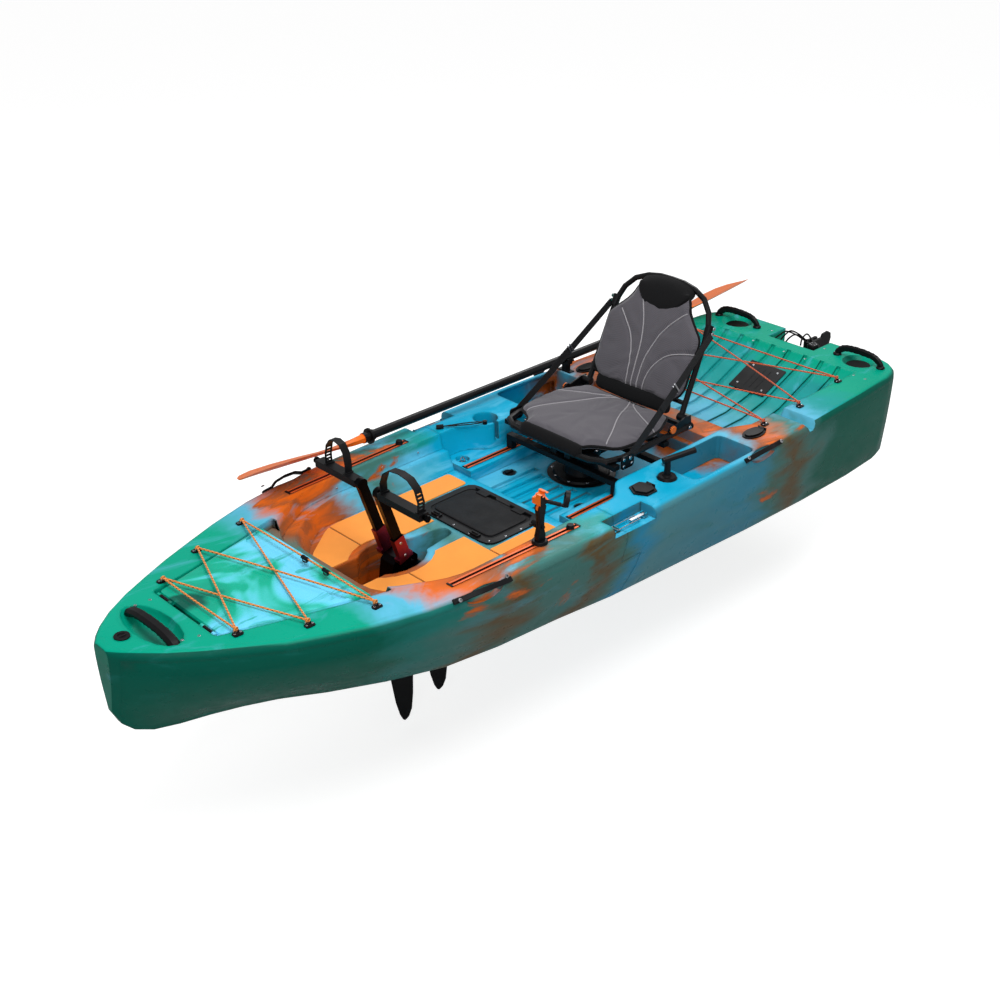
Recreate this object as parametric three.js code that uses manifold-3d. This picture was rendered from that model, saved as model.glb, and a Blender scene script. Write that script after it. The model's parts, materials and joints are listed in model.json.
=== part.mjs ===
// Fishing kayak in two joined modules, with a fin pedal drive, a swivel chair and a paddle.
// Millimetres: +X to the bow, +Y to port, +Z up, keel plane at z = 0, origin at mid length on the centreline.
import * as THREE from 'three';
import { mergeVertices } from 'three/addons/utils/BufferGeometryUtils.js';
import Module from 'manifold-3d';

const wasm = await Module();
wasm.setup();

// Hull
const HULL_LENGTH = 3090;
const HULL_BEAM = 976;
const HULL_DEPTH = 350;
const HALF_LENGTH = HULL_LENGTH / 2;
const HALF_BEAM = HULL_BEAM / 2;
const HULL_WALL = 4.2;
const GUNWALE_RADIUS = 22;
const JOINT_X = 65;
const JOINT_TONGUE = 85;
const JOINT_TONGUE_TOP = HULL_DEPTH * 0.58571;

// Clearances and cuts
const FIT_GAP = 0.3;
const SLIDE_GAP = 0.5;
const OVERRUN = 40;

// Front footwell
const FOOTWELL_FLOOR = HULL_DEPTH * 0.68571;
const FOOTWELL_LEDGE = HULL_DEPTH * 0.85714;
const FOOTWELL_FRONT = HALF_LENGTH * 0.54887;
const FOOTWELL_SHOULDER = HALF_LENGTH * 0.41424;
const FOOTWELL_HALF = HALF_BEAM * 0.72131;
const FOOTWELL_FRONT_HALF = HALF_BEAM * 0.4918;
const LEDGE_WIDTH = 28;
const WALL_BATTER = 14;
const FOOTWELL_CORNER = 70;

// Rear tub and tank well
const TUB_AFT = -HALF_LENGTH * 0.42071;
const TUB_HALF = HALF_BEAM * 0.57992;
const TUB_SHOULDER = -HALF_LENGTH * 0.06472;
const RAIL_LEDGE = HULL_DEPTH * 0.74857;
const CHANNEL_FLOOR = HULL_DEPTH * 0.63429;
const CHANNEL_HALF = HALF_BEAM * 0.41803;
const CHANNEL_AFT = -HALF_LENGTH * 0.39482;
const SILL_HEIGHT = HULL_DEPTH * 0.84571;
const TANK_FRONT = -HALF_LENGTH * 0.4822;
const TANK_AFT = -HALF_LENGTH * 0.88803;
const TANK_HALF = HALF_BEAM * 0.67623;
const TANK_FLOOR = HULL_DEPTH * 0.58571;
const TANK_RIB_WIDTH = 16;
const TANK_RIB_DEPTH = 7;
const TANK_RIB_PITCH = 74;
const TANK_RIBS = 8;
const FLOOR_GROOVE_WIDTH = 22;
const FLOOR_GROOVE_DEPTH = 8;
const FLOOR_GROOVE_PITCH = 48;
const FLOOR_GROOVES = 6;
const FLOOR_GROOVE_FRONT = 50;
const FLOOR_GROOVE_AFT = -125;

// Transom notch
const NOTCH_HALF = 104;
const NOTCH_FRONT = -HALF_LENGTH * 0.92686;
const NOTCH_FLOOR = HULL_DEPTH * 0.72857;

// Cup holder, side pockets and gunwale notch
const CUP_X = -HALF_LENGTH * 0.08479;
const CUP_RADIUS = 44;
const CUP_INSET = 11;
const CUP_Y = TUB_HALF + CUP_RADIUS + CUP_INSET;
const CUP_DEPTH = 85;
const CUP_SLOT = 18;
const CUP_SLOT_DEPTH = 62;
const POCKET_FRONT = -HALF_LENGTH * 0.1877;
const POCKET_AFT = -HALF_LENGTH * 0.38835;
const POCKET_INSET = 19;
const POCKET_INNER = TUB_HALF + POCKET_INSET;
const POCKET_OUTER = HALF_BEAM * 0.93443;
const POCKET_FLOOR = HULL_DEPTH * 0.76;
const POCKET_CORNER = 26;
const GUNWALE_NOTCH_X = -HALF_LENGTH * 0.58252;
const GUNWALE_NOTCH_WIDTH = 62;
const GUNWALE_NOTCH_DEPTH = 30;

// Pedal drive well
const WELL_FLOOR = HULL_DEPTH * 0.32;
const WELL_CENTRE_X = HALF_LENGTH * 0.3754;
const WELL_HALF_LENGTH = 118;
const WELL_HALF_WIDTH = 92;
const WELL_BAY_FRONT = HALF_LENGTH * 0.50227;
const WELL_BAY_HALF = 66;
const TROUGH_AFT = HALF_LENGTH * 0.2233;
const TROUGH_HALF = 58;
const TROUGH_TIP_HALF = 24;
const TROUGH_FLOOR_AFT = HALF_LENGTH * 0.2343;
const SLOT_AFT = HALF_LENGTH * 0.24984;
const SLOT_FRONT = HALF_LENGTH * 0.45825;
const SLOT_HALF = 30;

// Bow deck
const NOSE_HANDLE_X = HALF_LENGTH * 0.90227;
const NOSE_DISH_LENGTH = 250;
const NOSE_DISH_WIDTH = 118;
const NOSE_DISH_DEPTH = 42;
const NOSE_HANDLE_SPAN = 276;
const NOSE_HANDLE_RADIUS = 12;
const NOSE_HANDLE_RISE = 12;
const DRAIN_X = HALF_LENGTH * 0.95858;
const DRAIN_RADIUS = 13;
const DRAIN_FLANGE = 22;
const DRAIN_FLANGE_HEIGHT = 6;
const DRAIN_DEPTH = 26;

// Bow hatch
const HATCH_HINGE_X = HALF_LENGTH * 0.83495;
const HATCH_HINGE_RADIUS = 6;
const HATCH_HINGE_LENGTH = 40;
const HATCH_HINGE_Y = HALF_BEAM * 0.21311;
const HATCH_FRONT_HALF = HALF_BEAM * 0.29918;
const HATCH_REAR_X = HALF_LENGTH * 0.55793;
const HATCH_REAR_HALF = HALF_BEAM * 0.52869;
const HATCH_SEAT = HULL_DEPTH * 0.90857;
const HATCH_TOP_FRONT = HULL_DEPTH * 1.04;
const HATCH_TOP_REAR = HULL_DEPTH * 1.00571;
const HATCH_STEP_X = HALF_LENGTH * 0.61489;
const HATCH_STEP = 7;
const HATCH_WALL = 5;
const HATCH_EDGE = 12;
const HATCH_MARGIN = 7;
const HATCH_COAMING = 34;

// Centre hatch
const LID_AFT = HALF_LENGTH * 0.05955;
const LID_FRONT = HALF_LENGTH * 0.21618;
const LID_HALF = 168;
const LID_CORNER = 44;
const LID_FRAME_WIDTH = 24;
const LID_LIP = 10;
const LID_FRAME_HEIGHT = 12;
const LID_RECESS = 6;
const LID_THICKNESS = 7;
const LID_HINGE_RADIUS = 3;
const LID_HINGE_LENGTH = 46;
const LID_HINGE_Y = 80;
const LID_LATCH_LENGTH = 38;
const LID_LATCH_WIDTH = 16;
const LID_LATCH_HEIGHT = 6;
const LID_LATCH_Y = 88;

// Rails
const RAIL_WIDTH = 24;
const RAIL_HEIGHT = 10;
const RAIL_PROUD = 2;
const RAIL_SLOT = 9;
const RAIL_CHANNEL = 15;
const RAIL_LIP = 3;
const RAIL_BASE = 3;
const GEAR_RAIL_FRONT_X = HALF_LENGTH * 0.43819;
const GEAR_RAIL_FRONT_Y = HALF_BEAM * 0.7623;
const GEAR_RAIL_AFT_X = HALF_LENGTH * 0.12168;
const GEAR_RAIL_AFT_Y = HALF_BEAM * 0.79713;
const SEAT_RAIL_FRONT = 54;
const SEAT_RAIL_AFT = -HALF_LENGTH * 0.38835;
const SEAT_RAIL_Y = HALF_BEAM * 0.4877;
const RAIL_KNOB_X = HALF_LENGTH * 0.13851;
const RAIL_KNOB_RADIUS = 13;
const RAIL_KNOB_HEIGHT = 12;

// Pad-eyes and bungees
const PAD_LENGTH = 30;
const PAD_WIDTH = 20;
const PAD_HEIGHT = 4;
const BUNGEE_RADIUS = 3;
const CLIP_RADIUS = 7;
const CLIP_LENGTH = 34;
const CLIP_SPACING = 48;

// Handles
const SIDE_HANDLE_FRONT_X = HALF_LENGTH * 0.40647;
const SIDE_HANDLE_REAR_X = -HALF_LENGTH * 0.39871;
const SIDE_HANDLE_LENGTH = 200;
const SIDE_HANDLE_PAD = 30;
const SIDE_HANDLE_THICKNESS = 7;
const SIDE_HANDLE_BAR = 16;
const SIDE_HANDLE_RISE = 10;
const SIDE_RECESS_DEPTH = 26;
const STERN_HANDLE_X = -HALF_LENGTH * 0.95016;
const STERN_HANDLE_Y = HALF_BEAM * 0.57582;
const STERN_HANDLE_SPAN = 196;
const STERN_HANDLE_RISE = 34;
const STERN_HANDLE_RADIUS = 9;
const STERN_DISH_RADIUS = 62;
const STERN_DISH_DEPTH = 18;

// Joint hardware
const LATCH_FRONT = 118;
const LATCH_AFT = -62;
const LATCH_INNER = HALF_BEAM * 0.86885;
const LATCH_FLOOR = HULL_DEPTH * 0.90286;
const LATCH_Y = HALF_BEAM * 0.93238;
const LATCH_WIDTH = 20;
const LATCH_BASE_HEIGHT = 5;
const LATCH_PIVOT_X = -42;
const LATCH_PIVOT_RISE = 11;
const LATCH_LEVER_LENGTH = 62;
const LATCH_LEVER_HEIGHT = 5;
const LATCH_WIRE = 2;
const LATCH_KEEPER_X = 88;
const LATCH_KEEPER_LENGTH = 26;
const LATCH_HOOK_HEIGHT = 6;
const LATCH_HOOK_THICKNESS = 4;
const EYEBOLT_X = 20;
const EYEBOLT_INSET = 8;
const EYEBOLT_Y = TUB_HALF + EYEBOLT_INSET;
const EYEBOLT_RECESS = 24;
const EYEBOLT_RECESS_DEPTH = 12;

// Scupper plugs
const SCUPPER_X = -78;
const SCUPPER_Y = HALF_BEAM * 0.34016;
const SCUPPER_RADIUS = 15;
const SCUPPER_RECESS = 26;
const SCUPPER_RECESS_DEPTH = 6;
const PLUG_HEIGHT = 9;
const PLUG_LENGTH = 40;

// Flush rod holders
const HOLDER_X = -HALF_LENGTH * 0.44725;
const HOLDER_Y = HALF_BEAM * 0.78074;
const HOLDER_HOLE = 24;
const HOLDER_WALL = 3;
const HOLDER_DEPTH = 150;
const HOLDER_FLANGE_LENGTH = 104;
const HOLDER_FLANGE_WIDTH = 60;
const HOLDER_FLANGE_HEIGHT = 5;
const CAP_HEIGHT = 5;
const CAP_MARGIN = 8;
const CAP_HINGE_RADIUS = 3;
const HEX_X = -HALF_LENGTH * 0.07961;
const HEX_Y = HALF_BEAM * 0.78074;
const HEX_FLANGE = 44;

// Paddle clip
const CLIP_X = -HALF_LENGTH * 0.40259;
const CLIP_WALL = 4;
const CLIP_WIDTH = 26;
const CLIP_FOOT = 60;
const CLIP_FOOT_HEIGHT = 4;

// Paddle
const PADDLE_Y = HALF_BEAM * 0.86475;
const PADDLE_RISE = 52;
const PADDLE_Z = HULL_DEPTH + PADDLE_RISE;
const SHAFT_RADIUS = 15;
const SHAFT_FRONT = HALF_LENGTH * 0.21359;
const SHAFT_AFT = -HALF_LENGTH * 0.78641;
const BLADE_LENGTH = 480;
const BLADE_WIDTH = 178;
const BLADE_THICKNESS = 7;
const BLADE_SCOOP = 22;
const BLADE_TILT = THREE.MathUtils.degToRad(26);
const DRIP_RING_RADIUS = 27;
const DRIP_RING_WIDTH = 7;
const DRIP_RING_INSET = 22;
const COLLAR_RADIUS = 18;
const COLLAR_LENGTH = 36;

// Cup holder loop
const LOOP_RADIUS = 2.2;
const LOOP_TOGGLE_RADIUS = 8;
const LOOP_TOGGLE_LENGTH = 24;
const LOOP_TOGGLE_X = 30;
const LOOP_TOGGLE_Y = HALF_BEAM * 0.76639;

// Swivel and seat frame
const SEAT_X = -257;
const SWIVEL_RADIUS = 116;
const SWIVEL_RECESS_DEPTH = 10;
const SWIVEL_PLATE = 9;
const SWIVEL_HUB_RADIUS = 62;
const SWIVEL_HUB_TOP_RADIUS = 40;
const SWIVEL_HUB_TOP = HULL_DEPTH * 0.84571;
const SWIVEL_TOP_PLATE = 8;
const SWIVEL_TOP_RADIUS = 64;
const SEAT_TUBE = 11;
const SEAT_FRAME_Z = HULL_DEPTH * 1.1;
const SEAT_BEAM_WIDTH = 26;
const SEAT_BEAM_HEIGHT = 16;
const SEAT_BEAM_FRONT = -160;
const SEAT_BEAM_AFT = -372;
const SEAT_STAND_TOP = HULL_DEPTH * 0.89714;
const SEAT_CRADLE_FRONT = -150;
const SEAT_CRADLE_AFT = -392;
const SEAT_FOOT = 24;
const SEAT_FRONT = -98;
const SEAT_AFT = -512;
const SEAT_HALF = 236;
const SEAT_FRONT_HALF = 128;
const SEAT_TAIL = -530;

// Seat back and cushions
const BACK_PIVOT_X = -512;
const BACK_PIVOT_RISE = 27;
const BACK_PIVOT_Z = SEAT_FRAME_Z + BACK_PIVOT_RISE;
const BACK_LEAN = THREE.MathUtils.degToRad(24);
const BACK_HEIGHT = 422;
const BACK_HALF = 208;
const BACK_TUBE = 10;
const BACK_BRACKET = 5;
const BACK_CAP_X = -430;
const BACK_CAP_RISE = 19;
const BACK_CAP_RADIUS = 14;
const BACK_CAP_HEIGHT = 7;
const CUSHION_THICKNESS = 20;
const CUSHION_CROWN = 14;
const CUSHION_CHANNEL = 4;
const CUSHION_CHANNEL_WIDTH = 16;
const CUSHION_FACET = 34;
const PANEL_THICKNESS = 14;
const PANEL_CROWN = 12;
const STRAP_WIDTH = 25;
const STRAP_THICKNESS = 2.4;
const STRAP_FOOT_X = -204;
const STRAP_UP_SHARE = 0.68;

// Pedal drive
const CRANK_X = HALF_LENGTH * 0.35728;
const CRANK_Z = HULL_DEPTH * 0.58571;
const CRANK_LEAN = THREE.MathUtils.degToRad(18.5);
const CRANK_LENGTH = 310;
const CRANK_WIDTH = 30;
const CRANK_THICKNESS = 18;
const CRANK_HUB_RADIUS = 30;
const CRANK_INNER = 32;
const DRIVE_SHAFT_RADIUS = 9;
const TOWER_HALF = 30;
const TOWER_LENGTH = 96;
const TOWER_RADIUS = 40;
const SPINE_HALF = 19;
const SPINE_BOTTOM = 24;
const DRIVE_FLANGE = 10;
const DRIVE_FLANGE_HALF = 46;
const DRUM_RADIUS = 24;
const DRUM_HALF = 44;
const DRUM_SPACING = 88;
const CLAMP_WALL = 4;
const CLAMP_BOTTOM = 44;
const CLAMP_TOP = 132;
const CLAMP_FLARE = 16;
const PEDAL_SPINDLE = 7;
const PEDAL_LENGTH = 186;
const PEDAL_DEPTH = 34;
const PEDAL_THICKNESS = 22;
const FOOT_STRAP_HEIGHT = 96;
const FOOT_STRAP_SPAN_PORT = 160;
const FOOT_STRAP_SPAN_STARBOARD = 92;
const FOOT_STRAP_WIDTH = 26;
const FOOT_STRAP_THICKNESS = 3;
const FOOT_STRAP_SLOTS = 5;
const FOOT_STRAP_SLOT_WIDTH = 14;
const FIN_AXIS_Z = 4;
const FIN_SHAFT_RADIUS = 6;
const FIN_HUB_RADIUS = 12;
const FIN_HUB_LENGTH = 46;
const FIN_FRONT_X = HALF_LENGTH * 0.39935;
const FIN_REAR_X = HALF_LENGTH * 0.30291;
const FIN_LENGTH = 392;
const FIN_REAR_SHARE = 0.885;
const FIN_CHORD = 100;
const FIN_THICKNESS = 9;

// Steering and rudder
const TILLER_X = -HALF_LENGTH * 0.15405;
const TILLER_Y = HALF_BEAM * 0.78074;
const TILLER_BASE_RADIUS = 34;
const TILLER_BASE_HEIGHT = 14;
const TILLER_STEM_RADIUS = 9;
const TILLER_HEIGHT = 66;
const TILLER_HANDLE_RADIUS = 10;
const TILLER_HANDLE_LENGTH = 96;
const TILLER_ANGLE = THREE.MathUtils.degToRad(157);
const RUDDER_STANDOFF = 17;
const RUDDER_X = -HALF_LENGTH - RUDDER_STANDOFF;
const RUDDER_FLIP_SETBACK = 44;
const RUDDER_FLIP_X = RUDDER_X - RUDDER_FLIP_SETBACK;
const RUDDER_BRACKET_HEIGHT = 10;
const RUDDER_PIN_RADIUS = 6;
const RUDDER_BRACKET_HALF = 46;
const RUDDER_HEAD_HEIGHT = 56;
const RUDDER_HEAD_HALF = 17;
const RUDDER_BLADE_LENGTH = 100;
const RUDDER_BLADE_CHORD = 74;
const RUDDER_BLADE_THICKNESS = 8;

// Rod mount
const ROD_BASE_X = HALF_LENGTH * 0.21877;
const ROD_BASE_RADIUS = 25;
const ROD_BASE_HEIGHT = 9;
const ROD_POST_RADIUS = 13;
const ROD_POST_HEIGHT = 92;
const ROD_JOINT_RADIUS = 15;
const ROD_ARM_THICKNESS = 20;
const ROD_KNOB_RADIUS = 11;
const ROD_KNOB_LENGTH = 18;
const ROD_CRADLE_LENGTH = 96;
const ROD_RING_RADIUS = 21;
const ROD_RING_WALL = 4;
const ROD_RING_WIDTH = 13;
const ROD_CLAW_WIDTH = 34;
const ROD_CLAW_HEIGHT = 34;
const ROD_CLAW_THICKNESS = 6;

// Deck pads
const DECK_PAD = 4;
const PAD_MARGIN = 12;

// Facets
const ROUND_SIDES = 16;
const TUBE_SIDES = 8;
const CORNER_STEPS = 3;
const GUNWALE_STEPS = 3;

// Stations along the hull: place along the half length, then half width at the deck edge and at the bottom
// as shares of the half beam, then keel and deck height as shares of the depth.
const STATION_SHARES = [
  [-1.0, 0.7, 0.66, 0.16, 1.0],
  [-0.993, 0.775, 0.735, 0.1, 1.0],
  [-0.977, 0.84, 0.8, 0.045, 1.0],
  [-0.953, 0.885, 0.855, 0.012, 1.0],
  [-0.92, 0.905, 0.88, 0, 1.0],
  [-0.8, 0.935, 0.9, 0, 1.0],
  [-0.62, 0.96, 0.895, 0, 1.0],
  [-0.42, 0.985, 0.87, 0, 1.0],
  [-0.2, 0.998, 0.825, 0, 1.0],
  [0.0, 1.0, 0.785, 0, 1.0],
  [0.14, 0.985, 0.725, 0, 1.0],
  [0.29, 0.965, 0.68, 0, 1.0],
  [0.41, 0.935, 0.61, 0, 1.0],
  [0.52, 0.88, 0.47, 0, 1.0],
  [0.62, 0.79, 0.31, 0.005, 1.0],
  [0.7, 0.69, 0.17, 0.02, 1.01],
  [0.76, 0.61, 0.1, 0.045, 1.02],
  [0.82, 0.51, 0.06, 0.08, 1.04],
  [0.88, 0.405, 0.045, 0.125, 1.06],
  [0.93, 0.3, 0.035, 0.18, 1.075],
  [0.965, 0.205, 0.028, 0.26, 1.085],
  [0.986, 0.135, 0.024, 0.36, 1.085],
  [1.0, 0.07, 0.022, 0.5, 1.08],
];

// Half section from the keel up to the gunwale: share of the bottom half width, share of the flare, share
// of the height.
const SECTION_SHARES = [
  [0.3, 0, 0],
  [0.86, 0, 0],
  [0.97, 0.01, 0.025],
  [1, 0.08, 0.09],
  [1, 0.36, 0.26],
  [1, 0.66, 0.47],
  [1, 0.87, 0.68],
  [1, 0.98, 0.86],
];

// Seat outlines as shares, with corner radii in millimetres
const CUSHION_SHARES = [[0, 0.56, 8], [0.09, 0.64, 30], [0.2, 0.98, 30], [0.4, 1.03, 30], [0.72, 1.03, 40],
  [1, 0.8, 20]];
const CUSHION_FAN_SHARES = [[0, 0.5], [0.05, 0.12], [0.05, -0.25], [0.4, -0.9], [0.4, 0.9]];
const BACK_HOOP_SHARES = [[1, -0.01], [0.99, 0.28], [0.975, 0.55], [0.96, 0.72], [0.8, 0.89], [0.45, 0.98],
  [0, 1]];
const PANEL_SHARES = [[0.78, 0.05, 16], [1.02, 0.16, 30], [1.02, 0.62, 20], [0.66, 0.8, 36], [0.54, 0.95,
  30]];
const PANEL_FAN_SHARES = [[0.45, 0.86], [0.08, 0.86], [-0.4, 0.86], [0.9, 0.52], [-0.9, 0.52]];

// Rudder blade outline as shares of its length and chord
const RUDDER_SHARES = [[0, 0.16], [0.3, 0.18], [0.4, 0.46], [0.75, 0.5], [0.95, 0.34], [1, 0.05], [0.92,
  -0.3],
  [0.6, -0.46], [0.4, -0.46], [0.3, -0.18], [0, -0.16]];

const COLOURS = {
  hull: [0x149a86, 0.42, 0],
  hullRear: [0x2aa9d2, 0.42, 0],
  pad: [0xffa040, 0.9, 0],
  rail: [0xe8622a, 0.45, 0.5],
  black: [0x17181b, 0.6, 0],
  gloss: [0x1c1d21, 0.35, 0],
  charcoal: [0x2e2d33, 0.55, 0],
  steel: [0xc8ccd0, 0.28, 0.9],
  darkMetal: [0x2a2423, 0.35, 0.7],
  maroon: [0xa8384c, 0.4, 0.6],
  bungee: [0xf0883c, 0.7, 0],
  orange: [0xe8641a, 0.45, 0],
  mesh: [0x6b6870, 0.9, 0],
  webbing: [0x141416, 0.85, 0],
};

const kayak = new THREE.Group();

// Solids and meshes
function signedVolume(positions, faces) {
  const [a, b, c] = [new THREE.Vector3(), new THREE.Vector3(), new THREE.Vector3()];
  let sum = 0;
  for (let i = 0; i < faces.length; i += 3) {
    a.fromArray(positions, faces[i] * 3);
    b.fromArray(positions, faces[i + 1] * 3);
    c.fromArray(positions, faces[i + 2] * 3);
    sum += a.dot(b.cross(c));
  }
  return sum / 6;
}

function solid(geometry) {
  const bare = geometry.clone();
  bare.deleteAttribute('normal');
  bare.deleteAttribute('uv');
  const merged = mergeVertices(bare);
  const positions = Float32Array.from(merged.attributes.position.array);
  const faces = Uint32Array.from(merged.index.array);
  if (signedVolume(positions, faces) < 0) faces.reverse();
  return new wasm.Manifold(new wasm.Mesh({ numProp: 3, vertProperties: positions, triVerts: faces }));
}

function geometryOf(body) {
  const { vertProperties, triVerts } = body.getMesh();
  const geometry = new THREE.BufferGeometry();
  geometry.setAttribute('position', new THREE.BufferAttribute(Float32Array.from(vertProperties), 3));
  geometry.setIndex(new THREE.BufferAttribute(Uint32Array.from(triVerts), 1));
  geometry.computeVertexNormals();
  return geometry;
}

function join(parts) {
  return parts.reduce((whole, part) => whole.add(part));
}

function addPiece(name, parts, [color, roughness, metalness]) {
  const material = new THREE.MeshStandardMaterial({ color, roughness, metalness });
  const mesh = new THREE.Mesh(geometryOf(join([parts].flat())), material);
  mesh.name = name;
  kayak.add(mesh);
  return mesh;
}

// Building blocks
const point = (x, y, z) => new THREE.Vector3(x, y, z);
const both = (make) => [1, -1].map((side) => make(side));
const lerp = THREE.MathUtils.lerp;

function box(x0, x1, y0, y1, z0, z1) {
  const geometry = new THREE.BoxGeometry(x1 - x0, Math.abs(y1 - y0), z1 - z0);
  return solid(geometry.translate((x0 + x1) / 2, (y0 + y1) / 2, (z0 + z1) / 2));
}

function cone(x, y, z, bottomRadius, topRadius, height, sides = ROUND_SIDES) {
  const geometry = new THREE.CylinderGeometry(topRadius, bottomRadius, height, sides);
  return solid(geometry.rotateX(Math.PI / 2).translate(x, y, z + height / 2));
}

const post = (x, y, z, radius, height, sides) => cone(x, y, z, radius, radius, height, sides);

function rodBetween(start, end, radius, sides = TUBE_SIDES) {
  const along = end.clone().sub(start);
  const geometry = new THREE.CylinderGeometry(radius, radius, along.length(), sides);
  const turn = new THREE.Quaternion().setFromUnitVectors(point(0, 1, 0), along.clone().normalize());
  geometry.applyQuaternion(turn);
  const middle = start.clone().add(end).multiplyScalar(1 / 2);
  return solid(geometry.translate(middle.x, middle.y, middle.z));
}

function circleShape(radius, sides) {
  const shape = new THREE.Shape();
  for (let i = 0; i < sides; i += 1) {
    const angle = (i / sides) * 2 * Math.PI;
    const [x, y] = [radius * Math.cos(angle), radius * Math.sin(angle)];
    if (i === 0) shape.moveTo(x, y);
    else shape.lineTo(x, y);
  }
  return shape;
}

function tube(points, radius, steps, sides = TUBE_SIDES) {
  const path = new THREE.CatmullRomCurve3(points, false, 'centripetal');
  return solid(new THREE.ExtrudeGeometry(circleShape(radius, sides), { steps, extrudePath: path,
    bevelEnabled: false }));
}

function prism(outline, bottom, top) {
  const shape = new THREE.Shape(outline.map(([x, y]) => new THREE.Vector2(x, y)));
  const geometry = new THREE.ExtrudeGeometry(shape, { depth: top - bottom, bevelEnabled: false });
  return solid(geometry.translate(0, 0, bottom));
}

// An x-z outline run across the hull from -half to +half.
function crossPrism(outline, half, centreY = 0) {
  const shape = new THREE.Shape(outline.map(([x, z]) => new THREE.Vector2(x, z)));
  const geometry = new THREE.ExtrudeGeometry(shape, { depth: 2 * half, bevelEnabled: false });
  return solid(geometry.rotateX(Math.PI / 2).translate(0, centreY + half, 0));
}

function capFaces(ring, offset, outward) {
  const normal = point(0, 0, 0);
  ring.forEach((p, i) => normal.add(p.clone().cross(ring[(i + 1) % ring.length])));
  const size = [Math.abs(normal.x), Math.abs(normal.y), Math.abs(normal.z)];
  const drop = size.indexOf(Math.max(...size));
  const flat = ring.map((p) => new THREE.Vector2(...p.toArray().filter((value, axis) => axis !== drop)));
  const faces = [];
  for (const [a, b, c] of THREE.ShapeUtils.triangulateShape(flat, [])) {
    const turn = ring[b].clone().sub(ring[a]).cross(ring[c].clone().sub(ring[a]));
    const same = turn.dot(normal) > 0;
    faces.push(...(same === outward ? [a, b, c] : [a, c, b]).map((i) => i + offset));
  }
  return faces;
}

// Rings of the same count joined up; the ends are filled, by a fan from the middle where asked
function loft(rings, fan = false) {
  const count = rings[0].length;
  const ends = [rings[0], rings[rings.length - 1]];
  const middles = fan ? ends.map((ring) => ring.reduce((sum, p) => sum.add(p), point(0, 0,
    0)).divideScalar(count)) : [];
  const positions = [...rings.flat(), ...middles].flatMap((p) => p.toArray());
  const faces = [];
  if (fan) {
    const [first, last] = [rings.length * count, (rings.length - 1) * count];
    for (let j = 0; j < count; j += 1) {
      const next = (j + 1) % count;
      faces.push(first, next, j, first + 1, last + j, last + next);
    }
  } else {
    faces.push(...capFaces(ends[0], 0, false));
    faces.push(...capFaces(ends[1], (rings.length - 1) * count, true));
  }
  for (let i = 0; i + 1 < rings.length; i += 1) {
    for (let j = 0; j < count; j += 1) {
      const a = i * count + j;
      const b = i * count + ((j + 1) % count);
      faces.push(a, b, b + count, a, b + count, a + count);
    }
  }
  const geometry = new THREE.BufferGeometry();
  geometry.setAttribute('position', new THREE.BufferAttribute(new Float32Array(positions), 3));
  geometry.setIndex(faces);
  return solid(geometry);
}

// Corners given as [x, y, radius] become curved corners of the same number of points.
function rounded(corners, steps = CORNER_STEPS) {
  const outline = [];
  corners.forEach(([x, y, radius], i) => {
    const before = corners[(i + corners.length - 1) % corners.length];
    const after = corners[(i + 1) % corners.length];
    const reach = ([px, py]) => Math.min(radius / Math.hypot(px - x, py - y), 0.45);
    const [toBefore, toAfter] = [reach(before), reach(after)];
    const start = [lerp(x, before[0], toBefore), lerp(y, before[1], toBefore)];
    const end = [lerp(x, after[0], toAfter), lerp(y, after[1], toAfter)];
    const count = radius > 0 ? steps : 0;
    for (let k = 0; k <= count; k += 1) {
      const t = count ? k / count : 0;
      outline.push([0, 1].map((axis) => {
        const middle = axis === 0 ? x : y;
        return lerp(lerp(start[axis], middle, t), lerp(middle, end[axis], t), t);
      }));
    }
  });
  return outline;
}

const mirrored = (half) => [...half, ...[...half].reverse().map(([x, y, r]) => [x, -y, r])];
const rectangle = (x0, x1, y0, y1, r) => [[x0, y0, r], [x1, y0, r], [x1, y1, r], [x0, y1, r]];
const level = (outline, z) => outline.map(([x, y]) => point(x, y, typeof z === 'function' ? z(x, y) : z));

// Hull shape
const stations = STATION_SHARES.map(([x, deckHalf, bottomHalf, keel, deck]) => ({
  x: x * HALF_LENGTH,
  deckHalf: deckHalf * HALF_BEAM,
  bottomHalf: bottomHalf * HALF_BEAM,
  keel: keel * HULL_DEPTH,
  deck: deck * HULL_DEPTH,
}));

function stationAt(x) {
  const after = stations.findIndex((station) => station.x >= x);
  if (after <= 0) return { ...stations[after === 0 ? 0 : stations.length - 1], x };
  const [a, b] = [stations[after - 1], stations[after]];
  const t = (x - a.x) / (b.x - a.x);
  const blend = (key) => lerp(a[key], b[key], t);
  return { x, deckHalf: blend('deckHalf'), bottomHalf: blend('bottomHalf'), keel: blend('keel'),
    deck: blend('deck') };
}

const deckAt = (x) => stationAt(x).deck;
const halfAt = (x) => stationAt(x).deckHalf;

function hullRing(station, inset, coarse) {
  const deckHalf = station.deckHalf - inset;
  const bottomHalf = Math.max(station.bottomHalf - inset, deckHalf / 20);
  const keel = station.keel + inset;
  const deck = station.deck - inset;
  const half = SECTION_SHARES.filter((row, i) => !coarse || i % 2 === 1).map(([bottom, flare, height]) => {
    const y = bottomHalf * bottom + (deckHalf - bottomHalf) * flare;
    return [y, lerp(keel, deck - GUNWALE_RADIUS, height)];
  });
  const round = Math.min(GUNWALE_RADIUS, deckHalf / 2);
  const steps = coarse ? 1 : GUNWALE_STEPS;
  for (let k = 0; k <= steps; k += 1) {
    const angle = (k / steps) * (Math.PI / 2);
    half.push([deckHalf - round * (1 - Math.cos(angle)), deck - round * (1 - Math.sin(angle))]);
  }
  const outline = [[0, keel], ...half, [0, deck], ...half.reverse().map(([y, z]) => [-y, z])];
  return outline.map(([y, z]) => point(station.x, y, z));
}

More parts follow.
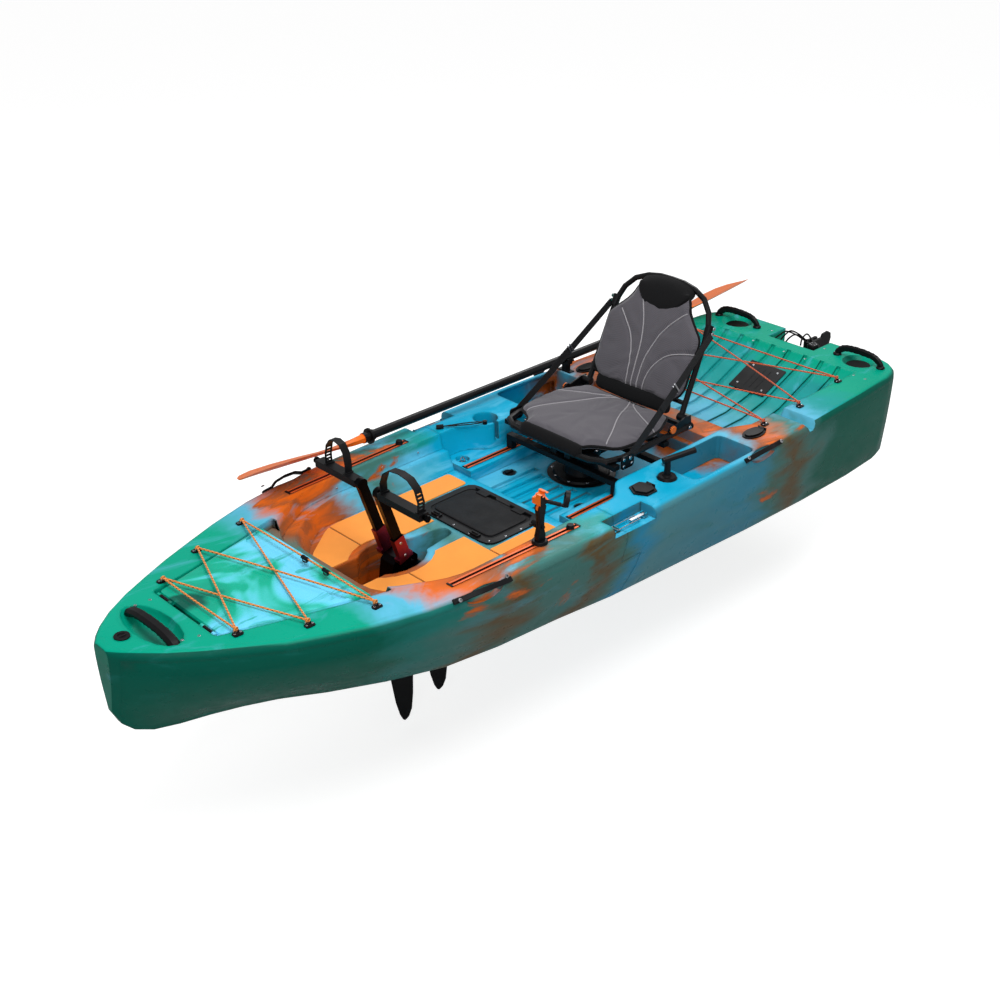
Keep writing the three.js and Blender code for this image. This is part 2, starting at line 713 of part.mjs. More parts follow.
function hullLoft(from, to, inset, coarse) {
  const inside = stations.filter(({ x }) => x > from && x < to);
  const all = [stationAt(from), ...inside, stationAt(to)];
  return loft(all.map((station) => hullRing(station, inset, coarse)));
}

// Wells, each grown by the wall when it shapes the inner skin
function footwell(grow, steps) {
  const back = JOINT_X - JOINT_TONGUE - OVERRUN;
  const outline = (inset) => rounded(mirrored([
    [back, FOOTWELL_HALF - inset + grow, 0],
    [FOOTWELL_SHOULDER, FOOTWELL_HALF - inset + grow, FOOTWELL_CORNER],
    [FOOTWELL_FRONT - inset + grow, FOOTWELL_FRONT_HALF - inset + grow, FOOTWELL_CORNER],
  ]), steps);
  const top = HULL_DEPTH + OVERRUN;
  return join([
    loft([level(outline(WALL_BATTER), FOOTWELL_LEDGE - grow), level(outline(0), HULL_DEPTH),
      level(outline(0), top)]),
    loft([
      level(outline(WALL_BATTER + LEDGE_WIDTH * 2), FOOTWELL_FLOOR - grow),
      level(outline(WALL_BATTER + LEDGE_WIDTH), FOOTWELL_LEDGE - grow),
      level(outline(WALL_BATTER + LEDGE_WIDTH), FOOTWELL_LEDGE + grow),
    ]),
  ]);
}

function hatchOutline(margin, frontX, rearX) {
  const slope = (HATCH_REAR_HALF - HATCH_FRONT_HALF) / (HATCH_HINGE_X - HATCH_REAR_X);
  const halfAtX = (x) => HATCH_FRONT_HALF + slope * (HATCH_HINGE_X - x) + margin;
  return mirrored([
    [rearX, halfAtX(rearX), HATCH_EDGE],
    [frontX, halfAtX(frontX), HATCH_EDGE],
  ]);
}

const hatchRecessFront = HATCH_HINGE_X + HATCH_HINGE_RADIUS + HATCH_MARGIN / 2;

function hatchRecess(grow, steps) {
  const outline = hatchOutline(HATCH_MARGIN + grow, hatchRecessFront + grow, FOOTWELL_FRONT - OVERRUN);
  return prism(rounded(outline, steps), HATCH_SEAT - grow, HULL_DEPTH + OVERRUN);
}

function ellipse(cx, cy, a, b, sides) {
  return Array.from({ length: sides }, (unused, i) => {
    const angle = (i / sides) * 2 * Math.PI;
    return [cx + a * Math.cos(angle), cy + b * Math.sin(angle)];
  });
}

function driveWell(grow, steps) {
  const sides = steps * 6;
  const top = FOOTWELL_FLOOR + OVERRUN;
  const bay = rounded(rectangle(WELL_CENTRE_X, WELL_BAY_FRONT + grow, -WELL_BAY_HALF - grow,
    WELL_BAY_HALF + grow,
    WELL_BAY_HALF / 2), steps);
  const trough = (tipX, tipHalf) => rounded(mirrored([
    [tipX - grow, tipHalf + grow, tipHalf],
    [WELL_CENTRE_X, TROUGH_HALF + grow, 0],
  ]), steps);
  const parts = [
    prism(ellipse(WELL_CENTRE_X, 0, WELL_HALF_LENGTH + grow, WELL_HALF_WIDTH + grow, sides),
      WELL_FLOOR - grow, top),
    prism(bay, WELL_FLOOR - grow, top),
    loft([
      level(trough(TROUGH_FLOOR_AFT, TROUGH_TIP_HALF), WELL_FLOOR - grow),
      level(trough(TROUGH_AFT, TROUGH_TIP_HALF), top),
    ]),
  ];
  if (grow === 0) parts.push(box(SLOT_AFT, SLOT_FRONT, -SLOT_HALF, SLOT_HALF, -OVERRUN,
    WELL_FLOOR + OVERRUN));
  else parts.push(box(SLOT_AFT - grow, SLOT_FRONT + grow, -SLOT_HALF - grow, SLOT_HALF + grow, -OVERRUN,
    WELL_FLOOR));
  return join(parts);
}

function ellipsoid(centre, a, b, c, sides) {
  const geometry = new THREE.SphereGeometry(1, sides, Math.round(sides / 2));
  return solid(geometry.scale(a, b, c).translate(centre.x, centre.y, centre.z));
}

function noseDish(inset) {
  const centre = point(NOSE_HANDLE_X, 0, deckAt(NOSE_HANDLE_X));
  return ellipsoid(centre, NOSE_DISH_WIDTH / 2 - inset, NOSE_DISH_LENGTH / 2 - inset, NOSE_DISH_DEPTH - inset,
    ROUND_SIDES);
}

function noseDishBlock(wall) {
  const outline = ellipse(NOSE_HANDLE_X, 0, NOSE_DISH_WIDTH / 2 + wall * 2, NOSE_DISH_LENGTH / 2 + wall * 2,
    10);
  return prism(outline, deckAt(NOSE_HANDLE_X) - NOSE_DISH_DEPTH - wall, HULL_DEPTH + OVERRUN);
}

function sideRecess(x) {
  return join(both((side) => ellipsoid(point(x, side * halfAt(x), HULL_DEPTH - GUNWALE_RADIUS / 2),
    SIDE_HANDLE_LENGTH / 2 - SIDE_HANDLE_PAD, SIDE_RECESS_DEPTH, SIDE_RECESS_DEPTH, 12)));
}

function sideRecessBlock(x, wall) {
  const half = SIDE_HANDLE_LENGTH / 2 - SIDE_HANDLE_PAD + wall;
  return join(both((side) => box(x - half, x + half, side * (halfAt(x) - SIDE_RECESS_DEPTH - wall),
    side * (HALF_BEAM + OVERRUN), HULL_DEPTH - GUNWALE_RADIUS / 2 - SIDE_RECESS_DEPTH - wall,
      HULL_DEPTH + OVERRUN)));
}

function latchPocket(grow) {
  return join(both((side) => box(LATCH_AFT - grow, LATCH_FRONT + grow, side * (LATCH_INNER - grow),
    side * (HALF_BEAM + OVERRUN), LATCH_FLOOR - grow, HULL_DEPTH + OVERRUN)));
}

const railAngle = Math.atan2(GEAR_RAIL_FRONT_Y - GEAR_RAIL_AFT_Y, GEAR_RAIL_FRONT_X - GEAR_RAIL_AFT_X);
const gearRailLength = Math.hypot(GEAR_RAIL_FRONT_Y - GEAR_RAIL_AFT_Y, GEAR_RAIL_FRONT_X - GEAR_RAIL_AFT_X);

// A bar of the given section, in (across, height), run forward from x = 0
function forwardBar(section, length) {
  const shape = new THREE.Shape(section.map(([y, z]) => new THREE.Vector2(y, z)));
  const geometry = new THREE.ExtrudeGeometry(shape, { depth: length, bevelEnabled: false });
  return geometry.rotateX(Math.PI / 2).rotateZ(Math.PI / 2);
}

function alongGearRail(section, extra, side) {
  const geometry = forwardBar(section, gearRailLength + 2 * extra).translate(-extra, 0,
    0).rotateZ(side * railAngle);
  return solid(geometry.translate(GEAR_RAIL_AFT_X, side * GEAR_RAIL_AFT_Y, HULL_DEPTH));
}

function slab(half, bottom, top) {
  return [[-half, bottom], [half, bottom], [half, top], [-half, top]];
}

const gearRailGroove = (grow) => join(both((side) => alongGearRail(
  slab(RAIL_WIDTH / 2 + FIT_GAP + grow, RAIL_PROUD - RAIL_HEIGHT - FIT_GAP - grow, OVERRUN), FIT_GAP + grow,
    side)));

function tubOutline(inset, grow, steps) {
  const front = JOINT_X + OVERRUN;
  const flareX = TUB_SHOULDER + FOOTWELL_CORNER;
  return rounded(mirrored([
    [front, FOOTWELL_HALF - inset + grow, 0],
    [flareX, FOOTWELL_HALF - inset + grow, FOOTWELL_CORNER / 2],
    [TUB_SHOULDER, TUB_HALF - inset / 2 + grow, FOOTWELL_CORNER / 3],
    [TUB_AFT + inset - grow, TUB_HALF - inset / 2 + grow, FOOTWELL_CORNER / 3],
  ]), steps);
}

function rearTub(grow, steps) {
  const top = HULL_DEPTH + OVERRUN;
  const front = JOINT_X + OVERRUN;
  const sill = rounded(mirrored([
    [TUB_AFT + OVERRUN, TUB_HALF + grow, 0],
    [TUB_AFT, TUB_HALF + grow, 0],
    [TANK_FRONT, TANK_HALF + grow, 0],
    [TANK_FRONT - OVERRUN, TANK_HALF + grow, 0],
  ]), steps);
  const channel = rounded(mirrored([
    [front, CHANNEL_HALF + grow, 0],
    [CHANNEL_AFT - grow, CHANNEL_HALF + grow, FOOTWELL_CORNER / 2],
  ]), steps);
  return join([
    loft([
      level(tubOutline(LEDGE_WIDTH / 2, grow, steps), RAIL_LEDGE - grow),
      level(tubOutline(WALL_BATTER / 2, grow, steps), FOOTWELL_LEDGE),
      level(tubOutline(0, grow, steps), HULL_DEPTH),
      level(tubOutline(0, grow, steps), top),
    ]),
    prism(sill, SILL_HEIGHT - grow, top),
    prism(channel, CHANNEL_FLOOR - grow, RAIL_LEDGE + grow),
  ]);
}

// Side profile of the tank well floor, rising aft to the stern deck
const TANK_PROFILE_SHARES = [
  [0, 0], [0.42, 0.02], [0.62, 0.2], [0.945, 0.79], [1, 1],
];

function tankProfile(drop) {
  const floor = TANK_PROFILE_SHARES.map(([along, rise]) => [
    lerp(TANK_FRONT, TANK_AFT, along), lerp(TANK_FLOOR, HULL_DEPTH, rise) - drop,
  ]);
  const top = HULL_DEPTH + OVERRUN;
  return [...floor, [TANK_AFT - 2 * drop, top], [TANK_FRONT, top]];
}

function tankWell(grow) {
  const profile = tankProfile(grow).map(([x, z]) => [x === TANK_FRONT ? x + grow : x, z]);
  return crossPrism(profile, TANK_HALF + grow);
}

function tankRibs() {
  const first = (-(TANK_RIBS - 1) / 2) * TANK_RIB_PITCH;
  return join(Array.from({ length: TANK_RIBS }, (unused, i) => (
    crossPrism(tankProfile(TANK_RIB_DEPTH), TANK_RIB_WIDTH / 2, first + i * TANK_RIB_PITCH)
  )));
}

function floorGrooves() {
  const first = (-(FLOOR_GROOVES - 1) / 2) * FLOOR_GROOVE_PITCH;
  return join(Array.from({ length: FLOOR_GROOVES }, (unused, i) => {
    const y = first + i * FLOOR_GROOVE_PITCH;
    const aft = FLOOR_GROOVE_AFT - Math.abs(y) / 3;
    return box(aft, FLOOR_GROOVE_FRONT, y - FLOOR_GROOVE_WIDTH / 2, y + FLOOR_GROOVE_WIDTH / 2,
      CHANNEL_FLOOR - FLOOR_GROOVE_DEPTH, CHANNEL_FLOOR + FLOOR_GROOVE_DEPTH);
  }));
}

function cupHolder(grow) {
  const parts = [post(CUP_X, -CUP_Y, HULL_DEPTH - CUP_DEPTH - grow, CUP_RADIUS + grow * 3 / 2,
    CUP_DEPTH + OVERRUN,
    grow === 0 ? 20 : 12)];
  if (grow === 0) {
    const inner = TUB_HALF - LEDGE_WIDTH;
    parts.push(box(CUP_X - CUP_SLOT / 2, CUP_X + CUP_SLOT / 2, -CUP_Y, -inner, HULL_DEPTH - CUP_SLOT_DEPTH,
      HULL_DEPTH + OVERRUN));
  }
  return join(parts);
}

function sidePockets(grow, steps) {
  return join(both((side) => prism(rounded(rectangle(POCKET_AFT - grow, POCKET_FRONT + grow,
    side * (POCKET_INNER - grow), side * (POCKET_OUTER + Math.min(grow, 0)), POCKET_CORNER), steps),
  POCKET_FLOOR - grow, HULL_DEPTH + OVERRUN)));
}

function gunwaleNotches() {
  const half = GUNWALE_NOTCH_WIDTH / 2;
  const profile = [
    [GUNWALE_NOTCH_X - half, HULL_DEPTH + OVERRUN], [GUNWALE_NOTCH_X - half, HULL_DEPTH],
    [GUNWALE_NOTCH_X - half / 3, HULL_DEPTH - GUNWALE_NOTCH_DEPTH],
    [GUNWALE_NOTCH_X + half / 3, HULL_DEPTH - GUNWALE_NOTCH_DEPTH],
    [GUNWALE_NOTCH_X + half, HULL_DEPTH], [GUNWALE_NOTCH_X + half, HULL_DEPTH + OVERRUN],
  ];
  return join(both((side) => crossPrism(profile, HALF_BEAM - TANK_HALF, side * (HALF_BEAM))));
}

function sternDishes() {
  return join(both((side) => cone(STERN_HANDLE_X, side * STERN_HANDLE_Y, HULL_DEPTH - STERN_DISH_DEPTH,
    STERN_DISH_RADIUS * 2 / 3, STERN_DISH_RADIUS, STERN_DISH_DEPTH + 1)));
}

function transomNotch(grow) {
  return box(-HULL_LENGTH, NOTCH_FRONT + grow, -NOTCH_HALF - grow, NOTCH_HALF + grow, NOTCH_FLOOR - grow,
    HULL_DEPTH + OVERRUN);
}

// Everything aft of the joint line, for cutting the front module, and the other way round
function aftOfJoint(gap) {
  return box(-HULL_LENGTH, JOINT_X + gap, -HULL_BEAM, HULL_BEAM, JOINT_TONGUE_TOP - gap, HULL_DEPTH * 2);
}

function foreOfJoint(gap) {
  const end = JOINT_X - JOINT_TONGUE - gap;
  return box(end, HULL_LENGTH, -HULL_BEAM, HULL_BEAM, -HULL_DEPTH, JOINT_TONGUE_TOP + gap);
}

function frontHull() {
  const wells = (grow, steps) => join([
    footwell(grow, steps), hatchRecess(grow, steps), driveWell(grow, steps), latchPocket(grow),
      gearRailGroove(grow),
    aftOfJoint(grow + FIT_GAP / 2),
  ]);
  const outer = hullLoft(JOINT_X - JOINT_TONGUE, HALF_LENGTH, 0, false);
  const inner = hullLoft(JOINT_X - JOINT_TONGUE + HULL_WALL, HALF_LENGTH - HULL_WALL * 5, HULL_WALL, true);
  const kept = [wells(HULL_WALL, 2), noseDishBlock(HULL_WALL), sideRecessBlock(SIDE_HANDLE_FRONT_X,
    HULL_WALL),
    lidPanSkin()];
  const cavity = inner.subtract(join(kept));
  const coaming = hatchOutline(-HATCH_COAMING, HATCH_HINGE_X - HATCH_COAMING, HATCH_REAR_X + HATCH_COAMING);
  const hatchHole = prism(rounded(coaming, 2), HATCH_SEAT - HULL_WALL * 2, HATCH_SEAT + OVERRUN);
  const lidInset = LID_FRAME_WIDTH - LID_LIP;
  const lidHole = prism(rounded(rectangle(LID_AFT + lidInset, LID_FRONT - lidInset, lidInset - LID_HALF,
    LID_HALF - lidInset, LID_CORNER), 2), FOOTWELL_FLOOR - HULL_WALL * 3, FOOTWELL_FLOOR + OVERRUN);
  const lidPan = prism(rounded(rectangle(LID_AFT - FIT_GAP, LID_FRONT + FIT_GAP, -LID_HALF - FIT_GAP,
    LID_HALF + FIT_GAP, LID_CORNER)), FOOTWELL_FLOOR - LID_RECESS, FOOTWELL_FLOOR + OVERRUN / 4);
  const drain = post(DRAIN_X, 0, HULL_DEPTH - OVERRUN, DRAIN_RADIUS, HULL_DEPTH, 16)
    .add(post(DRAIN_X, 0, drainSeat, DRAIN_FLANGE, OVERRUN, 16));
  const cut = [wells(0, CORNER_STEPS), cavity, noseDish(0), sideRecess(SIDE_HANDLE_FRONT_X), hatchHole,
    lidHole,
    lidPan, drain];
  return outer.subtract(join(cut)).add(join([...bowHatchHinges(), ...latchKeepers()]));
}

// Skin kept under the centre hatch recess, so that its floor has a full wall
function lidPanSkin() {
  return box(LID_AFT - OVERRUN / 4, LID_FRONT + OVERRUN / 4, -LID_HALF - OVERRUN / 4, LID_HALF + OVERRUN / 4,
    FOOTWELL_FLOOR - LID_RECESS - HULL_WALL, FOOTWELL_FLOOR);
}

function rearHull() {
  const scuppers = (grow, top) => join(both((side) => post(SCUPPER_X, side * SCUPPER_Y, -OVERRUN,
    SCUPPER_RADIUS + grow,
    OVERRUN + top, 12)));
  const wells = (grow, steps) => join([
    rearTub(grow, steps), tankWell(grow), cupHolder(grow), sidePockets(grow, steps), transomNotch(grow),
    latchPocket(grow), foreOfJoint(grow + FIT_GAP / 2),
    post(SEAT_X, 0, CHANNEL_FLOOR - SWIVEL_RECESS_DEPTH - grow, SWIVEL_RADIUS + SLIDE_GAP * 2 + grow,
      OVERRUN, 24),
  ]);
  const outer = hullLoft(-HALF_LENGTH, JOINT_X, 0, false);
  const inner = hullLoft(-HALF_LENGTH + HULL_WALL * 2, JOINT_X - HULL_WALL, HULL_WALL, true);
  const kept = [wells(HULL_WALL, 2), sideRecessBlock(SIDE_HANDLE_REAR_X, HULL_WALL), scuppers(HULL_WALL,
    HULL_DEPTH),
    rearSkin()];
  const cavity = inner.subtract(join(kept));
  const railGrooves = both((side) => box(SEAT_RAIL_AFT - FIT_GAP, SEAT_RAIL_FRONT + FIT_GAP,
    side * (SEAT_RAIL_Y - RAIL_WIDTH / 2 - FIT_GAP), side * (SEAT_RAIL_Y + RAIL_WIDTH / 2 + FIT_GAP),
    RAIL_LEDGE + RAIL_PROUD - RAIL_HEIGHT - FIT_GAP, RAIL_LEDGE + OVERRUN / 2));
  const eyeRecesses = both((side) => post(EYEBOLT_X, side * EYEBOLT_Y, RAIL_LEDGE - EYEBOLT_RECESS_DEPTH,
    EYEBOLT_RECESS, OVERRUN, 12));
  const plugRecesses = both((side) => post(SCUPPER_X, side * SCUPPER_Y, CHANNEL_FLOOR - SCUPPER_RECESS_DEPTH,
    SCUPPER_RECESS, OVERRUN, 12));
  const holders = both((side) => post(HOLDER_X, side * HOLDER_Y, HULL_DEPTH - HULL_DEPTH / 4,
    HOLDER_HOLE + FIT_GAP,
    HULL_DEPTH, 12));
  const plugBottom = CHANNEL_FLOOR - SCUPPER_RECESS_DEPTH - PLUG_LENGTH;
  const cut = [wells(0, CORNER_STEPS), cavity, sideRecess(SIDE_HANDLE_REAR_X), scuppers(0, plugBottom),
    tankRibs(),
    floorGrooves(), gunwaleNotches(), sternDishes(), ...railGrooves, ...eyeRecesses, ...plugRecesses,
      ...holders];
  const fittings = [...latchBases(), ...scupperPlugs(), ...tillerBase(), hexHolder()];
  return outer.subtract(join(cut)).add(join(fittings)).subtract(hexBore());
}

// Plastic kept behind the ribs, grooves, rails and dishes of the rear module, so that they have a full wall
function rearSkin() {
  const grooved = Math.max(TANK_RIB_DEPTH, FLOOR_GROOVE_DEPTH) + HULL_WALL;
  return join([
    crossPrism(tankProfile(grooved), TANK_HALF + HULL_WALL),
    box(FLOOR_GROOVE_AFT - SWIVEL_RADIUS, JOINT_X, -CHANNEL_HALF, CHANNEL_HALF, CHANNEL_FLOOR - grooved,
      CHANNEL_FLOOR),
    box(EYEBOLT_X - OVERRUN, JOINT_X, -TUB_HALF - OVERRUN, TUB_HALF + OVERRUN,
      RAIL_LEDGE - EYEBOLT_RECESS_DEPTH - HULL_WALL, RAIL_LEDGE),
    box(SEAT_RAIL_AFT - OVERRUN, JOINT_X, -TUB_HALF, TUB_HALF, RAIL_LEDGE - RAIL_HEIGHT - HULL_WALL,
      RAIL_LEDGE),
    box(-HALF_LENGTH, STERN_HANDLE_X + OVERRUN * 2, -HALF_BEAM, HALF_BEAM,
      HULL_DEPTH - STERN_DISH_DEPTH - HULL_WALL, HULL_DEPTH),
    box(GUNWALE_NOTCH_X - GUNWALE_NOTCH_WIDTH, GUNWALE_NOTCH_X + GUNWALE_NOTCH_WIDTH, -HALF_BEAM, HALF_BEAM,
      HULL_DEPTH - GUNWALE_NOTCH_DEPTH - HULL_WALL, HULL_DEPTH),
  ]);
}

// Deck fittings of the bow
function bowHandle() {
  const z = deckAt(NOSE_HANDLE_X);
  const half = NOSE_HANDLE_SPAN / 2;
  const spine = [[-1, -2], [-0.8, 0], [-0.4, 0.85], [0, 1], [0.4, 0.85], [0.8, 0], [1, -2]].map(([across,
    rise]) => (
    point(NOSE_HANDLE_X, across * half, z + rise * NOSE_HANDLE_RISE)));
  const above = box(NOSE_HANDLE_X - OVERRUN, NOSE_HANDLE_X + OVERRUN, -half, half, z + FIT_GAP, z + OVERRUN);
  const inDish = noseDish(FIT_GAP).intersect(box(NOSE_HANDLE_X - OVERRUN, NOSE_HANDLE_X + OVERRUN, -half,
    half,
    z - NOSE_DISH_DEPTH, z + OVERRUN));
  const inside = NOSE_DISH_LENGTH / 2 - NOSE_HANDLE_RADIUS / 2;
  const room = inDish.add(above.intersect(box(0, HALF_LENGTH, -inside, inside, z, z + OVERRUN)));
  return tube(spine, NOSE_HANDLE_RADIUS, 12).intersect(room);
}

const drainSeat = deckAt(DRAIN_X) - DRAIN_FLANGE_HEIGHT / 2;

function drainPlug() {
  const bottom = drainSeat + FIT_GAP;
  return [
    post(DRAIN_X, 0, bottom, DRAIN_FLANGE - SLIDE_GAP, DRAIN_FLANGE_HEIGHT, 16)
      .subtract(post(DRAIN_X, 0, bottom + DRAIN_FLANGE_HEIGHT / 2, DRAIN_RADIUS, DRAIN_FLANGE_HEIGHT, 12)),
    post(DRAIN_X, 0, bottom - DRAIN_DEPTH, DRAIN_RADIUS - SLIDE_GAP, DRAIN_DEPTH, 12),
    box(DRAIN_X - DRAIN_RADIUS, DRAIN_X + DRAIN_RADIUS, -DRAIN_FLANGE_HEIGHT / 2, DRAIN_FLANGE_HEIGHT / 2,
      bottom, bottom + DRAIN_FLANGE_HEIGHT),
  ];
}

const hatchHingeZ = deckAt(HATCH_HINGE_X) - HATCH_HINGE_RADIUS - FIT_GAP * 4;
const hatchTop = (x) => THREE.MathUtils.mapLinear(x, HATCH_HINGE_X, HATCH_REAR_X, HATCH_TOP_FRONT,
  HATCH_TOP_REAR);
const across = (x, y, z, radius, length, sides = 10) => (
  rodBetween(point(x, y - length / 2, z), point(x, y + length / 2, z), radius, sides));

function bowHatchHinges() {
  const half = HATCH_HINGE_LENGTH / 2;
  return both((side) => join([
    across(HATCH_HINGE_X, side * HATCH_HINGE_Y, hatchHingeZ, HATCH_HINGE_RADIUS, HATCH_HINGE_LENGTH),
    box(HATCH_HINGE_X, hatchRecessFront + HULL_WALL, side * HATCH_HINGE_Y - half, side * HATCH_HINGE_Y + half,
      hatchHingeZ - HATCH_HINGE_RADIUS * 2, hatchHingeZ + HATCH_HINGE_RADIUS / 2),
  ]));
}

function bowHatchCover() {
  const front = HATCH_HINGE_X - HATCH_HINGE_RADIUS - SLIDE_GAP;
  const bottom = HATCH_SEAT + FIT_GAP;
  const shell = (inset, lift, from = bottom) => {
    const outline = rounded(hatchOutline(-inset, front - inset, HATCH_REAR_X + inset), 3);
    return level(outline, (x) => (lift === null ? from : hatchTop(x) - lift));
  };
  const outer = loft([shell(0, null), shell(0, HATCH_EDGE * 3 / 4), shell(HATCH_EDGE / 3, HATCH_EDGE / 5),
    shell(HATCH_EDGE * 4 / 3, 0)]);
  const inner = loft([shell(HATCH_WALL, null, bottom - 1), shell(HATCH_WALL, HATCH_STEP + HATCH_WALL * 2)]);
  const panel = rounded(hatchOutline(-HATCH_EDGE, HATCH_STEP_X, HATCH_REAR_X - OVERRUN), 1);
  const step = loft([level(panel, (x) => hatchTop(x) - HATCH_STEP), level(panel,
    (x) => hatchTop(x) + HATCH_STEP)]);
  const knuckle = HATCH_HINGE_LENGTH / 3;
  const parts = both((side) => join(both((end) => {
    const y = side * HATCH_HINGE_Y + end * (HATCH_HINGE_LENGTH / 2 + SLIDE_GAP + knuckle / 2);
    const arm = box(front - HATCH_EDGE * 2, HATCH_HINGE_X, y - knuckle / 2, y + knuckle / 2,
      hatchHingeZ - HATCH_HINGE_RADIUS, hatchHingeZ - HATCH_HINGE_RADIUS / 2);
    return across(HATCH_HINGE_X, y, hatchHingeZ, HATCH_HINGE_RADIUS, knuckle).add(arm);
  })));
  return join([outer.subtract(inner).subtract(step), ...parts]);
}

// Pad-eyes: place along the hull and across it, bow first
const PAD_EYE_SHARES = [
  [0.809, 0.369], [0.701, 0.545], [0.579, 0.648], [-0.5, 0.748], [-0.634, 0.744], [-0.812, 0.684],
];
const padEyes = PAD_EYE_SHARES.map(([x, y]) => [x * HALF_LENGTH, y * HALF_BEAM]);

const bungeeLift = PAD_HEIGHT * 3 + BUNGEE_RADIUS;

function hookAt(index, side) {
  const [x, y] = padEyes[index];
  return point(x, side * (y - PAD_WIDTH / 2 + BUNGEE_RADIUS), deckAt(x) + bungeeLift);
}

// A screwed tab, and the bungee's turn that comes up from it
function padEye(index, side) {
  const [x, y] = padEyes[index];
  const z = deckAt(x + PAD_LENGTH / 2) + FIT_GAP;
  const tab = box(x - PAD_LENGTH / 2, x + PAD_LENGTH / 2, side * y - PAD_WIDTH / 2, side * y + PAD_WIDTH / 2,
    z, z + PAD_HEIGHT);
  const hook = hookAt(index, side);
  return tab.add(rodBetween(point(hook.x, hook.y, z + PAD_HEIGHT / 2), hook, BUNGEE_RADIUS, 5));
}

const padEyeRow = (indices) => indices.flatMap((index) => both((side) => padEye(index, side)));

// Bungees: each run joins two pad-eyes, by their number in the list above and their side (+ port, - starboard)
const BOW_RUNS = ['0- 0+', '1- 0+', '0- 1+', '1- 2+', '2- 1+', '2- 2+'];
const STERN_RUNS = ['3- 4+', '4+ 5-', '5- 5+', '5+ 4-', '4- 3+', '3+ 3-'];

const hookNamed = (name) => hookAt(Number(name.slice(0, 1)), name.endsWith('+') ? 1 : -1);

function runBetween(run) {
  const [from, to] = run.split(' ').map(hookNamed);
  return rodBetween(from, to, BUNGEE_RADIUS, 5);
}

function bowBungee() {
  const rear = hookAt(2, 1);
  const clips = [0, CLIP_SPACING * 2].map((y) => (
    across(rear.x, y, rear.z, CLIP_RADIUS, CLIP_LENGTH, 6)));
  return [...BOW_RUNS.map(runBetween), ...clips, ...padEyeRow([0, 1, 2])];
}

const sternBungee = () => [...STERN_RUNS.map(runBetween), ...padEyeRow([3, 4, 5])];

// Rails: a flat bar with a T slot
function railSection() {
  const [half, slot, channel] = [RAIL_WIDTH / 2, RAIL_SLOT / 2, RAIL_CHANNEL / 2];
  const bottom = RAIL_PROUD - RAIL_HEIGHT;
  const lip = RAIL_PROUD - RAIL_LIP;
  const floor = bottom + RAIL_BASE;
  return [[-half, bottom], [half, bottom], [half, RAIL_PROUD], [slot, RAIL_PROUD], [slot, lip], [channel,
    lip],
    [channel, floor], [-channel, floor], [-channel, lip], [-slot, lip], [-slot, RAIL_PROUD], [-half,
      RAIL_PROUD]];
}

const gearRail = (side) => alongGearRail(railSection(), 0, side);

function seatRail(side) {
  const bar = forwardBar(railSection(), SEAT_RAIL_FRONT - SEAT_RAIL_AFT);
  return solid(bar.translate(SEAT_RAIL_AFT, side * SEAT_RAIL_Y, RAIL_LEDGE));
}

const railY = (x) => THREE.MathUtils.mapLinear(x, GEAR_RAIL_AFT_X, GEAR_RAIL_FRONT_X, GEAR_RAIL_AFT_Y,
  GEAR_RAIL_FRONT_Y);
const railTop = HULL_DEPTH + RAIL_PROUD;
const nutTop = railTop - RAIL_LIP - SLIDE_GAP;
const nutBottom = railTop - RAIL_HEIGHT + RAIL_BASE + SLIDE_GAP;

function railKnob(side) {
  const y = side * railY(RAIL_KNOB_X);
  const base = railTop + FIT_GAP;
  return [
    cone(RAIL_KNOB_X, y, base, RAIL_KNOB_RADIUS, RAIL_KNOB_RADIUS * 4 / 5, RAIL_KNOB_HEIGHT, 12),
    post(RAIL_KNOB_X, y, nutBottom, RAIL_SLOT / 2 - SLIDE_GAP, base - nutBottom + 1, 10),
    post(RAIL_KNOB_X, y, nutBottom, RAIL_CHANNEL / 2 - SLIDE_GAP, nutTop - nutBottom, 12),
  ];
}

// Rod mount on the port rail
const rodY = railY(ROD_BASE_X);
const rodBaseTop = railTop + FIT_GAP + ROD_BASE_HEIGHT;
const rodTiltZ = rodBaseTop + FIT_GAP + ROD_POST_HEIGHT + ROD_JOINT_RADIUS;
const rodKnobZ = rodBaseTop + ROD_POST_HEIGHT / 2;

function turnedWithRail(body) {
  const degrees = THREE.MathUtils.radToDeg(railAngle);
  return body.translate([-ROD_BASE_X, -rodY, 0]).rotate([0, 0, degrees]).translate([ROD_BASE_X, rodY, 0]);
}

function rodMountBase() {
  const nut = box(ROD_BASE_X - ROD_BASE_RADIUS, ROD_BASE_X + ROD_BASE_RADIUS,
    rodY - RAIL_CHANNEL / 2 + SLIDE_GAP,
    rodY + RAIL_CHANNEL / 2 - SLIDE_GAP, nutBottom, nutTop);
  const neck = box(ROD_BASE_X - ROD_BASE_RADIUS / 2, ROD_BASE_X + ROD_BASE_RADIUS / 2,
    rodY - RAIL_SLOT / 2 + SLIDE_GAP,
    rodY + RAIL_SLOT / 2 - SLIDE_GAP, nutBottom, railTop + 1);
  const disc = cone(ROD_BASE_X, rodY, railTop + FIT_GAP, ROD_BASE_RADIUS, ROD_BASE_RADIUS * 9 / 10,
    ROD_BASE_HEIGHT);
  return [turnedWithRail(nut.add(neck)), disc];
}

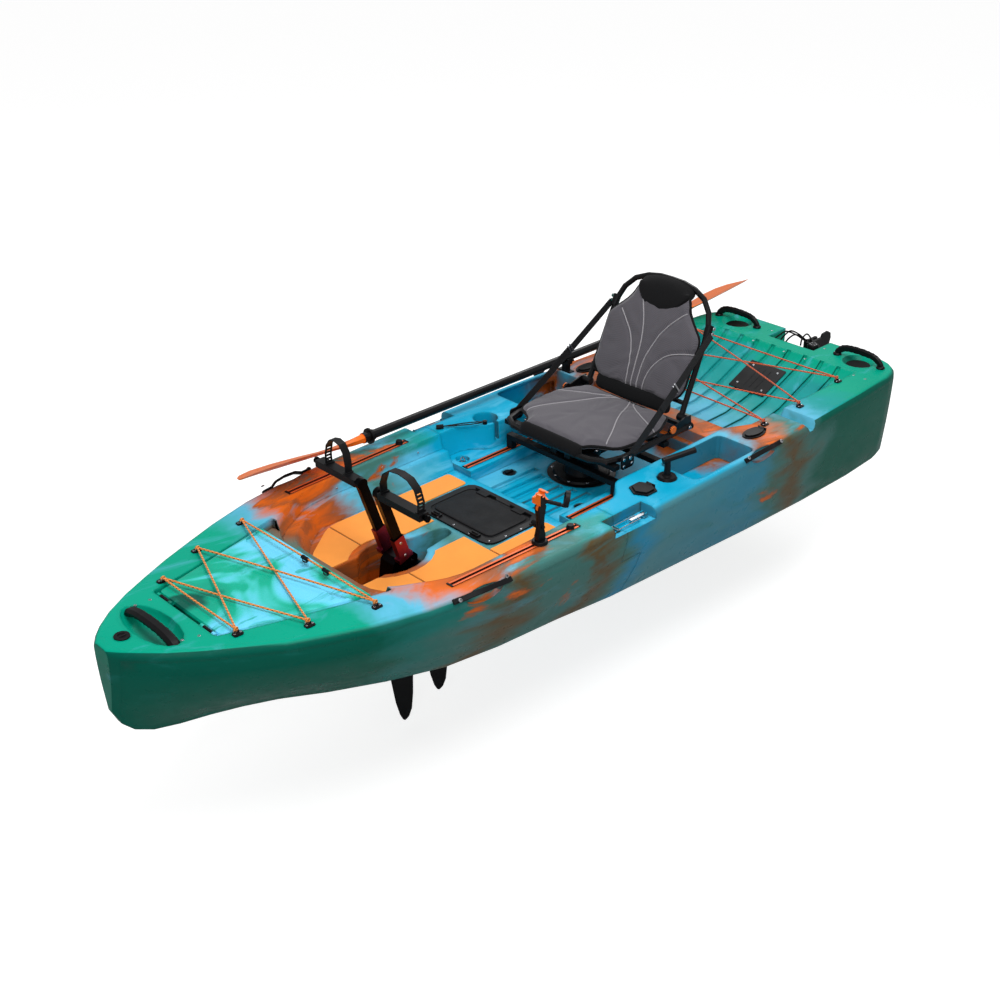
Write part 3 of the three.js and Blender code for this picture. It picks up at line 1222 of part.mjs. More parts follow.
function rodMountArm() {
  const cheek = ROD_ARM_THICKNESS / 2;
  const waist = ROD_POST_RADIUS * 4 / 5;
  const profile = [[ROD_POST_RADIUS + 2, 0], [ROD_POST_RADIUS + 3, 0.14], [waist, 0.34], [waist, 0.68],
    [ROD_JOINT_RADIUS, 0.9], [ROD_JOINT_RADIUS, 1.0]];
  const rings = profile.map(([half, along]) => level(
    rounded(rectangle(-half, half, -cheek, cheek, cheek / 2), 2).map(([x, y]) => [x + ROD_BASE_X, y + rodY]),
    rodBaseTop + FIT_GAP + along * (ROD_POST_HEIGHT + ROD_JOINT_RADIUS)));
  const tongue = across(ROD_BASE_X, rodY, rodTiltZ, ROD_JOINT_RADIUS + SLIDE_GAP * 2, ROD_ARM_THICKNESS / 2);
  const slit = box(ROD_BASE_X - ROD_BASE_RADIUS, ROD_BASE_X + ROD_BASE_RADIUS, rodY - 1, rodY + 1,
    rodBaseTop + ROD_POST_HEIGHT / 5, rodTiltZ);
  const ears = across(ROD_BASE_X, rodY, rodTiltZ, ROD_JOINT_RADIUS, ROD_ARM_THICKNESS);
  const bolt = rodBetween(point(ROD_BASE_X, rodY + cheek - 1, rodKnobZ),
    point(ROD_BASE_X, rodY + cheek + ROD_KNOB_LENGTH / 3, rodKnobZ), ROD_KNOB_RADIUS / 2, 6);
  return loft(rings).add(ears).subtract(tongue).subtract(slit).add(bolt);
}

function rodMountKnob() {
  const face = rodY - ROD_ARM_THICKNESS / 2 - FIT_GAP;
  const tip = rodBetween(point(ROD_BASE_X, face, rodKnobZ), point(ROD_BASE_X, face - ROD_KNOB_LENGTH,
    rodKnobZ),
    ROD_KNOB_RADIUS, 12);
  const wing = box(ROD_BASE_X - ROD_KNOB_RADIUS * 3 / 2, ROD_BASE_X + ROD_KNOB_RADIUS * 3 / 2,
    face - ROD_KNOB_LENGTH, face - ROD_KNOB_LENGTH / 2, rodKnobZ - 3, rodKnobZ + 3);
  return tip.add(wing);
}

function rodCradle() {
  const half = ROD_ARM_THICKNESS / 4 - SLIDE_GAP;
  const tongue = across(ROD_BASE_X, rodY, rodTiltZ, ROD_JOINT_RADIUS, half * 2);
  const blockBottom = rodTiltZ + ROD_JOINT_RADIUS + FIT_GAP;
  const neck = box(ROD_BASE_X - ROD_JOINT_RADIUS * 2 / 3, ROD_BASE_X + ROD_JOINT_RADIUS * 2 / 3, rodY - half,
    rodY + half, rodTiltZ, blockBottom + 1);
  const clawHalf = ROD_CLAW_WIDTH / 2;
  const claw = box(ROD_BASE_X - clawHalf, ROD_BASE_X + clawHalf, rodY - clawHalf, rodY + clawHalf,
    blockBottom,
    blockBottom + ROD_CLAW_HEIGHT);
  const aim = point(-1, 1, -1 / 4).normalize();
  const start = point(ROD_BASE_X, rodY, blockBottom + ROD_CLAW_HEIGHT * 3 / 4);
  const seat = rodBetween(start.clone().addScaledVector(aim, -OVERRUN * 2),
    start.clone().addScaledVector(aim, OVERRUN * 2),
    clawHalf * 2 / 3, 12);
  const mouth = box(ROD_BASE_X - clawHalf / 2, ROD_BASE_X + clawHalf / 2, rodY - OVERRUN, rodY + OVERRUN,
    blockBottom + ROD_CLAW_HEIGHT * 3 / 4, blockBottom + OVERRUN);
  const end = start.clone().addScaledVector(aim, ROD_CRADLE_LENGTH * 4 / 5);
  const low = point(0, 0, -ROD_RING_RADIUS - ROD_RING_WALL / 2);
  const beam = rodBetween(start.clone().addScaledVector(aim,
    clawHalf / 2).add(low.clone().multiplyScalar(3 / 4)),
    end.clone().add(low), ROD_CLAW_THICKNESS, 8);
  const hoop = rodBetween(end.clone().addScaledVector(aim, -ROD_RING_WIDTH / 2),
    end.clone().addScaledVector(aim, ROD_RING_WIDTH / 2), ROD_RING_RADIUS + ROD_RING_WALL, 14);
  const bore = rodBetween(end.clone().addScaledVector(aim, -ROD_RING_WIDTH),
    end.clone().addScaledVector(aim, ROD_RING_WIDTH), ROD_RING_RADIUS, 14);
  const held = claw.subtract(seat).subtract(mouth);
  return tongue.add(neck).add(held).add(beam).add(hoop).subtract(bore).subtract(seat);
}

// Handles: a place at 45 degrees over the gunwale, measured out from its middle facet
function alongGunwale(x, out) {
  const facet = GUNWALE_RADIUS * Math.cos(Math.PI / 4 / GUNWALE_STEPS);
  const side = Math.SQRT1_2 * (facet + out);
  return [halfAt(x) - GUNWALE_RADIUS + side, HULL_DEPTH - GUNWALE_RADIUS + side];
}

// A flat strip along given points, with its broad side facing the given direction
function strip(points, faces, width, thickness) {
  const rings = points.map((at, i) => {
    const along = points[Math.min(i + 1, points.length - 1)].clone().sub(points[Math.max(i - 1,
      0)]).normalize();
    const face = (Array.isArray(faces) ? faces[i] : faces).clone();
    face.addScaledVector(along, -face.dot(along)).normalize();
    const side = along.clone().cross(face);
    return [[1, 1], [-1, 1], [-1, -1], [1, -1]].map(([a, b]) => at.clone()
      .addScaledVector(side, (a * width) / 2).addScaledVector(face, (b * thickness) / 2));
  });
  return loft(rings);
}

// Side handle by share of its half length, and how far it stands off as a share of its rise
const SIDE_HANDLE_SHARES = [[-1, 0], [-0.62, 0], [-0.4, 1], [0, 1.25], [0.4, 1], [0.62, 0], [1, 0]];

function sideHandle(x, side) {
  const points = SIDE_HANDLE_SHARES.map(([along, off]) => {
    const at = x + (along * SIDE_HANDLE_LENGTH) / 2;
    const [y, z] = alongGunwale(at, FIT_GAP + SIDE_HANDLE_THICKNESS / 2 + off * SIDE_HANDLE_RISE);
    return point(at, side * y, z);
  });
  return strip(points, point(0, side, 1), SIDE_HANDLE_BAR, SIDE_HANDLE_THICKNESS);
}

// Stern handle by share of its half span: how far it stands up, and how far aft it slants
const STERN_HANDLE_SHARES = [[1, 0.1], [0.94, 0.45], [0.7, 0.85], [0.3, 1], [-0.3, 1], [-0.7, 0.85], [-0.94,
  0.45], [-1, 0.1]];

function sternHandle(side) {
  const foot = STERN_HANDLE_RADIUS * 3 / 2;
  const at = (along) => [STERN_HANDLE_X + along * STERN_HANDLE_RADIUS * 2,
    side * (STERN_HANDLE_Y + (along * STERN_HANDLE_SPAN) / 2)];
  const spine = STERN_HANDLE_SHARES.map(([along, rise]) => {
    const [x, y] = at(along);
    return point(x, y, HULL_DEPTH + STERN_HANDLE_RADIUS + rise * STERN_HANDLE_RISE);
  });
  const feet = [1, -1].map((end) => {
    const [x, y] = at(end);
    return post(x, y, HULL_DEPTH + FIT_GAP, foot, STERN_HANDLE_RADIUS * 2, 10);
  });
  const lowest = box(-HULL_LENGTH, 0, -HULL_BEAM, HULL_BEAM, 0, HULL_DEPTH + FIT_GAP);
  return join([tube(spine, STERN_HANDLE_RADIUS, 10, 6), ...feet]).subtract(lowest);
}

// Hardware at the joint of the modules
const latchPivotZ = LATCH_FLOOR + LATCH_PIVOT_RISE;

function latchBases() {
  const sunk = LATCH_FLOOR - HULL_WALL / 2;
  return both((side) => {
    const base = box(LATCH_PIVOT_X - LATCH_WIDTH / 2, LATCH_PIVOT_X + LATCH_WIDTH / 2,
      side * (LATCH_Y - LATCH_WIDTH / 2), side * (LATCH_Y + LATCH_WIDTH / 2), sunk,
        LATCH_FLOOR + LATCH_BASE_HEIGHT);
    const lugs = both((end) => box(LATCH_PIVOT_X - LATCH_HOOK_HEIGHT, LATCH_PIVOT_X + LATCH_HOOK_HEIGHT,
      side * LATCH_Y + end * (LATCH_WIDTH / 2 - LATCH_HOOK_THICKNESS),
        side * LATCH_Y + end * (LATCH_WIDTH / 2), sunk,
      latchPivotZ + LATCH_HOOK_HEIGHT));
    return join([base, ...lugs]);
  });
}

function latchKeepers() {
  const sunk = LATCH_FLOOR - HULL_WALL / 2;
  return both((side) => {
    const [inner, outer] = [side * (LATCH_Y - LATCH_WIDTH / 2), side * (LATCH_Y + LATCH_WIDTH / 2)];
    const plate = box(LATCH_KEEPER_X - LATCH_KEEPER_LENGTH / 2, LATCH_KEEPER_X + LATCH_KEEPER_LENGTH / 2,
      inner, outer,
      sunk, LATCH_FLOOR + LATCH_BASE_HEIGHT);
    const hook = box(LATCH_KEEPER_X - LATCH_HOOK_THICKNESS, LATCH_KEEPER_X, inner, outer, sunk,
      latchPivotZ + LATCH_HOOK_HEIGHT);
    return plate.add(hook);
  });
}

function latchLever(side) {
  const y = side * LATCH_Y;
  const inside = LATCH_WIDTH / 2 - LATCH_HOOK_THICKNESS - SLIDE_GAP;
  const pin = across(LATCH_PIVOT_X, y, latchPivotZ, LATCH_HOOK_THICKNESS, inside * 2, 8);
  const lever = box(LATCH_PIVOT_X, LATCH_PIVOT_X + LATCH_LEVER_LENGTH, y - inside, y + inside,
    latchPivotZ - LATCH_LEVER_HEIGHT / 2, latchPivotZ + LATCH_LEVER_HEIGHT / 2);
  const reach = LATCH_WIDTH / 2 + LATCH_WIRE + SLIDE_GAP;
  const start = LATCH_PIVOT_X + LATCH_LEVER_LENGTH / 2;
  const end = LATCH_KEEPER_X + LATCH_WIRE + SLIDE_GAP;
  const at = (x, across) => point(x, y + across, latchPivotZ);
  const loop = both((edge) => rodBetween(at(start, edge * reach), at(end, edge * reach), LATCH_WIRE, 6));
  const bars = [start, end].map((x) => rodBetween(at(x, -reach - LATCH_WIRE / 2), at(x,
    reach + LATCH_WIRE / 2),
    LATCH_WIRE, 6));
  return [pin, lever, ...loop, ...bars];
}

// Centre hatch
const lidFloor = FOOTWELL_FLOOR - LID_RECESS + FIT_GAP;
const lidFrameTop = lidFloor + LID_FRAME_HEIGHT;
const lidHingeX = LID_AFT + LID_FRAME_WIDTH - LID_HINGE_RADIUS;
const lidHingeZ = lidFrameTop + LID_HINGE_RADIUS + FIT_GAP;
const lidOutline = (inset, steps) => rounded(rectangle(LID_AFT + inset, LID_FRONT - inset, inset - LID_HALF,
  LID_HALF - inset, LID_CORNER - inset / 2), steps);

function centreHatchFrame() {
  const rim = prism(lidOutline(0), lidFloor, lidFrameTop)
    .subtract(prism(lidOutline(LID_FRAME_WIDTH), lidFloor - 1, lidFrameTop + 1));
  const lip = prism(lidOutline(LID_FRAME_WIDTH - 1), lidFloor, lidFloor + LID_FRAME_HEIGHT / 4)
    .subtract(prism(lidOutline(LID_FRAME_WIDTH + LID_LIP), lidFloor - 1, lidFrameTop));
  const hinges = both((side) => join(both((end) => {
    const y = side * LID_HINGE_Y + end * (LID_HINGE_LENGTH * 3 / 4);
    const barrel = across(lidHingeX, y, lidHingeZ, LID_HINGE_RADIUS, LID_HINGE_LENGTH / 2, 8);
    return barrel.add(box(lidHingeX - LID_HINGE_RADIUS, lidHingeX + LID_HINGE_RADIUS / 2,
      y - LID_HINGE_LENGTH / 4,
      y + LID_HINGE_LENGTH / 4, lidFrameTop - 1, lidHingeZ));
  })));
  return [rim, lip, ...hinges];
}

function centreHatchLid() {
  const inset = LID_FRAME_WIDTH + SLIDE_GAP;
  const bottom = lidFloor + LID_FRAME_HEIGHT / 4 + FIT_GAP;
  const top = bottom + LID_THICKNESS;
  const plate = prism(lidOutline(inset), bottom, top);
  const raised = loft([level(lidOutline(inset + LID_LIP), top - 1),
    level(lidOutline(inset + LID_LIP), lidHingeZ - LID_HINGE_RADIUS / 2),
    level(lidOutline(inset + LID_LIP * 3 / 2), lidHingeZ)]);
  const hinges = both((side) => {
    const half = LID_HINGE_LENGTH / 2 - SLIDE_GAP;
    const y = side * LID_HINGE_Y;
    const barrel = across(lidHingeX, y, lidHingeZ, LID_HINGE_RADIUS, half * 2, 8);
    return barrel.add(box(lidHingeX, LID_AFT + inset + LID_LIP * 2, y - half, y + half,
      lidHingeZ - LID_HINGE_RADIUS / 3, lidHingeZ + LID_HINGE_RADIUS));
  });
  return [plate, raised, ...hinges];
}

function hatchLatch(side) {
  const aft = LID_FRONT - LID_FRAME_WIDTH + SLIDE_GAP * 3;
  const [y, base] = [side * LID_LATCH_Y, lidFrameTop + FIT_GAP];
  const half = LID_LATCH_LENGTH / 2;
  const grip = box(aft + LID_LATCH_WIDTH / 3, aft + LID_LATCH_WIDTH * 2 / 3, y - half * 2 / 3,
    y + half * 2 / 3, base,
    base + LID_LATCH_HEIGHT * 5 / 3);
  return box(aft, aft + LID_LATCH_WIDTH, y - half, y + half, base, base + LID_LATCH_HEIGHT).add(grip);
}

// Foam pads on the footwell floor, grooved where one pad ends and the next begins
function deckPad(side) {
  const bottom = FOOTWELL_FLOOR + FIT_GAP;
  const top = bottom + DECK_PAD;
  const edge = WALL_BATTER + LEDGE_WIDTH * 2 + PAD_MARGIN;
  const outer = FOOTWELL_HALF - edge;
  const seamX = LID_FRONT + PAD_MARGIN;
  const beside = prism(rounded(rectangle(LID_AFT + PAD_MARGIN, seamX + PAD_MARGIN * 2,
    side * (LID_HALF + PAD_MARGIN),
    side * outer, PAD_MARGIN), 2), bottom, top);
  const sheet = rounded(mirrored([
    [seamX, outer, 0],
    [FOOTWELL_SHOULDER - LEDGE_WIDTH, outer, PAD_MARGIN * 3],
    [FOOTWELL_FRONT - edge, FOOTWELL_FRONT_HALF - edge, PAD_MARGIN * 3],
  ]), 3);
  const lobe = ellipse(WELL_CENTRE_X, 0, WELL_HALF_LENGTH + PAD_MARGIN * 2,
    WELL_HALF_WIDTH + PAD_MARGIN * 2, 24);
  const otherSide = box(0, HALF_LENGTH, -side * HULL_BEAM, side * (TROUGH_HALF + PAD_MARGIN), 0, HULL_DEPTH);
  const groove = (x) => box(x - PAD_MARGIN / 4, x + PAD_MARGIN / 4, 0, side * HALF_BEAM,
    bottom + DECK_PAD / 3, top * 2);
  const seams = [groove(seamX), groove(WELL_CENTRE_X + WELL_HALF_LENGTH / 4)];
  return prism(sheet, bottom, top).subtract(join([prism(lobe, 0, HULL_DEPTH), otherSide])).add(beside)
    .subtract(join(seams));
}

// Scupper plugs in their recesses
function scupperPlugs() {
  const bottom = CHANNEL_FLOOR - SCUPPER_RECESS_DEPTH - HULL_WALL / 2;
  return both((side) => {
    const [x, y] = [SCUPPER_X, side * SCUPPER_Y];
    return join([
      post(x, y, bottom, SCUPPER_RECESS - PLUG_HEIGHT / 3, PLUG_HEIGHT / 2 + HULL_WALL / 2, 12),
      box(x - SCUPPER_RADIUS, x + SCUPPER_RADIUS, y - PLUG_HEIGHT / 2, y + PLUG_HEIGHT / 2, bottom,
        bottom + PLUG_HEIGHT * 3 / 2),
    ]);
  });
}

// Cup holder loop as hand-picked shares of the way from the slot to the toggle, with its sideways bow
const LOOP_SHARES = [[0, 0], [0.25, 1], [0.6, 0.8], [1, 0]];

function cupLoop() {
  const z = HULL_DEPTH + LOOP_TOGGLE_RADIUS + FIT_GAP;
  const start = point(CUP_X + CUP_SLOT * 2, -CUP_Y + CUP_SLOT * 2, z);
  const end = point(LOOP_TOGGLE_X, -LOOP_TOGGLE_Y, z);
  const spread = point(0, LOOP_TOGGLE_RADIUS, 0);
  const cords = both((side) => tube(LOOP_SHARES.map(([along, bow]) => (
    start.clone().lerp(end, along).addScaledVector(spread, side * bow))), LOOP_RADIUS, 6, 5));
  const reach = end.clone().sub(start).normalize().multiplyScalar(LOOP_TOGGLE_LENGTH);
  const toggle = rodBetween(end, end.clone().add(reach), LOOP_TOGGLE_RADIUS, 8);
  const anchor = post(start.x, start.y, HULL_DEPTH + FIT_GAP, LOOP_TOGGLE_RADIUS,
    LOOP_TOGGLE_RADIUS * 3 / 2, 10);
  return [...cords, toggle, anchor];
}

// Rod holders and their caps
const holderOutline = (x, y, margin) => ellipse(x, y, HOLDER_FLANGE_LENGTH / 2 - margin,
  HOLDER_FLANGE_WIDTH / 2 - margin,
  ROUND_SIDES);
const hexOutline = (margin) => ellipse(HEX_X, HEX_Y, HEX_FLANGE - margin, HEX_FLANGE - margin, 6);
const capBase = HULL_DEPTH + FIT_GAP * 2 + HOLDER_FLANGE_HEIGHT;
const capHingeZ = capBase + CAP_HINGE_RADIUS;

// Two hinge lugs on a flange, from the given base height
const capLugs = (hingeX, y, base) => both((end) => {
  const at = y + end * CAP_MARGIN * 3 / 2;
  return across(hingeX, at, capHingeZ, CAP_HINGE_RADIUS, CAP_MARGIN, 8).add(
    box(hingeX - CAP_HINGE_RADIUS, hingeX + CAP_HINGE_RADIUS, at - CAP_MARGIN / 2, at + CAP_MARGIN / 2,
      base, capHingeZ));
});

function rodHolder(side) {
  const [y, base] = [side * HOLDER_Y, HULL_DEPTH + FIT_GAP];
  const flange = prism(holderOutline(HOLDER_X, y, 0), base, base + HOLDER_FLANGE_HEIGHT);
  const sleeve = post(HOLDER_X, y, HULL_DEPTH - HOLDER_DEPTH / 2, HOLDER_HOLE - FIT_GAP,
    HOLDER_DEPTH / 2 + 1, 12);
  const bore = post(HOLDER_X, y, HULL_DEPTH - HOLDER_DEPTH, HOLDER_HOLE - HOLDER_WALL, HOLDER_DEPTH * 2, 12);
  return join([flange, sleeve]).subtract(bore).add(join(capLugs(holderHingeX, y, base)));
}

// Hexagonal flange to port, moulded with the deck, and its hole
function hexHolder() {
  const sunk = HULL_DEPTH - HULL_WALL / 2;
  const flange = prism(hexOutline(0), sunk, capBase - FIT_GAP);
  return join([flange, ...capLugs(hexHingeX, HEX_Y, sunk)]);
}

const hexBore = () => post(HEX_X, HEX_Y, HULL_DEPTH - HULL_DEPTH / 4, HOLDER_HOLE - HOLDER_WALL, HULL_DEPTH,
  12);

const holderHingeX = HOLDER_X - HOLDER_FLANGE_LENGTH / 2 + CAP_MARGIN;
const hexHingeX = HEX_X - HEX_FLANGE + CAP_MARGIN;

function holderCap(hingeX, y, outline) {
  const clear = hingeX + CAP_HINGE_RADIUS + SLIDE_GAP;
  const lid = prism(outline, capBase, capBase + CAP_HEIGHT)
    .subtract(box(hingeX - OVERRUN, clear, y - OVERRUN, y + OVERRUN, capBase - 1, capBase + CAP_HEIGHT + 1));
  const half = CAP_MARGIN - SLIDE_GAP;
  const knuckle = across(hingeX, y, capHingeZ, CAP_HINGE_RADIUS, half * 2, 8);
  const arm = box(hingeX, clear + CAP_MARGIN, y - half, y + half, capHingeZ, capHingeZ + CAP_HINGE_RADIUS);
  return [lid, knuckle, arm];
}

// Paddle and its clip
function paddleClip() {
  const base = HULL_DEPTH + FIT_GAP;
  const half = CLIP_WIDTH / 2;
  const foot = box(CLIP_X - half, CLIP_X + half, -PADDLE_Y - CLIP_FOOT / 2, CLIP_FOOT / 2 - PADDLE_Y, base,
    base + CLIP_FOOT_HEIGHT);
  const outer = SHAFT_RADIUS + SLIDE_GAP + CLIP_WALL;
  const jaw = box(CLIP_X - half, CLIP_X + half, -PADDLE_Y - outer, outer - PADDLE_Y, base, PADDLE_Z);
  const along = (radius) => rodBetween(point(CLIP_X - CLIP_WIDTH, -PADDLE_Y, PADDLE_Z),
    point(CLIP_X + CLIP_WIDTH, -PADDLE_Y, PADDLE_Z), radius, 16);
  const waist = both((side) => box(CLIP_X - CLIP_WIDTH, CLIP_X + CLIP_WIDTH, -PADDLE_Y + side * (outer / 2),
    -PADDLE_Y + side * CLIP_FOOT, base + CLIP_FOOT_HEIGHT, PADDLE_Z - SHAFT_RADIUS * 3 / 2));
  return foot.add(jaw.subtract(along(SHAFT_RADIUS + SLIDE_GAP)).subtract(join(waist)));
}

const onPaddle = (x) => point(x, -PADDLE_Y, PADDLE_Z);

function paddleShaft() {
  const collar = COLLAR_LENGTH + FIT_GAP;
  return rodBetween(onPaddle(SHAFT_AFT + collar), onPaddle(SHAFT_FRONT - collar), SHAFT_RADIUS, 12);
}

// Collar on the blade's root, which takes the shaft's end, with its drip ring
function bladeCollar(root, direction) {
  const ring = root - direction * DRIP_RING_INSET;
  return join([
    rodBetween(onPaddle(root - direction * COLLAR_LENGTH), onPaddle(root + direction * COLLAR_LENGTH / 4),
      COLLAR_RADIUS, 12),
    rodBetween(onPaddle(ring), onPaddle(ring + direction * DRIP_RING_WIDTH), DRIP_RING_RADIUS, 16),
  ]);
}

// Blade sections by share of the blade length: half width share, thickness share, rise share
const BLADE_SHARES = [
  [0, 0.17, 4, 0], [0.1, 0.18, 3.2, 0], [0.25, 0.46, 1.6, 0.1], [0.45, 0.86, 1, 0.3], [0.65, 1, 1, 0.6],
  [0.82, 0.94, 0.9, 0.85], [0.93, 0.68, 0.8, 0.97], [0.985, 0.34, 0.7, 1], [1, 0.12, 0.5, 1],
];

function paddleBlade(root, direction) {
  const rings = BLADE_SHARES.map(([along, wide, thick, rise]) => {
    const half = (BLADE_WIDTH / 2) * wide;
    const depth = (BLADE_THICKNESS / 2) * thick;
    const x = root + direction * (FIT_GAP + along * BLADE_LENGTH);
    const cup = BLADE_SCOOP * wide * Math.min(along * 2, 1) / 2;
    return [[-1, 0, 1], [-0.5, 1, 0.3], [0, 1.1, 0], [0.5, 1, 0.3], [1, 0, 1], [0.5, -1, 0.3], [0, -1.1, 0],
      [-0.5, -1, 0.3]]
      .map(([y, z, curl]) => {
        const flat = new THREE.Vector2(y * half, z * depth + curl * cup + rise * BLADE_SCOOP)
          .rotateAround(new THREE.Vector2(0, 0), BLADE_TILT);
        return point(x, flat.x - PADDLE_Y, flat.y + PADDLE_Z);
      });
  });
  return loft(rings).add(bladeCollar(root, direction));
}

// Seat stand, fixed: disc, pedestal and cross beam with its feet on the rails
const discFloor = CHANNEL_FLOOR - SWIVEL_RECESS_DEPTH + FIT_GAP;

function seatStand() {
  const disc = post(SEAT_X, 0, discFloor, SWIVEL_RADIUS, SWIVEL_PLATE, 32);
  const step = cone(SEAT_X, 0, discFloor + SWIVEL_PLATE - 1, SWIVEL_RADIUS * 5 / 6, SWIVEL_RADIUS * 4 / 5,
    SWIVEL_PLATE, 24);
  const pedestal = cone(SEAT_X, 0, discFloor + SWIVEL_PLATE, SWIVEL_HUB_RADIUS, SWIVEL_HUB_TOP_RADIUS,
    SWIVEL_HUB_TOP - discFloor - SWIVEL_PLATE, 24);
  const plate = post(SEAT_X, 0, SWIVEL_HUB_TOP - 1, SWIVEL_TOP_RADIUS, SEAT_STAND_TOP - SWIVEL_HUB_TOP + 1,
    24);
  const half = SEAT_BEAM_WIDTH / 2;
  const footHalf = SEAT_FOOT / 2;
  const railProud = RAIL_LEDGE + RAIL_PROUD + FIT_GAP;
  const beams = [SEAT_BEAM_FRONT, SEAT_BEAM_AFT].map((x) => box(x - half, x + half, -SEAT_RAIL_Y - footHalf,
    SEAT_RAIL_Y + footHalf, SWIVEL_HUB_TOP, SEAT_STAND_TOP));
  const feet = [SEAT_BEAM_FRONT, SEAT_BEAM_AFT].flatMap((x) => both((side) => box(x - footHalf, x + footHalf,
    side * SEAT_RAIL_Y - footHalf, side * SEAT_RAIL_Y + footHalf, railProud, SEAT_STAND_TOP)));
  const ties = both((side) => box(SEAT_BEAM_AFT, SEAT_BEAM_FRONT, side * SWIVEL_HUB_TOP_RADIUS - half,
    side * SWIVEL_HUB_TOP_RADIUS + half, SWIVEL_HUB_TOP, SEAT_STAND_TOP));
  return [disc, step, pedestal, plate, ...beams, ...feet, ...ties];
}

// Swivel plate and the cradle that carries the seat frame
const swivelBottom = SEAT_STAND_TOP + SLIDE_GAP;
const cradleTop = SEAT_FRAME_Z - SEAT_TUBE - FIT_GAP;

function seatSwivel() {
  const plate = post(SEAT_X, 0, swivelBottom, SWIVEL_TOP_RADIUS, SWIVEL_TOP_PLATE, 24);
  const half = SEAT_BEAM_WIDTH / 2;
  const rails = both((side) => box(SEAT_CRADLE_AFT, SEAT_CRADLE_FRONT, side * SWIVEL_HUB_RADIUS / 2 - half,
    side * SWIVEL_HUB_RADIUS / 2 + half, swivelBottom + SWIVEL_TOP_PLATE - 1,
      cradleTop - SEAT_BEAM_HEIGHT + 1));
  const bars = [SEAT_CRADLE_FRONT, SEAT_CRADLE_AFT].map((x) => box(x - half, x + half, -SEAT_HALF - half,
    SEAT_HALF + half,
    cradleTop - SEAT_BEAM_HEIGHT, cradleTop));
  return [plate, ...rails, ...bars];
}

function seatBaseFrame() {
  const z = SEAT_FRAME_Z;
  const corner = SEAT_HALF - SEAT_FRONT_HALF;
  const half = [[SEAT_TAIL, SEAT_HALF], [SEAT_TAIL / 2 + SEAT_FRONT / 2, SEAT_HALF],
    [SEAT_FRONT - corner * 4 / 5, SEAT_HALF],
    [SEAT_FRONT - corner / 3, SEAT_HALF - corner / 7], [SEAT_FRONT - corner / 14, SEAT_HALF - corner / 2],
    [SEAT_FRONT, SEAT_FRONT_HALF], [SEAT_FRONT, 0]];
  const spine = mirrored(half).filter(([x, y], i,
    all) => i === 0 || x !== all[i - 1][0] || y !== all[i - 1][1])
    .map(([x, y]) => point(x, y, z));
  const hoop = tube(spine, SEAT_TUBE, 22);
  const rear = rodBetween(point(SEAT_AFT, -SEAT_HALF, z), point(SEAT_AFT, SEAT_HALF, z), BACK_TUBE, 8);
  const brackets = both((side) => {
    const inner = side * (SEAT_HALF - BACK_BRACKET / 2);
    const outer = side * (SEAT_HALF + BACK_BRACKET / 2);
    const capZ = z + BACK_CAP_RISE;
    const ear = crossPrism([[BACK_PIVOT_X - OVERRUN / 2, z], [BACK_CAP_X + BACK_CAP_RADIUS, z],
      [BACK_CAP_X + BACK_CAP_RADIUS, capZ], [BACK_PIVOT_X + BACK_CAP_RADIUS, BACK_PIVOT_Z + BACK_CAP_RADIUS],
      [BACK_PIVOT_X - BACK_CAP_RADIUS, BACK_PIVOT_Z + BACK_CAP_RADIUS]], BACK_BRACKET / 2, side * SEAT_HALF);
    const cap = rodBetween(point(BACK_CAP_X, inner, capZ), point(BACK_CAP_X, outer + side * BACK_CAP_HEIGHT,
      capZ), BACK_CAP_RADIUS, 14);
    return ear.add(cap);
  });
  const anchors = both((side) => box(STRAP_FOOT_X - STRAP_WIDTH / 2, STRAP_FOOT_X + STRAP_WIDTH / 2,
    side * (SEAT_HALF + SEAT_TUBE / 2), side * (SEAT_HALF + SEAT_TUBE + STRAP_THICKNESS), z - SEAT_TUBE / 2,
    z + SEAT_TUBE / 2));
  return [hoop, rear, ...brackets, ...anchors];
}

// A padded form: outline in a plane, crowned top with stitched channels, drawn-in sides, flat underside
function pillow(outline, thickness, crown, channels, place) {
  const centre = outline.reduce(([sx, sy], [x, y]) => [sx + x / outline.length, sy + y / outline.length],
    [0, 0]);
  const dip = (x, y) => Math.max(0, ...channels.map((distance) => 1 - distance(x,
    y) / CUSHION_CHANNEL_WIDTH));
  const ring = (scale, height) => outline.map(([x, y]) => {
    const [px, py] = [lerp(centre[0], x, scale), lerp(centre[1], y, scale)];
    return place(px, py, typeof height === 'function' ? height(px, py) : height);
  });
  const top = (scale) => (x, y) => thickness + crown * (1 - scale ** 3) - CUSHION_CHANNEL * dip(x, y);
  const inner = [0.96, 0.86, 0.7, 0.5, 0.28, 0.08];
  return loft([ring(0.965, 0), ring(1, thickness * 0.5),
    ...inner.map((scale) => ring(scale, top(scale)))], true);
}

const lineDistance = ([ax, ay], [bx, by]) => (x, y) => {
  const [dx, dy] = [bx - ax, by - ay];
  const t = THREE.MathUtils.clamp(((x - ax) * dx + (y - ay) * dy) / (dx * dx + dy * dy), 0, 1);
  return Math.hypot(x - ax - t * dx, y - ay - t * dy);
};

// More outline points, so that the channels can be followed
function divided(outline, spacing) {
  return outline.flatMap(([x, y], i) => {
    const [nx, ny] = outline[(i + 1) % outline.length];
    const count = Math.max(1, Math.round(Math.hypot(nx - x, ny - y) / spacing));
    return Array.from({ length: count }, (unused, k) => [lerp(x, nx, k / count), lerp(y, ny, k / count)]);
  });
}

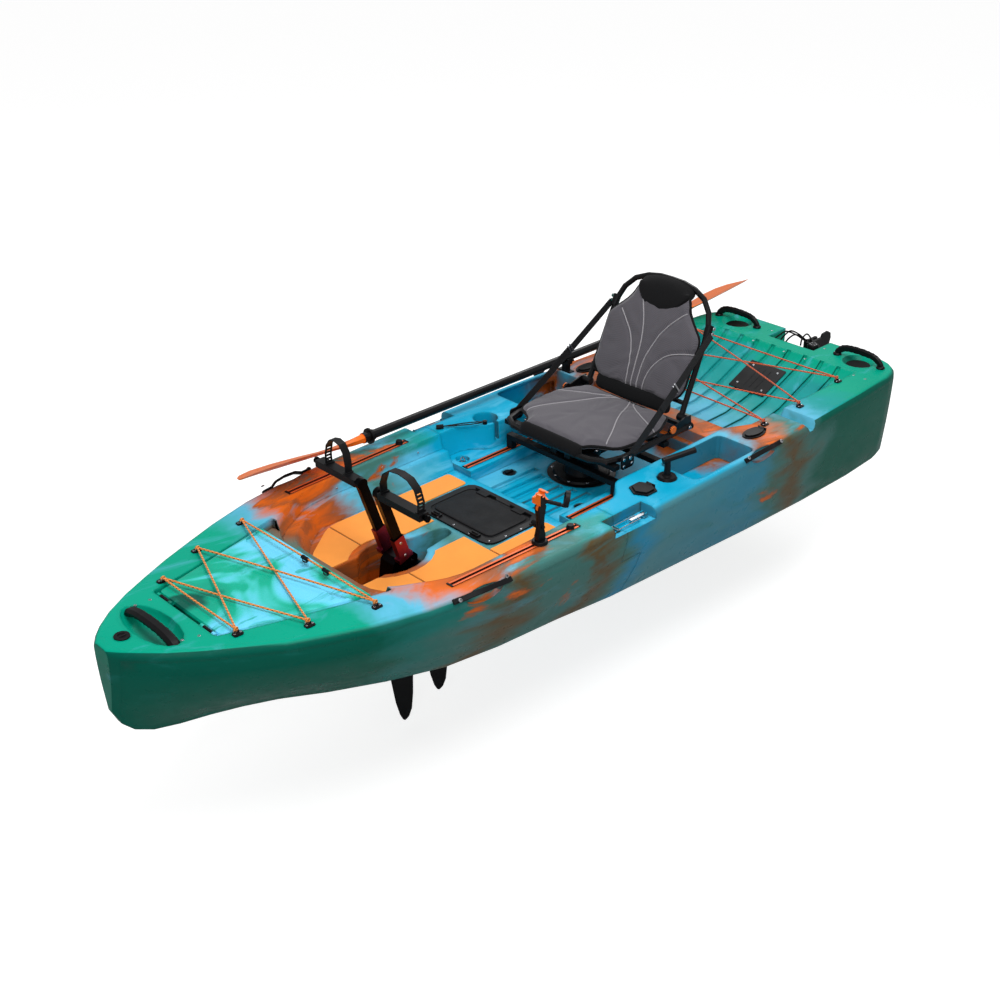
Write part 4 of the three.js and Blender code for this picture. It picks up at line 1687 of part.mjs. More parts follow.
function seatCushion() {
  const length = SEAT_AFT + OVERRUN / 2 - SEAT_FRONT;
  const at = (along, half) => [SEAT_FRONT + along * length, half * SEAT_HALF];
  const outline = divided(rounded(mirrored(CUSHION_SHARES.map(([along, half, r]) => [...at(along, half),
    r]).reverse()), 3),
    CUSHION_FACET);
  const fan = CUSHION_FAN_SHARES.map(([along, half]) => lineDistance(at(1, half / 3), at(along, half)));
  const bottom = SEAT_FRAME_Z + SEAT_TUBE + FIT_GAP;
  return pillow(outline, CUSHION_THICKNESS, CUSHION_CROWN, fan, (x, y, z) => point(x, y, bottom + z));
}

// Seat back, in its own plane: across the seat and up the back, leaning aft from the pivot
const backUp = point(-Math.sin(BACK_LEAN), 0, Math.cos(BACK_LEAN));
const backOut = point(Math.cos(BACK_LEAN), 0, Math.sin(BACK_LEAN));

function onBack(y, up, out) {
  return point(BACK_PIVOT_X, y, BACK_PIVOT_Z).addScaledVector(backUp, up).addScaledVector(backOut, out);
}

function seatBackFrame() {
  const spine = mirrored(BACK_HOOP_SHARES.map(([half, up]) => [up * BACK_HEIGHT, half * BACK_HALF]))
    .filter(([up, y], i, all) => i === 0 || up !== all[i - 1][0] || y !== all[i - 1][1])
    .map(([up, y]) => onBack(y, up, 0));
  const low = rodBetween(onBack(-BACK_HALF, BACK_HEIGHT / 9, 0), onBack(BACK_HALF, BACK_HEIGHT / 9, 0),
    BACK_TUBE * 4 / 5, 8);
  const bosses = both((side) => rodBetween(onBack(side * (BACK_HALF - BACK_TUBE), 0, 0),
    onBack(side * (SEAT_HALF - BACK_BRACKET / 2 - SLIDE_GAP), 0, 0), BACK_CAP_RADIUS, 12));
  return [tube(spine, BACK_TUBE, 22), low, ...bosses];
}

function seatBackPanel() {
  const outline = divided(rounded(mirrored(PANEL_SHARES.map(([half, up, r]) => [up * BACK_HEIGHT,
    half * BACK_HALF, r])), 3),
    CUSHION_FACET);
  const fan = PANEL_FAN_SHARES.map(([half, up]) => lineDistance([0, (half * BACK_HALF) / 3],
    [up * BACK_HEIGHT, half * BACK_HALF]));
  const offset = BACK_TUBE + FIT_GAP;
  return pillow(outline, PANEL_THICKNESS, PANEL_CROWN, fan, (up, y, out) => onBack(y, up, offset + out));
}

function seatStrap(side) {
  const start = point(STRAP_FOOT_X, side * (SEAT_HALF + SEAT_TUBE + STRAP_THICKNESS * 2), SEAT_FRAME_Z);
  const end = onBack(side * (BACK_HALF + BACK_TUBE + STRAP_THICKNESS), BACK_HEIGHT * STRAP_UP_SHARE, 0);
  const points = [0, 0.25, 0.5, 0.75, 1].map((t) => start.clone().lerp(end, t));
  return strip(points, point(0, side, 0), STRAP_WIDTH, STRAP_THICKNESS);
}

// Pedal drive
const wellFloor = WELL_FLOOR + FIT_GAP;

function driveHousing() {
  const plate = rounded(mirrored([
    [SLOT_AFT - DRIVE_FLANGE, SPINE_HALF, 0],
    [WELL_CENTRE_X - WELL_HALF_LENGTH / 5, DRIVE_FLANGE_HALF, DRIVE_FLANGE],
    [SLOT_FRONT + DRIVE_FLANGE, DRIVE_FLANGE_HALF, DRIVE_FLANGE],
  ]), 2);
  const flange = prism(plate, wellFloor, wellFloor + DRIVE_FLANGE);
  const spine = box(SLOT_AFT + DRIVE_FLANGE, SLOT_FRONT - DRIVE_FLANGE, -SPINE_HALF, SPINE_HALF,
    SPINE_BOTTOM, wellFloor + 1);
  const half = TOWER_LENGTH / 2;
  const tower = crossPrism([[CRANK_X - half, wellFloor], [CRANK_X + half * 5 / 4, wellFloor],
    [CRANK_X + half * 5 / 4, wellFloor + TOWER_RADIUS], [CRANK_X + half, CRANK_Z + TOWER_RADIUS * 3 / 5],
    [CRANK_X + half * 2 / 3, CRANK_Z + TOWER_RADIUS], [CRANK_X - half * 2 / 3, CRANK_Z + TOWER_RADIUS],
    [CRANK_X - half, CRANK_Z + TOWER_RADIUS * 3 / 5]], TOWER_HALF);
  const drums = both((end) => across(CRANK_X + end * DRUM_SPACING, 0,
    wellFloor + DRUM_RADIUS + DRIVE_FLANGE / 2,
    DRUM_RADIUS, DRUM_HALF * 3 / 2, 14));
  const shaft = across(CRANK_X, 0, CRANK_Z, DRIVE_SHAFT_RADIUS,
    (CRANK_INNER + CRANK_THICKNESS + SLIDE_GAP) * 2, 12);
  const nuts = both((side) => across(CRANK_X,
    side * (CRANK_INNER + CRANK_THICKNESS + SLIDE_GAP + DRIVE_SHAFT_RADIUS / 2),
    CRANK_Z, DRIVE_SHAFT_RADIUS * 5 / 3, DRIVE_SHAFT_RADIUS, 6));
  const finShaft = rodBetween(point(SLOT_AFT + DRIVE_FLANGE, 0, FIN_AXIS_Z),
    point(SLOT_FRONT - DRIVE_FLANGE, 0, FIN_AXIS_Z),
    FIN_SHAFT_RADIUS, 10);
  const hangers = [SLOT_AFT + DRIVE_FLANGE * 2, (FIN_FRONT_X + FIN_REAR_X - FIN_HUB_LENGTH) / 2,
    SLOT_FRONT - DRIVE_FLANGE * 2].map((x) => box(x - DRIVE_FLANGE, x + DRIVE_FLANGE, -FIN_HUB_RADIUS,
      FIN_HUB_RADIUS,
    FIN_AXIS_Z - FIN_SHAFT_RADIUS, SPINE_BOTTOM + 1));
  return [flange, spine, tower, ...drums, shaft, ...nuts, finShaft, ...hangers];
}

// The crank's own frame: along the arm from the pivot, and forward of it
function onCrank(up, forward, y) {
  const [s, c] = [Math.sin(CRANK_LEAN), Math.cos(CRANK_LEAN)];
  return point(CRANK_X + up * s + forward * c, y, CRANK_Z + up * c - forward * s);
}

const crankY = CRANK_INNER + CRANK_THICKNESS / 2;
const crankBar = (side, from, to, width, thickness) => strip([onCrank(from, 0, side * crankY), onCrank(to,
  0, side * crankY)],
  point(0, side, 0), width, thickness);

function crank(side) {
  const hub = across(CRANK_X, side * crankY, CRANK_Z, CRANK_HUB_RADIUS, CRANK_THICKNESS, 20);
  const bore = across(CRANK_X, side * crankY, CRANK_Z, DRIVE_SHAFT_RADIUS + SLIDE_GAP, CRANK_THICKNESS * 2,
    12);
  const inner = side * (CRANK_INNER + CRANK_THICKNESS - 1);
  const outer = side * (CRANK_INNER + CRANK_THICKNESS + PEDAL_LENGTH + CRANK_THICKNESS);
  const spindle = rodBetween(onCrank(CRANK_LENGTH, 0, inner), onCrank(CRANK_LENGTH, 0, outer),
    PEDAL_SPINDLE, 10);
  const end = rodBetween(onCrank(CRANK_LENGTH, 0, outer), onCrank(CRANK_LENGTH, 0,
    outer - side * PEDAL_SPINDLE),
    PEDAL_SPINDLE * 3 / 2, 10);
  const head = across(onCrank(CRANK_LENGTH, 0, 0).x, side * crankY, onCrank(CRANK_LENGTH, 0, 0).z,
    CRANK_WIDTH * 3 / 5, CRANK_THICKNESS, 16);
  return [crankBar(side, 0, CRANK_LENGTH, CRANK_WIDTH, CRANK_THICKNESS).add(hub).subtract(bore), spindle,
    end, head,
    crankClamp(side)];
}

// Length clamp bolted round the crank, flared at its foot and cut back beside the tower
function crankClamp(side) {
  const thickness = CRANK_THICKNESS + 2 * CLAMP_WALL;
  const sleeve = crankBar(side, CLAMP_BOTTOM, CLAMP_TOP, CRANK_WIDTH + 2 * CLAMP_WALL, thickness);
  const collar = crankBar(side, CLAMP_BOTTOM, CLAMP_BOTTOM + CLAMP_FLARE, CRANK_WIDTH + CLAMP_FLARE * 3 / 2,
    thickness);
  const innerFace = side * (TOWER_HALF + SLIDE_GAP * 2);
  const keepOut = box(0, HALF_LENGTH, Math.min(innerFace, 0), Math.max(innerFace, 0), 0, HULL_DEPTH * 2);
  return sleeve.add(collar).subtract(keepOut);
}

const pedalCentre = CRANK_INNER + CRANK_THICKNESS + SLIDE_GAP + PEDAL_LENGTH / 2;

function footPedal(side) {
  const at = onCrank(CRANK_LENGTH, 0, 0);
  const half = PEDAL_LENGTH / 2 - SLIDE_GAP;
  const y = side * pedalCentre;
  const body = box(at.x - PEDAL_DEPTH / 2, at.x + PEDAL_DEPTH / 2, y - half, y + half,
    at.z - PEDAL_THICKNESS / 2,
    at.z + PEDAL_THICKNESS / 2);
  return [body.subtract(across(at.x, y, at.z, PEDAL_SPINDLE + SLIDE_GAP, PEDAL_LENGTH * 2, 10)),
    footStrap(side)];
}

// Foot strap arch over the pedal by share of its half span and height
const FOOT_STRAP_SHARES = [[-1, 0], [-1.02, 0.35], [-0.85, 0.72], [-0.5, 0.94], [0, 1], [0.5, 0.94], [0.85,
  0.72],
  [1.02, 0.35], [1, 0]];

function footStrap(side) {
  const at = onCrank(CRANK_LENGTH, 0, 0);
  const base = at.z + PEDAL_THICKNESS / 2 - FOOT_STRAP_THICKNESS / 2;
  const span = side > 0 ? FOOT_STRAP_SPAN_PORT : FOOT_STRAP_SPAN_STARBOARD;
  const points = FOOT_STRAP_SHARES.map(([across, rise]) => point(at.x, side * pedalCentre
    + (across * span) / 2, base + rise * FOOT_STRAP_HEIGHT));
  const faces = points.map((p) => p.clone().sub(point(at.x, side * pedalCentre,
    base + FOOT_STRAP_HEIGHT / 3)));
  const band = strip(points, faces, FOOT_STRAP_WIDTH, FOOT_STRAP_THICKNESS);
  const slots = Array.from({ length: FOOT_STRAP_SLOTS }, (unused, i) => {
    const z = base + FOOT_STRAP_HEIGHT * (0.12 + 0.11 * i);
    return box(at.x - FOOT_STRAP_SLOT_WIDTH / 2, at.x + FOOT_STRAP_SLOT_WIDTH / 2, side * pedalCentre,
      side * (pedalCentre + span), z, z + FOOT_STRAP_THICKNESS * 3 / 2);
  });
  const feet = both((end) => box(at.x - PEDAL_DEPTH / 2, at.x + PEDAL_DEPTH / 2,
    side * pedalCentre + end * (span / 2 - FOOT_STRAP_THICKNESS * 2),
    side * pedalCentre + end * (span / 2 + FOOT_STRAP_THICKNESS), base,
      base + FOOT_STRAP_THICKNESS * 2));
  return band.subtract(join(slots)).add(join(feet));
}

// Fins: sections down the mast as shares of the length, with leading and trailing edge as shares of the chord
const FIN_SHARES = [
  [0.09, 0, 1], [0.3, 0.03, 1], [0.55, 0.12, 1.03], [0.78, 0.27, 1], [0.92, 0.42, 0.93], [0.985, 0.54, 0.8],
    [1, 0.6, 0.7],
];

function fin(front, length) {
  const rings = FIN_SHARES.map(([down, lead, trail], i) => {
    const [x0, x1] = [front - lead * FIN_CHORD, front - trail * FIN_CHORD];
    const z = FIN_AXIS_Z - down * length;
    const half = (FIN_THICKNESS / 2) * (1 - down / 2);
    const edge = half / 4;
    return [[x0, edge / 2], [lerp(x0, x1, 0.18), half], [lerp(x0, x1, 0.5), half * 2 / 3], [x1, edge], [x1,
      -edge],
      [lerp(x0, x1, 0.5), -half * 2 / 3], [lerp(x0, x1, 0.18), -half], [x0, -edge / 2]].map(([x,
        y]) => point(x, y, z));
  });
  const hubEnd = front - FIN_HUB_LENGTH;
  const at = (x) => point(x, 0, FIN_AXIS_Z);
  const hub = rodBetween(at(hubEnd), at(front), FIN_HUB_RADIUS, 14);
  const bore = rodBetween(at(hubEnd - 1), at(front + 1), FIN_SHAFT_RADIUS + SLIDE_GAP, 10);
  const mast = strip([at(front - FIN_HUB_RADIUS), point(front - FIN_HUB_RADIUS, 0,
    FIN_AXIS_Z - length * 0.12)],
    point(0, 1, 0), FIN_HUB_RADIUS * 3 / 2, FIN_THICKNESS);
  return loft(rings).add(mast).add(hub).subtract(bore);
}

// Steering handle and rudder
function tillerBase() {
  const sunk = HULL_WALL / 2;
  const base = HULL_DEPTH - sunk;
  return [
    cone(TILLER_X, TILLER_Y, base, TILLER_BASE_RADIUS, TILLER_BASE_RADIUS * 5 / 6,
      TILLER_BASE_HEIGHT * 2 / 3 + sunk),
    cone(TILLER_X, TILLER_Y, base, TILLER_BASE_RADIUS * 2 / 3, TILLER_STEM_RADIUS * 3 / 2,
      TILLER_BASE_HEIGHT + sunk, 12),
  ];
}

function tillerHandle() {
  const bottom = HULL_DEPTH + TILLER_BASE_HEIGHT + FIT_GAP * 2;
  const stem = cone(TILLER_X, TILLER_Y, bottom, TILLER_STEM_RADIUS * 5 / 4, TILLER_STEM_RADIUS,
    TILLER_HEIGHT - TILLER_BASE_HEIGHT, 12);
  const top = point(TILLER_X, TILLER_Y, HULL_DEPTH + TILLER_HEIGHT);
  const aim = point(Math.cos(TILLER_ANGLE), Math.sin(TILLER_ANGLE), 1 / 6).normalize();
  const handle = rodBetween(top.clone().addScaledVector(aim, -TILLER_STEM_RADIUS * 2),
    top.clone().addScaledVector(aim, TILLER_HANDLE_LENGTH), TILLER_HANDLE_RADIUS, 12);
  return [stem, handle];
}

const rudderFloor = NOTCH_FLOOR + FIT_GAP;
const rudderHeadBottom = rudderFloor + RUDDER_BRACKET_HEIGHT + FIT_GAP;
const rudderFlipZ = rudderHeadBottom + RUDDER_HEAD_HEIGHT / 2;

function rudderBracket() {
  const plate = box(RUDDER_X - RUDDER_HEAD_HALF / 2, NOTCH_FRONT - RUDDER_HEAD_HALF, -RUDDER_BRACKET_HALF,
    RUDDER_BRACKET_HALF,
    rudderFloor, rudderFloor + RUDDER_BRACKET_HEIGHT);
  const pin = post(RUDDER_X, 0, rudderFloor, RUDDER_PIN_RADIUS,
    RUDDER_BRACKET_HEIGHT + RUDDER_HEAD_HEIGHT + RUDDER_PIN_RADIUS, 10);
  const blocks = both((side) => box(RUDDER_X + RUDDER_HEAD_HALF * 2, NOTCH_FRONT - RUDDER_HEAD_HALF * 2,
    side * RUDDER_BRACKET_HALF / 2, side * RUDDER_BRACKET_HALF, rudderFloor, rudderFlipZ));
  return [plate, pin, ...blocks];
}

function rudderHead() {
  const top = rudderHeadBottom + RUDDER_HEAD_HEIGHT;
  const block = post(RUDDER_X, 0, rudderHeadBottom, RUDDER_HEAD_HALF * 4 / 3, RUDDER_HEAD_HEIGHT, 16);
  const cheek = both((side) => box(RUDDER_FLIP_X - RUDDER_HEAD_HALF, RUDDER_X,
    side * (RUDDER_BLADE_THICKNESS / 2 + SLIDE_GAP),
    side * RUDDER_HEAD_HALF, rudderHeadBottom, top));
  const bridge = box(RUDDER_X - RUDDER_HEAD_HALF, RUDDER_X, -RUDDER_HEAD_HALF, RUDDER_HEAD_HALF,
    rudderHeadBottom, top);
  const bore = post(RUDDER_X, 0, rudderHeadBottom - 1, RUDDER_PIN_RADIUS + SLIDE_GAP,
    RUDDER_HEAD_HEIGHT * 2, 10);
  const wings = box(RUDDER_X - RUDDER_PIN_RADIUS, RUDDER_X + RUDDER_PIN_RADIUS, -RUDDER_BRACKET_HALF,
    RUDDER_BRACKET_HALF,
    rudderHeadBottom, rudderHeadBottom + RUDDER_PIN_RADIUS);
  return block.add(join(cheek)).add(bridge).add(wings).subtract(bore);
}

function rudderBlade() {
  const disc = across(RUDDER_FLIP_X, 0, rudderFlipZ, RUDDER_HEAD_HALF, RUDDER_BLADE_THICKNESS, 14);
  const half = RUDDER_BLADE_THICKNESS / 2;
  const outline = RUDDER_SHARES.map(([along, up]) => [RUDDER_FLIP_X - along * RUDDER_BLADE_LENGTH,
    rudderFlipZ + up * RUDDER_BLADE_CHORD]);
  return disc.add(crossPrism(outline, half));
}

const single = {
  front_hull: [frontHull(), 'hull'],
  rear_hull: [rearHull(), 'hullRear'],
  bow_handle: [bowHandle(), 'charcoal'],
  drain_plug: [drainPlug(), 'black'],
  bow_hatch_cover: [bowHatchCover(), 'hull'],
  bow_bungee: [bowBungee(), 'bungee'],
  stern_bungee: [sternBungee(), 'bungee'],
  rod_mount_base: [rodMountBase(), 'black'],
  rod_mount_arm: [rodMountArm(), 'charcoal'],
  rod_mount_knob: [rodMountKnob(), 'black'],
  rod_cradle: [rodCradle(), 'charcoal'],
  centre_hatch_frame: [centreHatchFrame(), 'black'],
  centre_hatch_lid: [centreHatchLid(), 'charcoal'],
  cup_loop: [cupLoop(), 'black'],
  hex_cap: [holderCap(hexHingeX, HEX_Y, hexOutline(CAP_MARGIN)), 'gloss'],
  paddle_clip: [paddleClip(), 'black'],
  paddle_shaft: [paddleShaft(), 'gloss'],
  paddle_blade_front: [paddleBlade(SHAFT_FRONT, 1), 'orange'],
  paddle_blade_rear: [paddleBlade(SHAFT_AFT, -1), 'orange'],
  seat_stand: [seatStand(), 'gloss'],
  seat_swivel: [seatSwivel(), 'black'],
  seat_base_frame: [seatBaseFrame(), 'charcoal'],
  seat_cushion: [seatCushion(), 'mesh'],
  seat_back_frame: [seatBackFrame(), 'charcoal'],
  seat_back_panel: [seatBackPanel(), 'mesh'],
  drive_housing: [driveHousing(), 'gloss'],
  fin_front: [fin(FIN_FRONT_X, FIN_LENGTH), 'black'],
  fin_rear: [fin(FIN_REAR_X, FIN_LENGTH * FIN_REAR_SHARE), 'black'],
  tiller_handle: [tillerHandle(), 'black'],
  rudder_bracket: [rudderBracket(), 'black'],
  rudder_head: [rudderHead(), 'black'],
  rudder_blade: [rudderBlade(), 'black'],
};

const paired = {
  deck_pad: [deckPad, 'pad'],
  side_handle_front: [(side) => sideHandle(SIDE_HANDLE_FRONT_X, side), 'charcoal'],
  side_handle_rear: [(side) => sideHandle(SIDE_HANDLE_REAR_X, side), 'charcoal'],
  stern_handle: [sternHandle, 'charcoal'],
  gear_rail: [gearRail, 'rail'],
  seat_rail: [seatRail, 'rail'],
  rail_knob: [railKnob, 'black'],
  latch_lever: [latchLever, 'steel'],
  hatch_latch: [hatchLatch, 'black'],
  rod_holder: [rodHolder, 'black'],
  rod_holder_cap: [(side) => holderCap(holderHingeX, side * HOLDER_Y, holderOutline(HOLDER_X,
    side * HOLDER_Y, CAP_MARGIN)),
    'gloss'],
  seat_strap: [seatStrap, 'webbing'],
  crank: [crank, 'darkMetal'],
  foot_pedal: [footPedal, 'black'],
};

for (const [name, [parts, colour]] of Object.entries(single)) addPiece(name, parts, COLOURS[colour]);
for (const [name, [make, colour]] of Object.entries(paired)) {
  addPiece(`${name}_port`, make(1), COLOURS[colour]);
  addPiece(`${name}_starboard`, make(-1), COLOURS[colour]);
}

export default kayak;
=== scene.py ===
"""Finishes the two-piece fishing kayak: hull colours, soft goods, fittings, light and camera."""
import json
import math

import bmesh
import bpy
from bpy.props import FloatProperty, FloatVectorProperty, PointerProperty
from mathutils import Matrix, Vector
from mathutils.bvhtree import BVHTree


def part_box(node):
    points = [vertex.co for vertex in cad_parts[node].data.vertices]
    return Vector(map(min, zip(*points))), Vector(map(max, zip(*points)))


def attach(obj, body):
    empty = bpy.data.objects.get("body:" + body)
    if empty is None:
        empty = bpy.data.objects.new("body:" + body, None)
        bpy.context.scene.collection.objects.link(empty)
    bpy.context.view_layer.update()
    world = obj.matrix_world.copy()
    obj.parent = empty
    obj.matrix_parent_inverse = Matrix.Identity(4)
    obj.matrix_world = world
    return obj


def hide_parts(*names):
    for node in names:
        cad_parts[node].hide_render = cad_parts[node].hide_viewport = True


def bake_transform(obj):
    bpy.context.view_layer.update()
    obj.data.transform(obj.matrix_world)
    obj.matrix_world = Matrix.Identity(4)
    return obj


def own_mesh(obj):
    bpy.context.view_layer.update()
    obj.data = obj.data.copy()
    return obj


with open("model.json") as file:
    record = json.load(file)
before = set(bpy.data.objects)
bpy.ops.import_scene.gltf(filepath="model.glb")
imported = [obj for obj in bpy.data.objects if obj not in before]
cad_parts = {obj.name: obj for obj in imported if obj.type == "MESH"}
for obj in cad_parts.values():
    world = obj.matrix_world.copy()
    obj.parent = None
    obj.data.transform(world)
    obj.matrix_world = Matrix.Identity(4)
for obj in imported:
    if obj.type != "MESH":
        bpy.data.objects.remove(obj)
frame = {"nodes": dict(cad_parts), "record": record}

bl_info = {
    "name": "Fishing kayak finishes",
    "version": (1, 0, 0),
    "blender": (4, 5, 0),
    "location": "3D View > Sidebar > Kayak",
    "description": "Paints and fits out the packed kayak: hull, seat, drive, rigging and paddle",
    "category": "Object",
}

MM = 0.001
TURN = 2 * math.pi
UP = Vector((0, 0, 1))
FORE = Vector((1, 0, 0))
PORT = Vector((0, 1, 0))
SIDES = (("port", 1), ("starboard", -1))


# Colours

def tint(code):
    """A written colour such as #FF8000, as linear light."""
    parts = [int(code[i:i + 2], 16) / 255 for i in (1, 3, 5)]
    light = [c / 12.92 if c <= 0.04045 else ((c + 0.055) / 1.055) ** 2.4 for c in parts]
    return (*light, 1.0)


def paint(name, about, code):
    """A colour that the user can change."""
    return FloatVectorProperty(name=name, description=about, default=tint(code)[:3],
                               subtype="COLOR", size=3, min=0, max=1)


def length(name, about, metres):
    """A size that the user can change."""
    return FloatProperty(name=name, description=about, default=metres, unit="LENGTH")


class KayakHullColours(bpy.types.PropertyGroup):
    green: paint("Deck green", "Bow and stern deck", "#00A184")
    # On the sides of the bow and stern this green is partly painted shade.
    deep_green: paint("Deep green", "Darker swirls low on the bow and stern", "#00594A")
    cyan: paint("Cyan", "Middle of the hull", "#0BA8D0")
    sky: paint("Sky blue", "Paler swirls in the cyan", "#5FBBDB")
    silt: paint("Grey green", "Where the colours run together", "#467E78")
    sun: paint("Orange", "Orange patches", "#E06A1E")
    earth: paint("Brown orange", "Edges of the orange patches", "#985632")


class KayakSoftColours(bpy.types.PropertyGroup):
    mesh_grey: paint("Seat mesh", "Padded mesh of the seat", "#5E5B62")
    piping: paint("Piping", "Sewn piping on the seat", "#A9A6AB")
    binding: paint("Binding", "Black cloth round the seat pads", "#111113")
    webbing: paint("Webbing", "Seat straps", "#121214")
    foam: paint("Deck foam", "Foam pads in the footwell", "#FB9A37")
    cord_bow: paint("Bow cord", "Elastic cord on the bow", "#EE8E3B")
    cord_stern: paint("Stern cord", "Elastic cord on the stern", "#DD5B2C")


class KayakHardColours(bpy.types.PropertyGroup):
    black: paint("Black plastic", "Moulded fittings", "#0E0E10")
    tube: paint("Black tube", "Coated seat frame", "#0C0C0E")
    steel: paint("Steel", "Bolts, rings and levers", "#B4B5B9")
    maroon: paint("Clamp red", "Anodised clamps of the pedal arms", "#8C3145")
    rail: paint("Rail orange", "Anodised rails", "#E2652B")
    # The rail orange in painted shade, for the slots and the upright faces of the rails.
    rail_slot_shade: paint("Rail slot shade", "Inside of the rails", "#5A1D12")
    blade: paint("Blade orange", "Paddle blades and rod cradle", "#EC7018")


class KayakSizes(bpy.types.PropertyGroup):
    floor_level: length("Floor level", "Height of the floor", -0.405)
    soft_edge: length("Hull edge", "Softness of the moulded edges", 0.012)
    pipe: length("Piping", "Thickness of the seat piping", 0.0042)
    swell: length("Pad swell", "Furthest that a pad may swell", 0.008)
    lens: FloatProperty(name="Lens", description="Camera lens", default=50.5,
                        subtype="DISTANCE_CAMERA")


def chosen(group, name):
    """The colour that the user has chosen, with its opacity."""
    return (*getattr(getattr(bpy.context.scene, group), name), 1.0)


def hull_paint(name):
    """One of the hull colours."""
    return chosen("kayak_hull", name)


def soft_paint(name):
    """One of the colours of cloth, cord and foam."""
    return chosen("kayak_soft", name)


def hard_paint(name):
    """One of the colours of plastic and metal."""
    return chosen("kayak_hard", name)


def shade(colour, share):
    """The same colour, darker below 1 and paler above."""
    return tuple(min(1.0, c * share) for c in colour[:3]) + (1.0,)


# Finishes

class Finish:
    """A material under construction: its shader, and the patterns that feed it."""

    def __init__(self, name, **sockets):
        self.material = bpy.data.materials.new(name)
        self.material.use_nodes = True
        tree = self.material.node_tree
        self.nodes, self.links = tree.nodes, tree.links
        self.shader = self.nodes["Principled BSDF"]
        self.place = self.add("ShaderNodeTexCoord").outputs["Object"]
        self.relief = None
        for socket, value in sockets.items():
            self.shader.inputs[socket.replace("_", " ")].default_value = value

    def add(self, kind, **settings):
        """A new node with its settings."""
        node = self.nodes.new(kind)
        for key, value in settings.items():
            setattr(node, key, value)
        return node

    def feed(self, socket, source):
        """Links a node to the socket, or writes a value in it."""
        if hasattr(source, "is_output"):
            self.links.new(source, socket)
        else:
            socket.default_value = source

    def stretched(self, stretch, turn=(0, 0, 0)):
        """The place, scaled and turned."""
        node = self.add("ShaderNodeMapping")
        self.feed(node.inputs["Vector"], self.place)
        node.inputs["Scale"].default_value = stretch
        node.inputs["Rotation"].default_value = turn
        return node.outputs[0]

    def cloud(self, scale, detail=4.0, stretch=None, warp=0.0, rough=0.55):
        """Soft blotches; scale is how many there are in a metre."""
        node = self.add("ShaderNodeTexNoise")
        self.feed(node.inputs["Vector"], self.stretched(stretch) if stretch else self.place)
        node.inputs["Scale"].default_value = scale
        node.inputs["Detail"].default_value = detail
        node.inputs["Roughness"].default_value = rough
        node.inputs["Distortion"].default_value = warp
        return node.outputs["Fac"]

    def bands(self, scale, direction, place):
        """Even stripes across one direction."""
        node = self.add("ShaderNodeTexWave", bands_direction=direction)
        self.feed(node.inputs["Vector"], place)
        node.inputs["Scale"].default_value = scale
        return node.outputs["Fac"]

    def cells(self, scale, feature="F1"):
        """Small cells; scale is how many there are in a metre."""
        node = self.add("ShaderNodeTexVoronoi", feature=feature)
        self.feed(node.inputs["Vector"], self.place)
        node.inputs["Scale"].default_value = scale
        return node.outputs["Distance"]

    def parts(self, source):
        """The three parts of a place or a direction."""
        node = self.add("ShaderNodeSeparateXYZ")
        self.feed(node.inputs[0], source)
        return node.outputs[:3]

    def lay(self):
        """How far along a cord or strap a point lies, in metres, and how far round it."""
        return self.parts(self.add("ShaderNodeAttribute", attribute_name="run").outputs["Vector"])

    def sum(self, operation, first, second=0.0):
        """One sum of two values, or of one."""
        node = self.add("ShaderNodeMath", operation=operation)
        self.feed(node.inputs[0], first)
        self.feed(node.inputs[1], second)
        return node.outputs[0]

    def times(self, first, second):
        """The product of two values."""
        return self.sum("MULTIPLY", first, second)

    def span(self, value, low, high, to_low=0.0, to_high=1.0):
        """The value's run from low to high, laid over another run."""
        node = self.add("ShaderNodeMapRange", clamp=True)
        for socket, given in zip(node.inputs[:5], (value, low, high, to_low, to_high)):
            self.feed(socket, given)
        return node.outputs[0]

    def ramp(self, factor, stops):
        """Colours in a row, each at its own place."""
        node = self.add("ShaderNodeValToRGB")
        self.feed(node.inputs[0], factor)
        marks = node.color_ramp.elements
        while len(marks) < len(stops):
            marks.new(0.5)
        for mark, (place, colour) in zip(marks, stops):
            mark.position, mark.color = place, colour
        return node.outputs[0]

    def mix(self, factor, first, second, kind="MIX"):
        """The first colour giving way to the second."""
        node = self.add("ShaderNodeMix", data_type="RGBA", blend_type=kind)
        self.feed(node.inputs[0], factor)
        self.feed(node.inputs[6], first)
        self.feed(node.inputs[7], second)
        return node.outputs[2]

    def colour(self, source):
        """The colour of the surface."""
        self.feed(self.shader.inputs["Base Color"], source)
        return self

    def gloss(self, factor, low, high):
        """Roughness that wanders between low and high."""
        self.links.new(self.span(factor, 0.3, 0.7, low, high), self.shader.inputs["Roughness"])
        return self

    def bump(self, height, strength, depth):
        """Relief on top of the relief that is there already."""
        node = self.add("ShaderNodeBump")
        node.inputs["Strength"].default_value = strength
        node.inputs["Distance"].default_value = depth
        self.feed(node.inputs["Height"], height)
        if self.relief:
            self.links.new(self.relief, node.inputs["Normal"])
        self.relief = node.outputs[0]
        self.links.new(self.relief, self.shader.inputs["Normal"])
        return self

    def soft_edges(self, radius):
        """Edges that catch the light as if they were round."""
        node = self.add("ShaderNodeBevel", samples=4)
        node.inputs["Radius"].default_value = radius
        self.relief = node.outputs[0]
        self.links.new(self.relief, self.shader.inputs["Normal"])
        return self


def moulded(name, colour, roughness=0.42, grain=900, depth=0.00012, fade=1.5, shine=0.5):
    """Moulded plastic: fine grain, uneven gloss, and paler scuffs."""
    look = Finish(name, Roughness=roughness, Specular_IOR_Level=shine)
    blotch, fine = look.cloud(9, 5), look.cloud(grain, 2)
    scuffs = look.span(look.cloud(60, 8, rough=0.75, warp=0.6), 0.64, 0.74)
    body = look.mix(blotch, shade(colour, 0.82), shade(colour, 1.18))
    look.colour(look.mix(look.times(scuffs, 0.35), body, shade(colour, fade)))
    look.gloss(blotch, roughness - 0.07, roughness + 0.12)
    return look.bump(fine, 0.35, depth).material


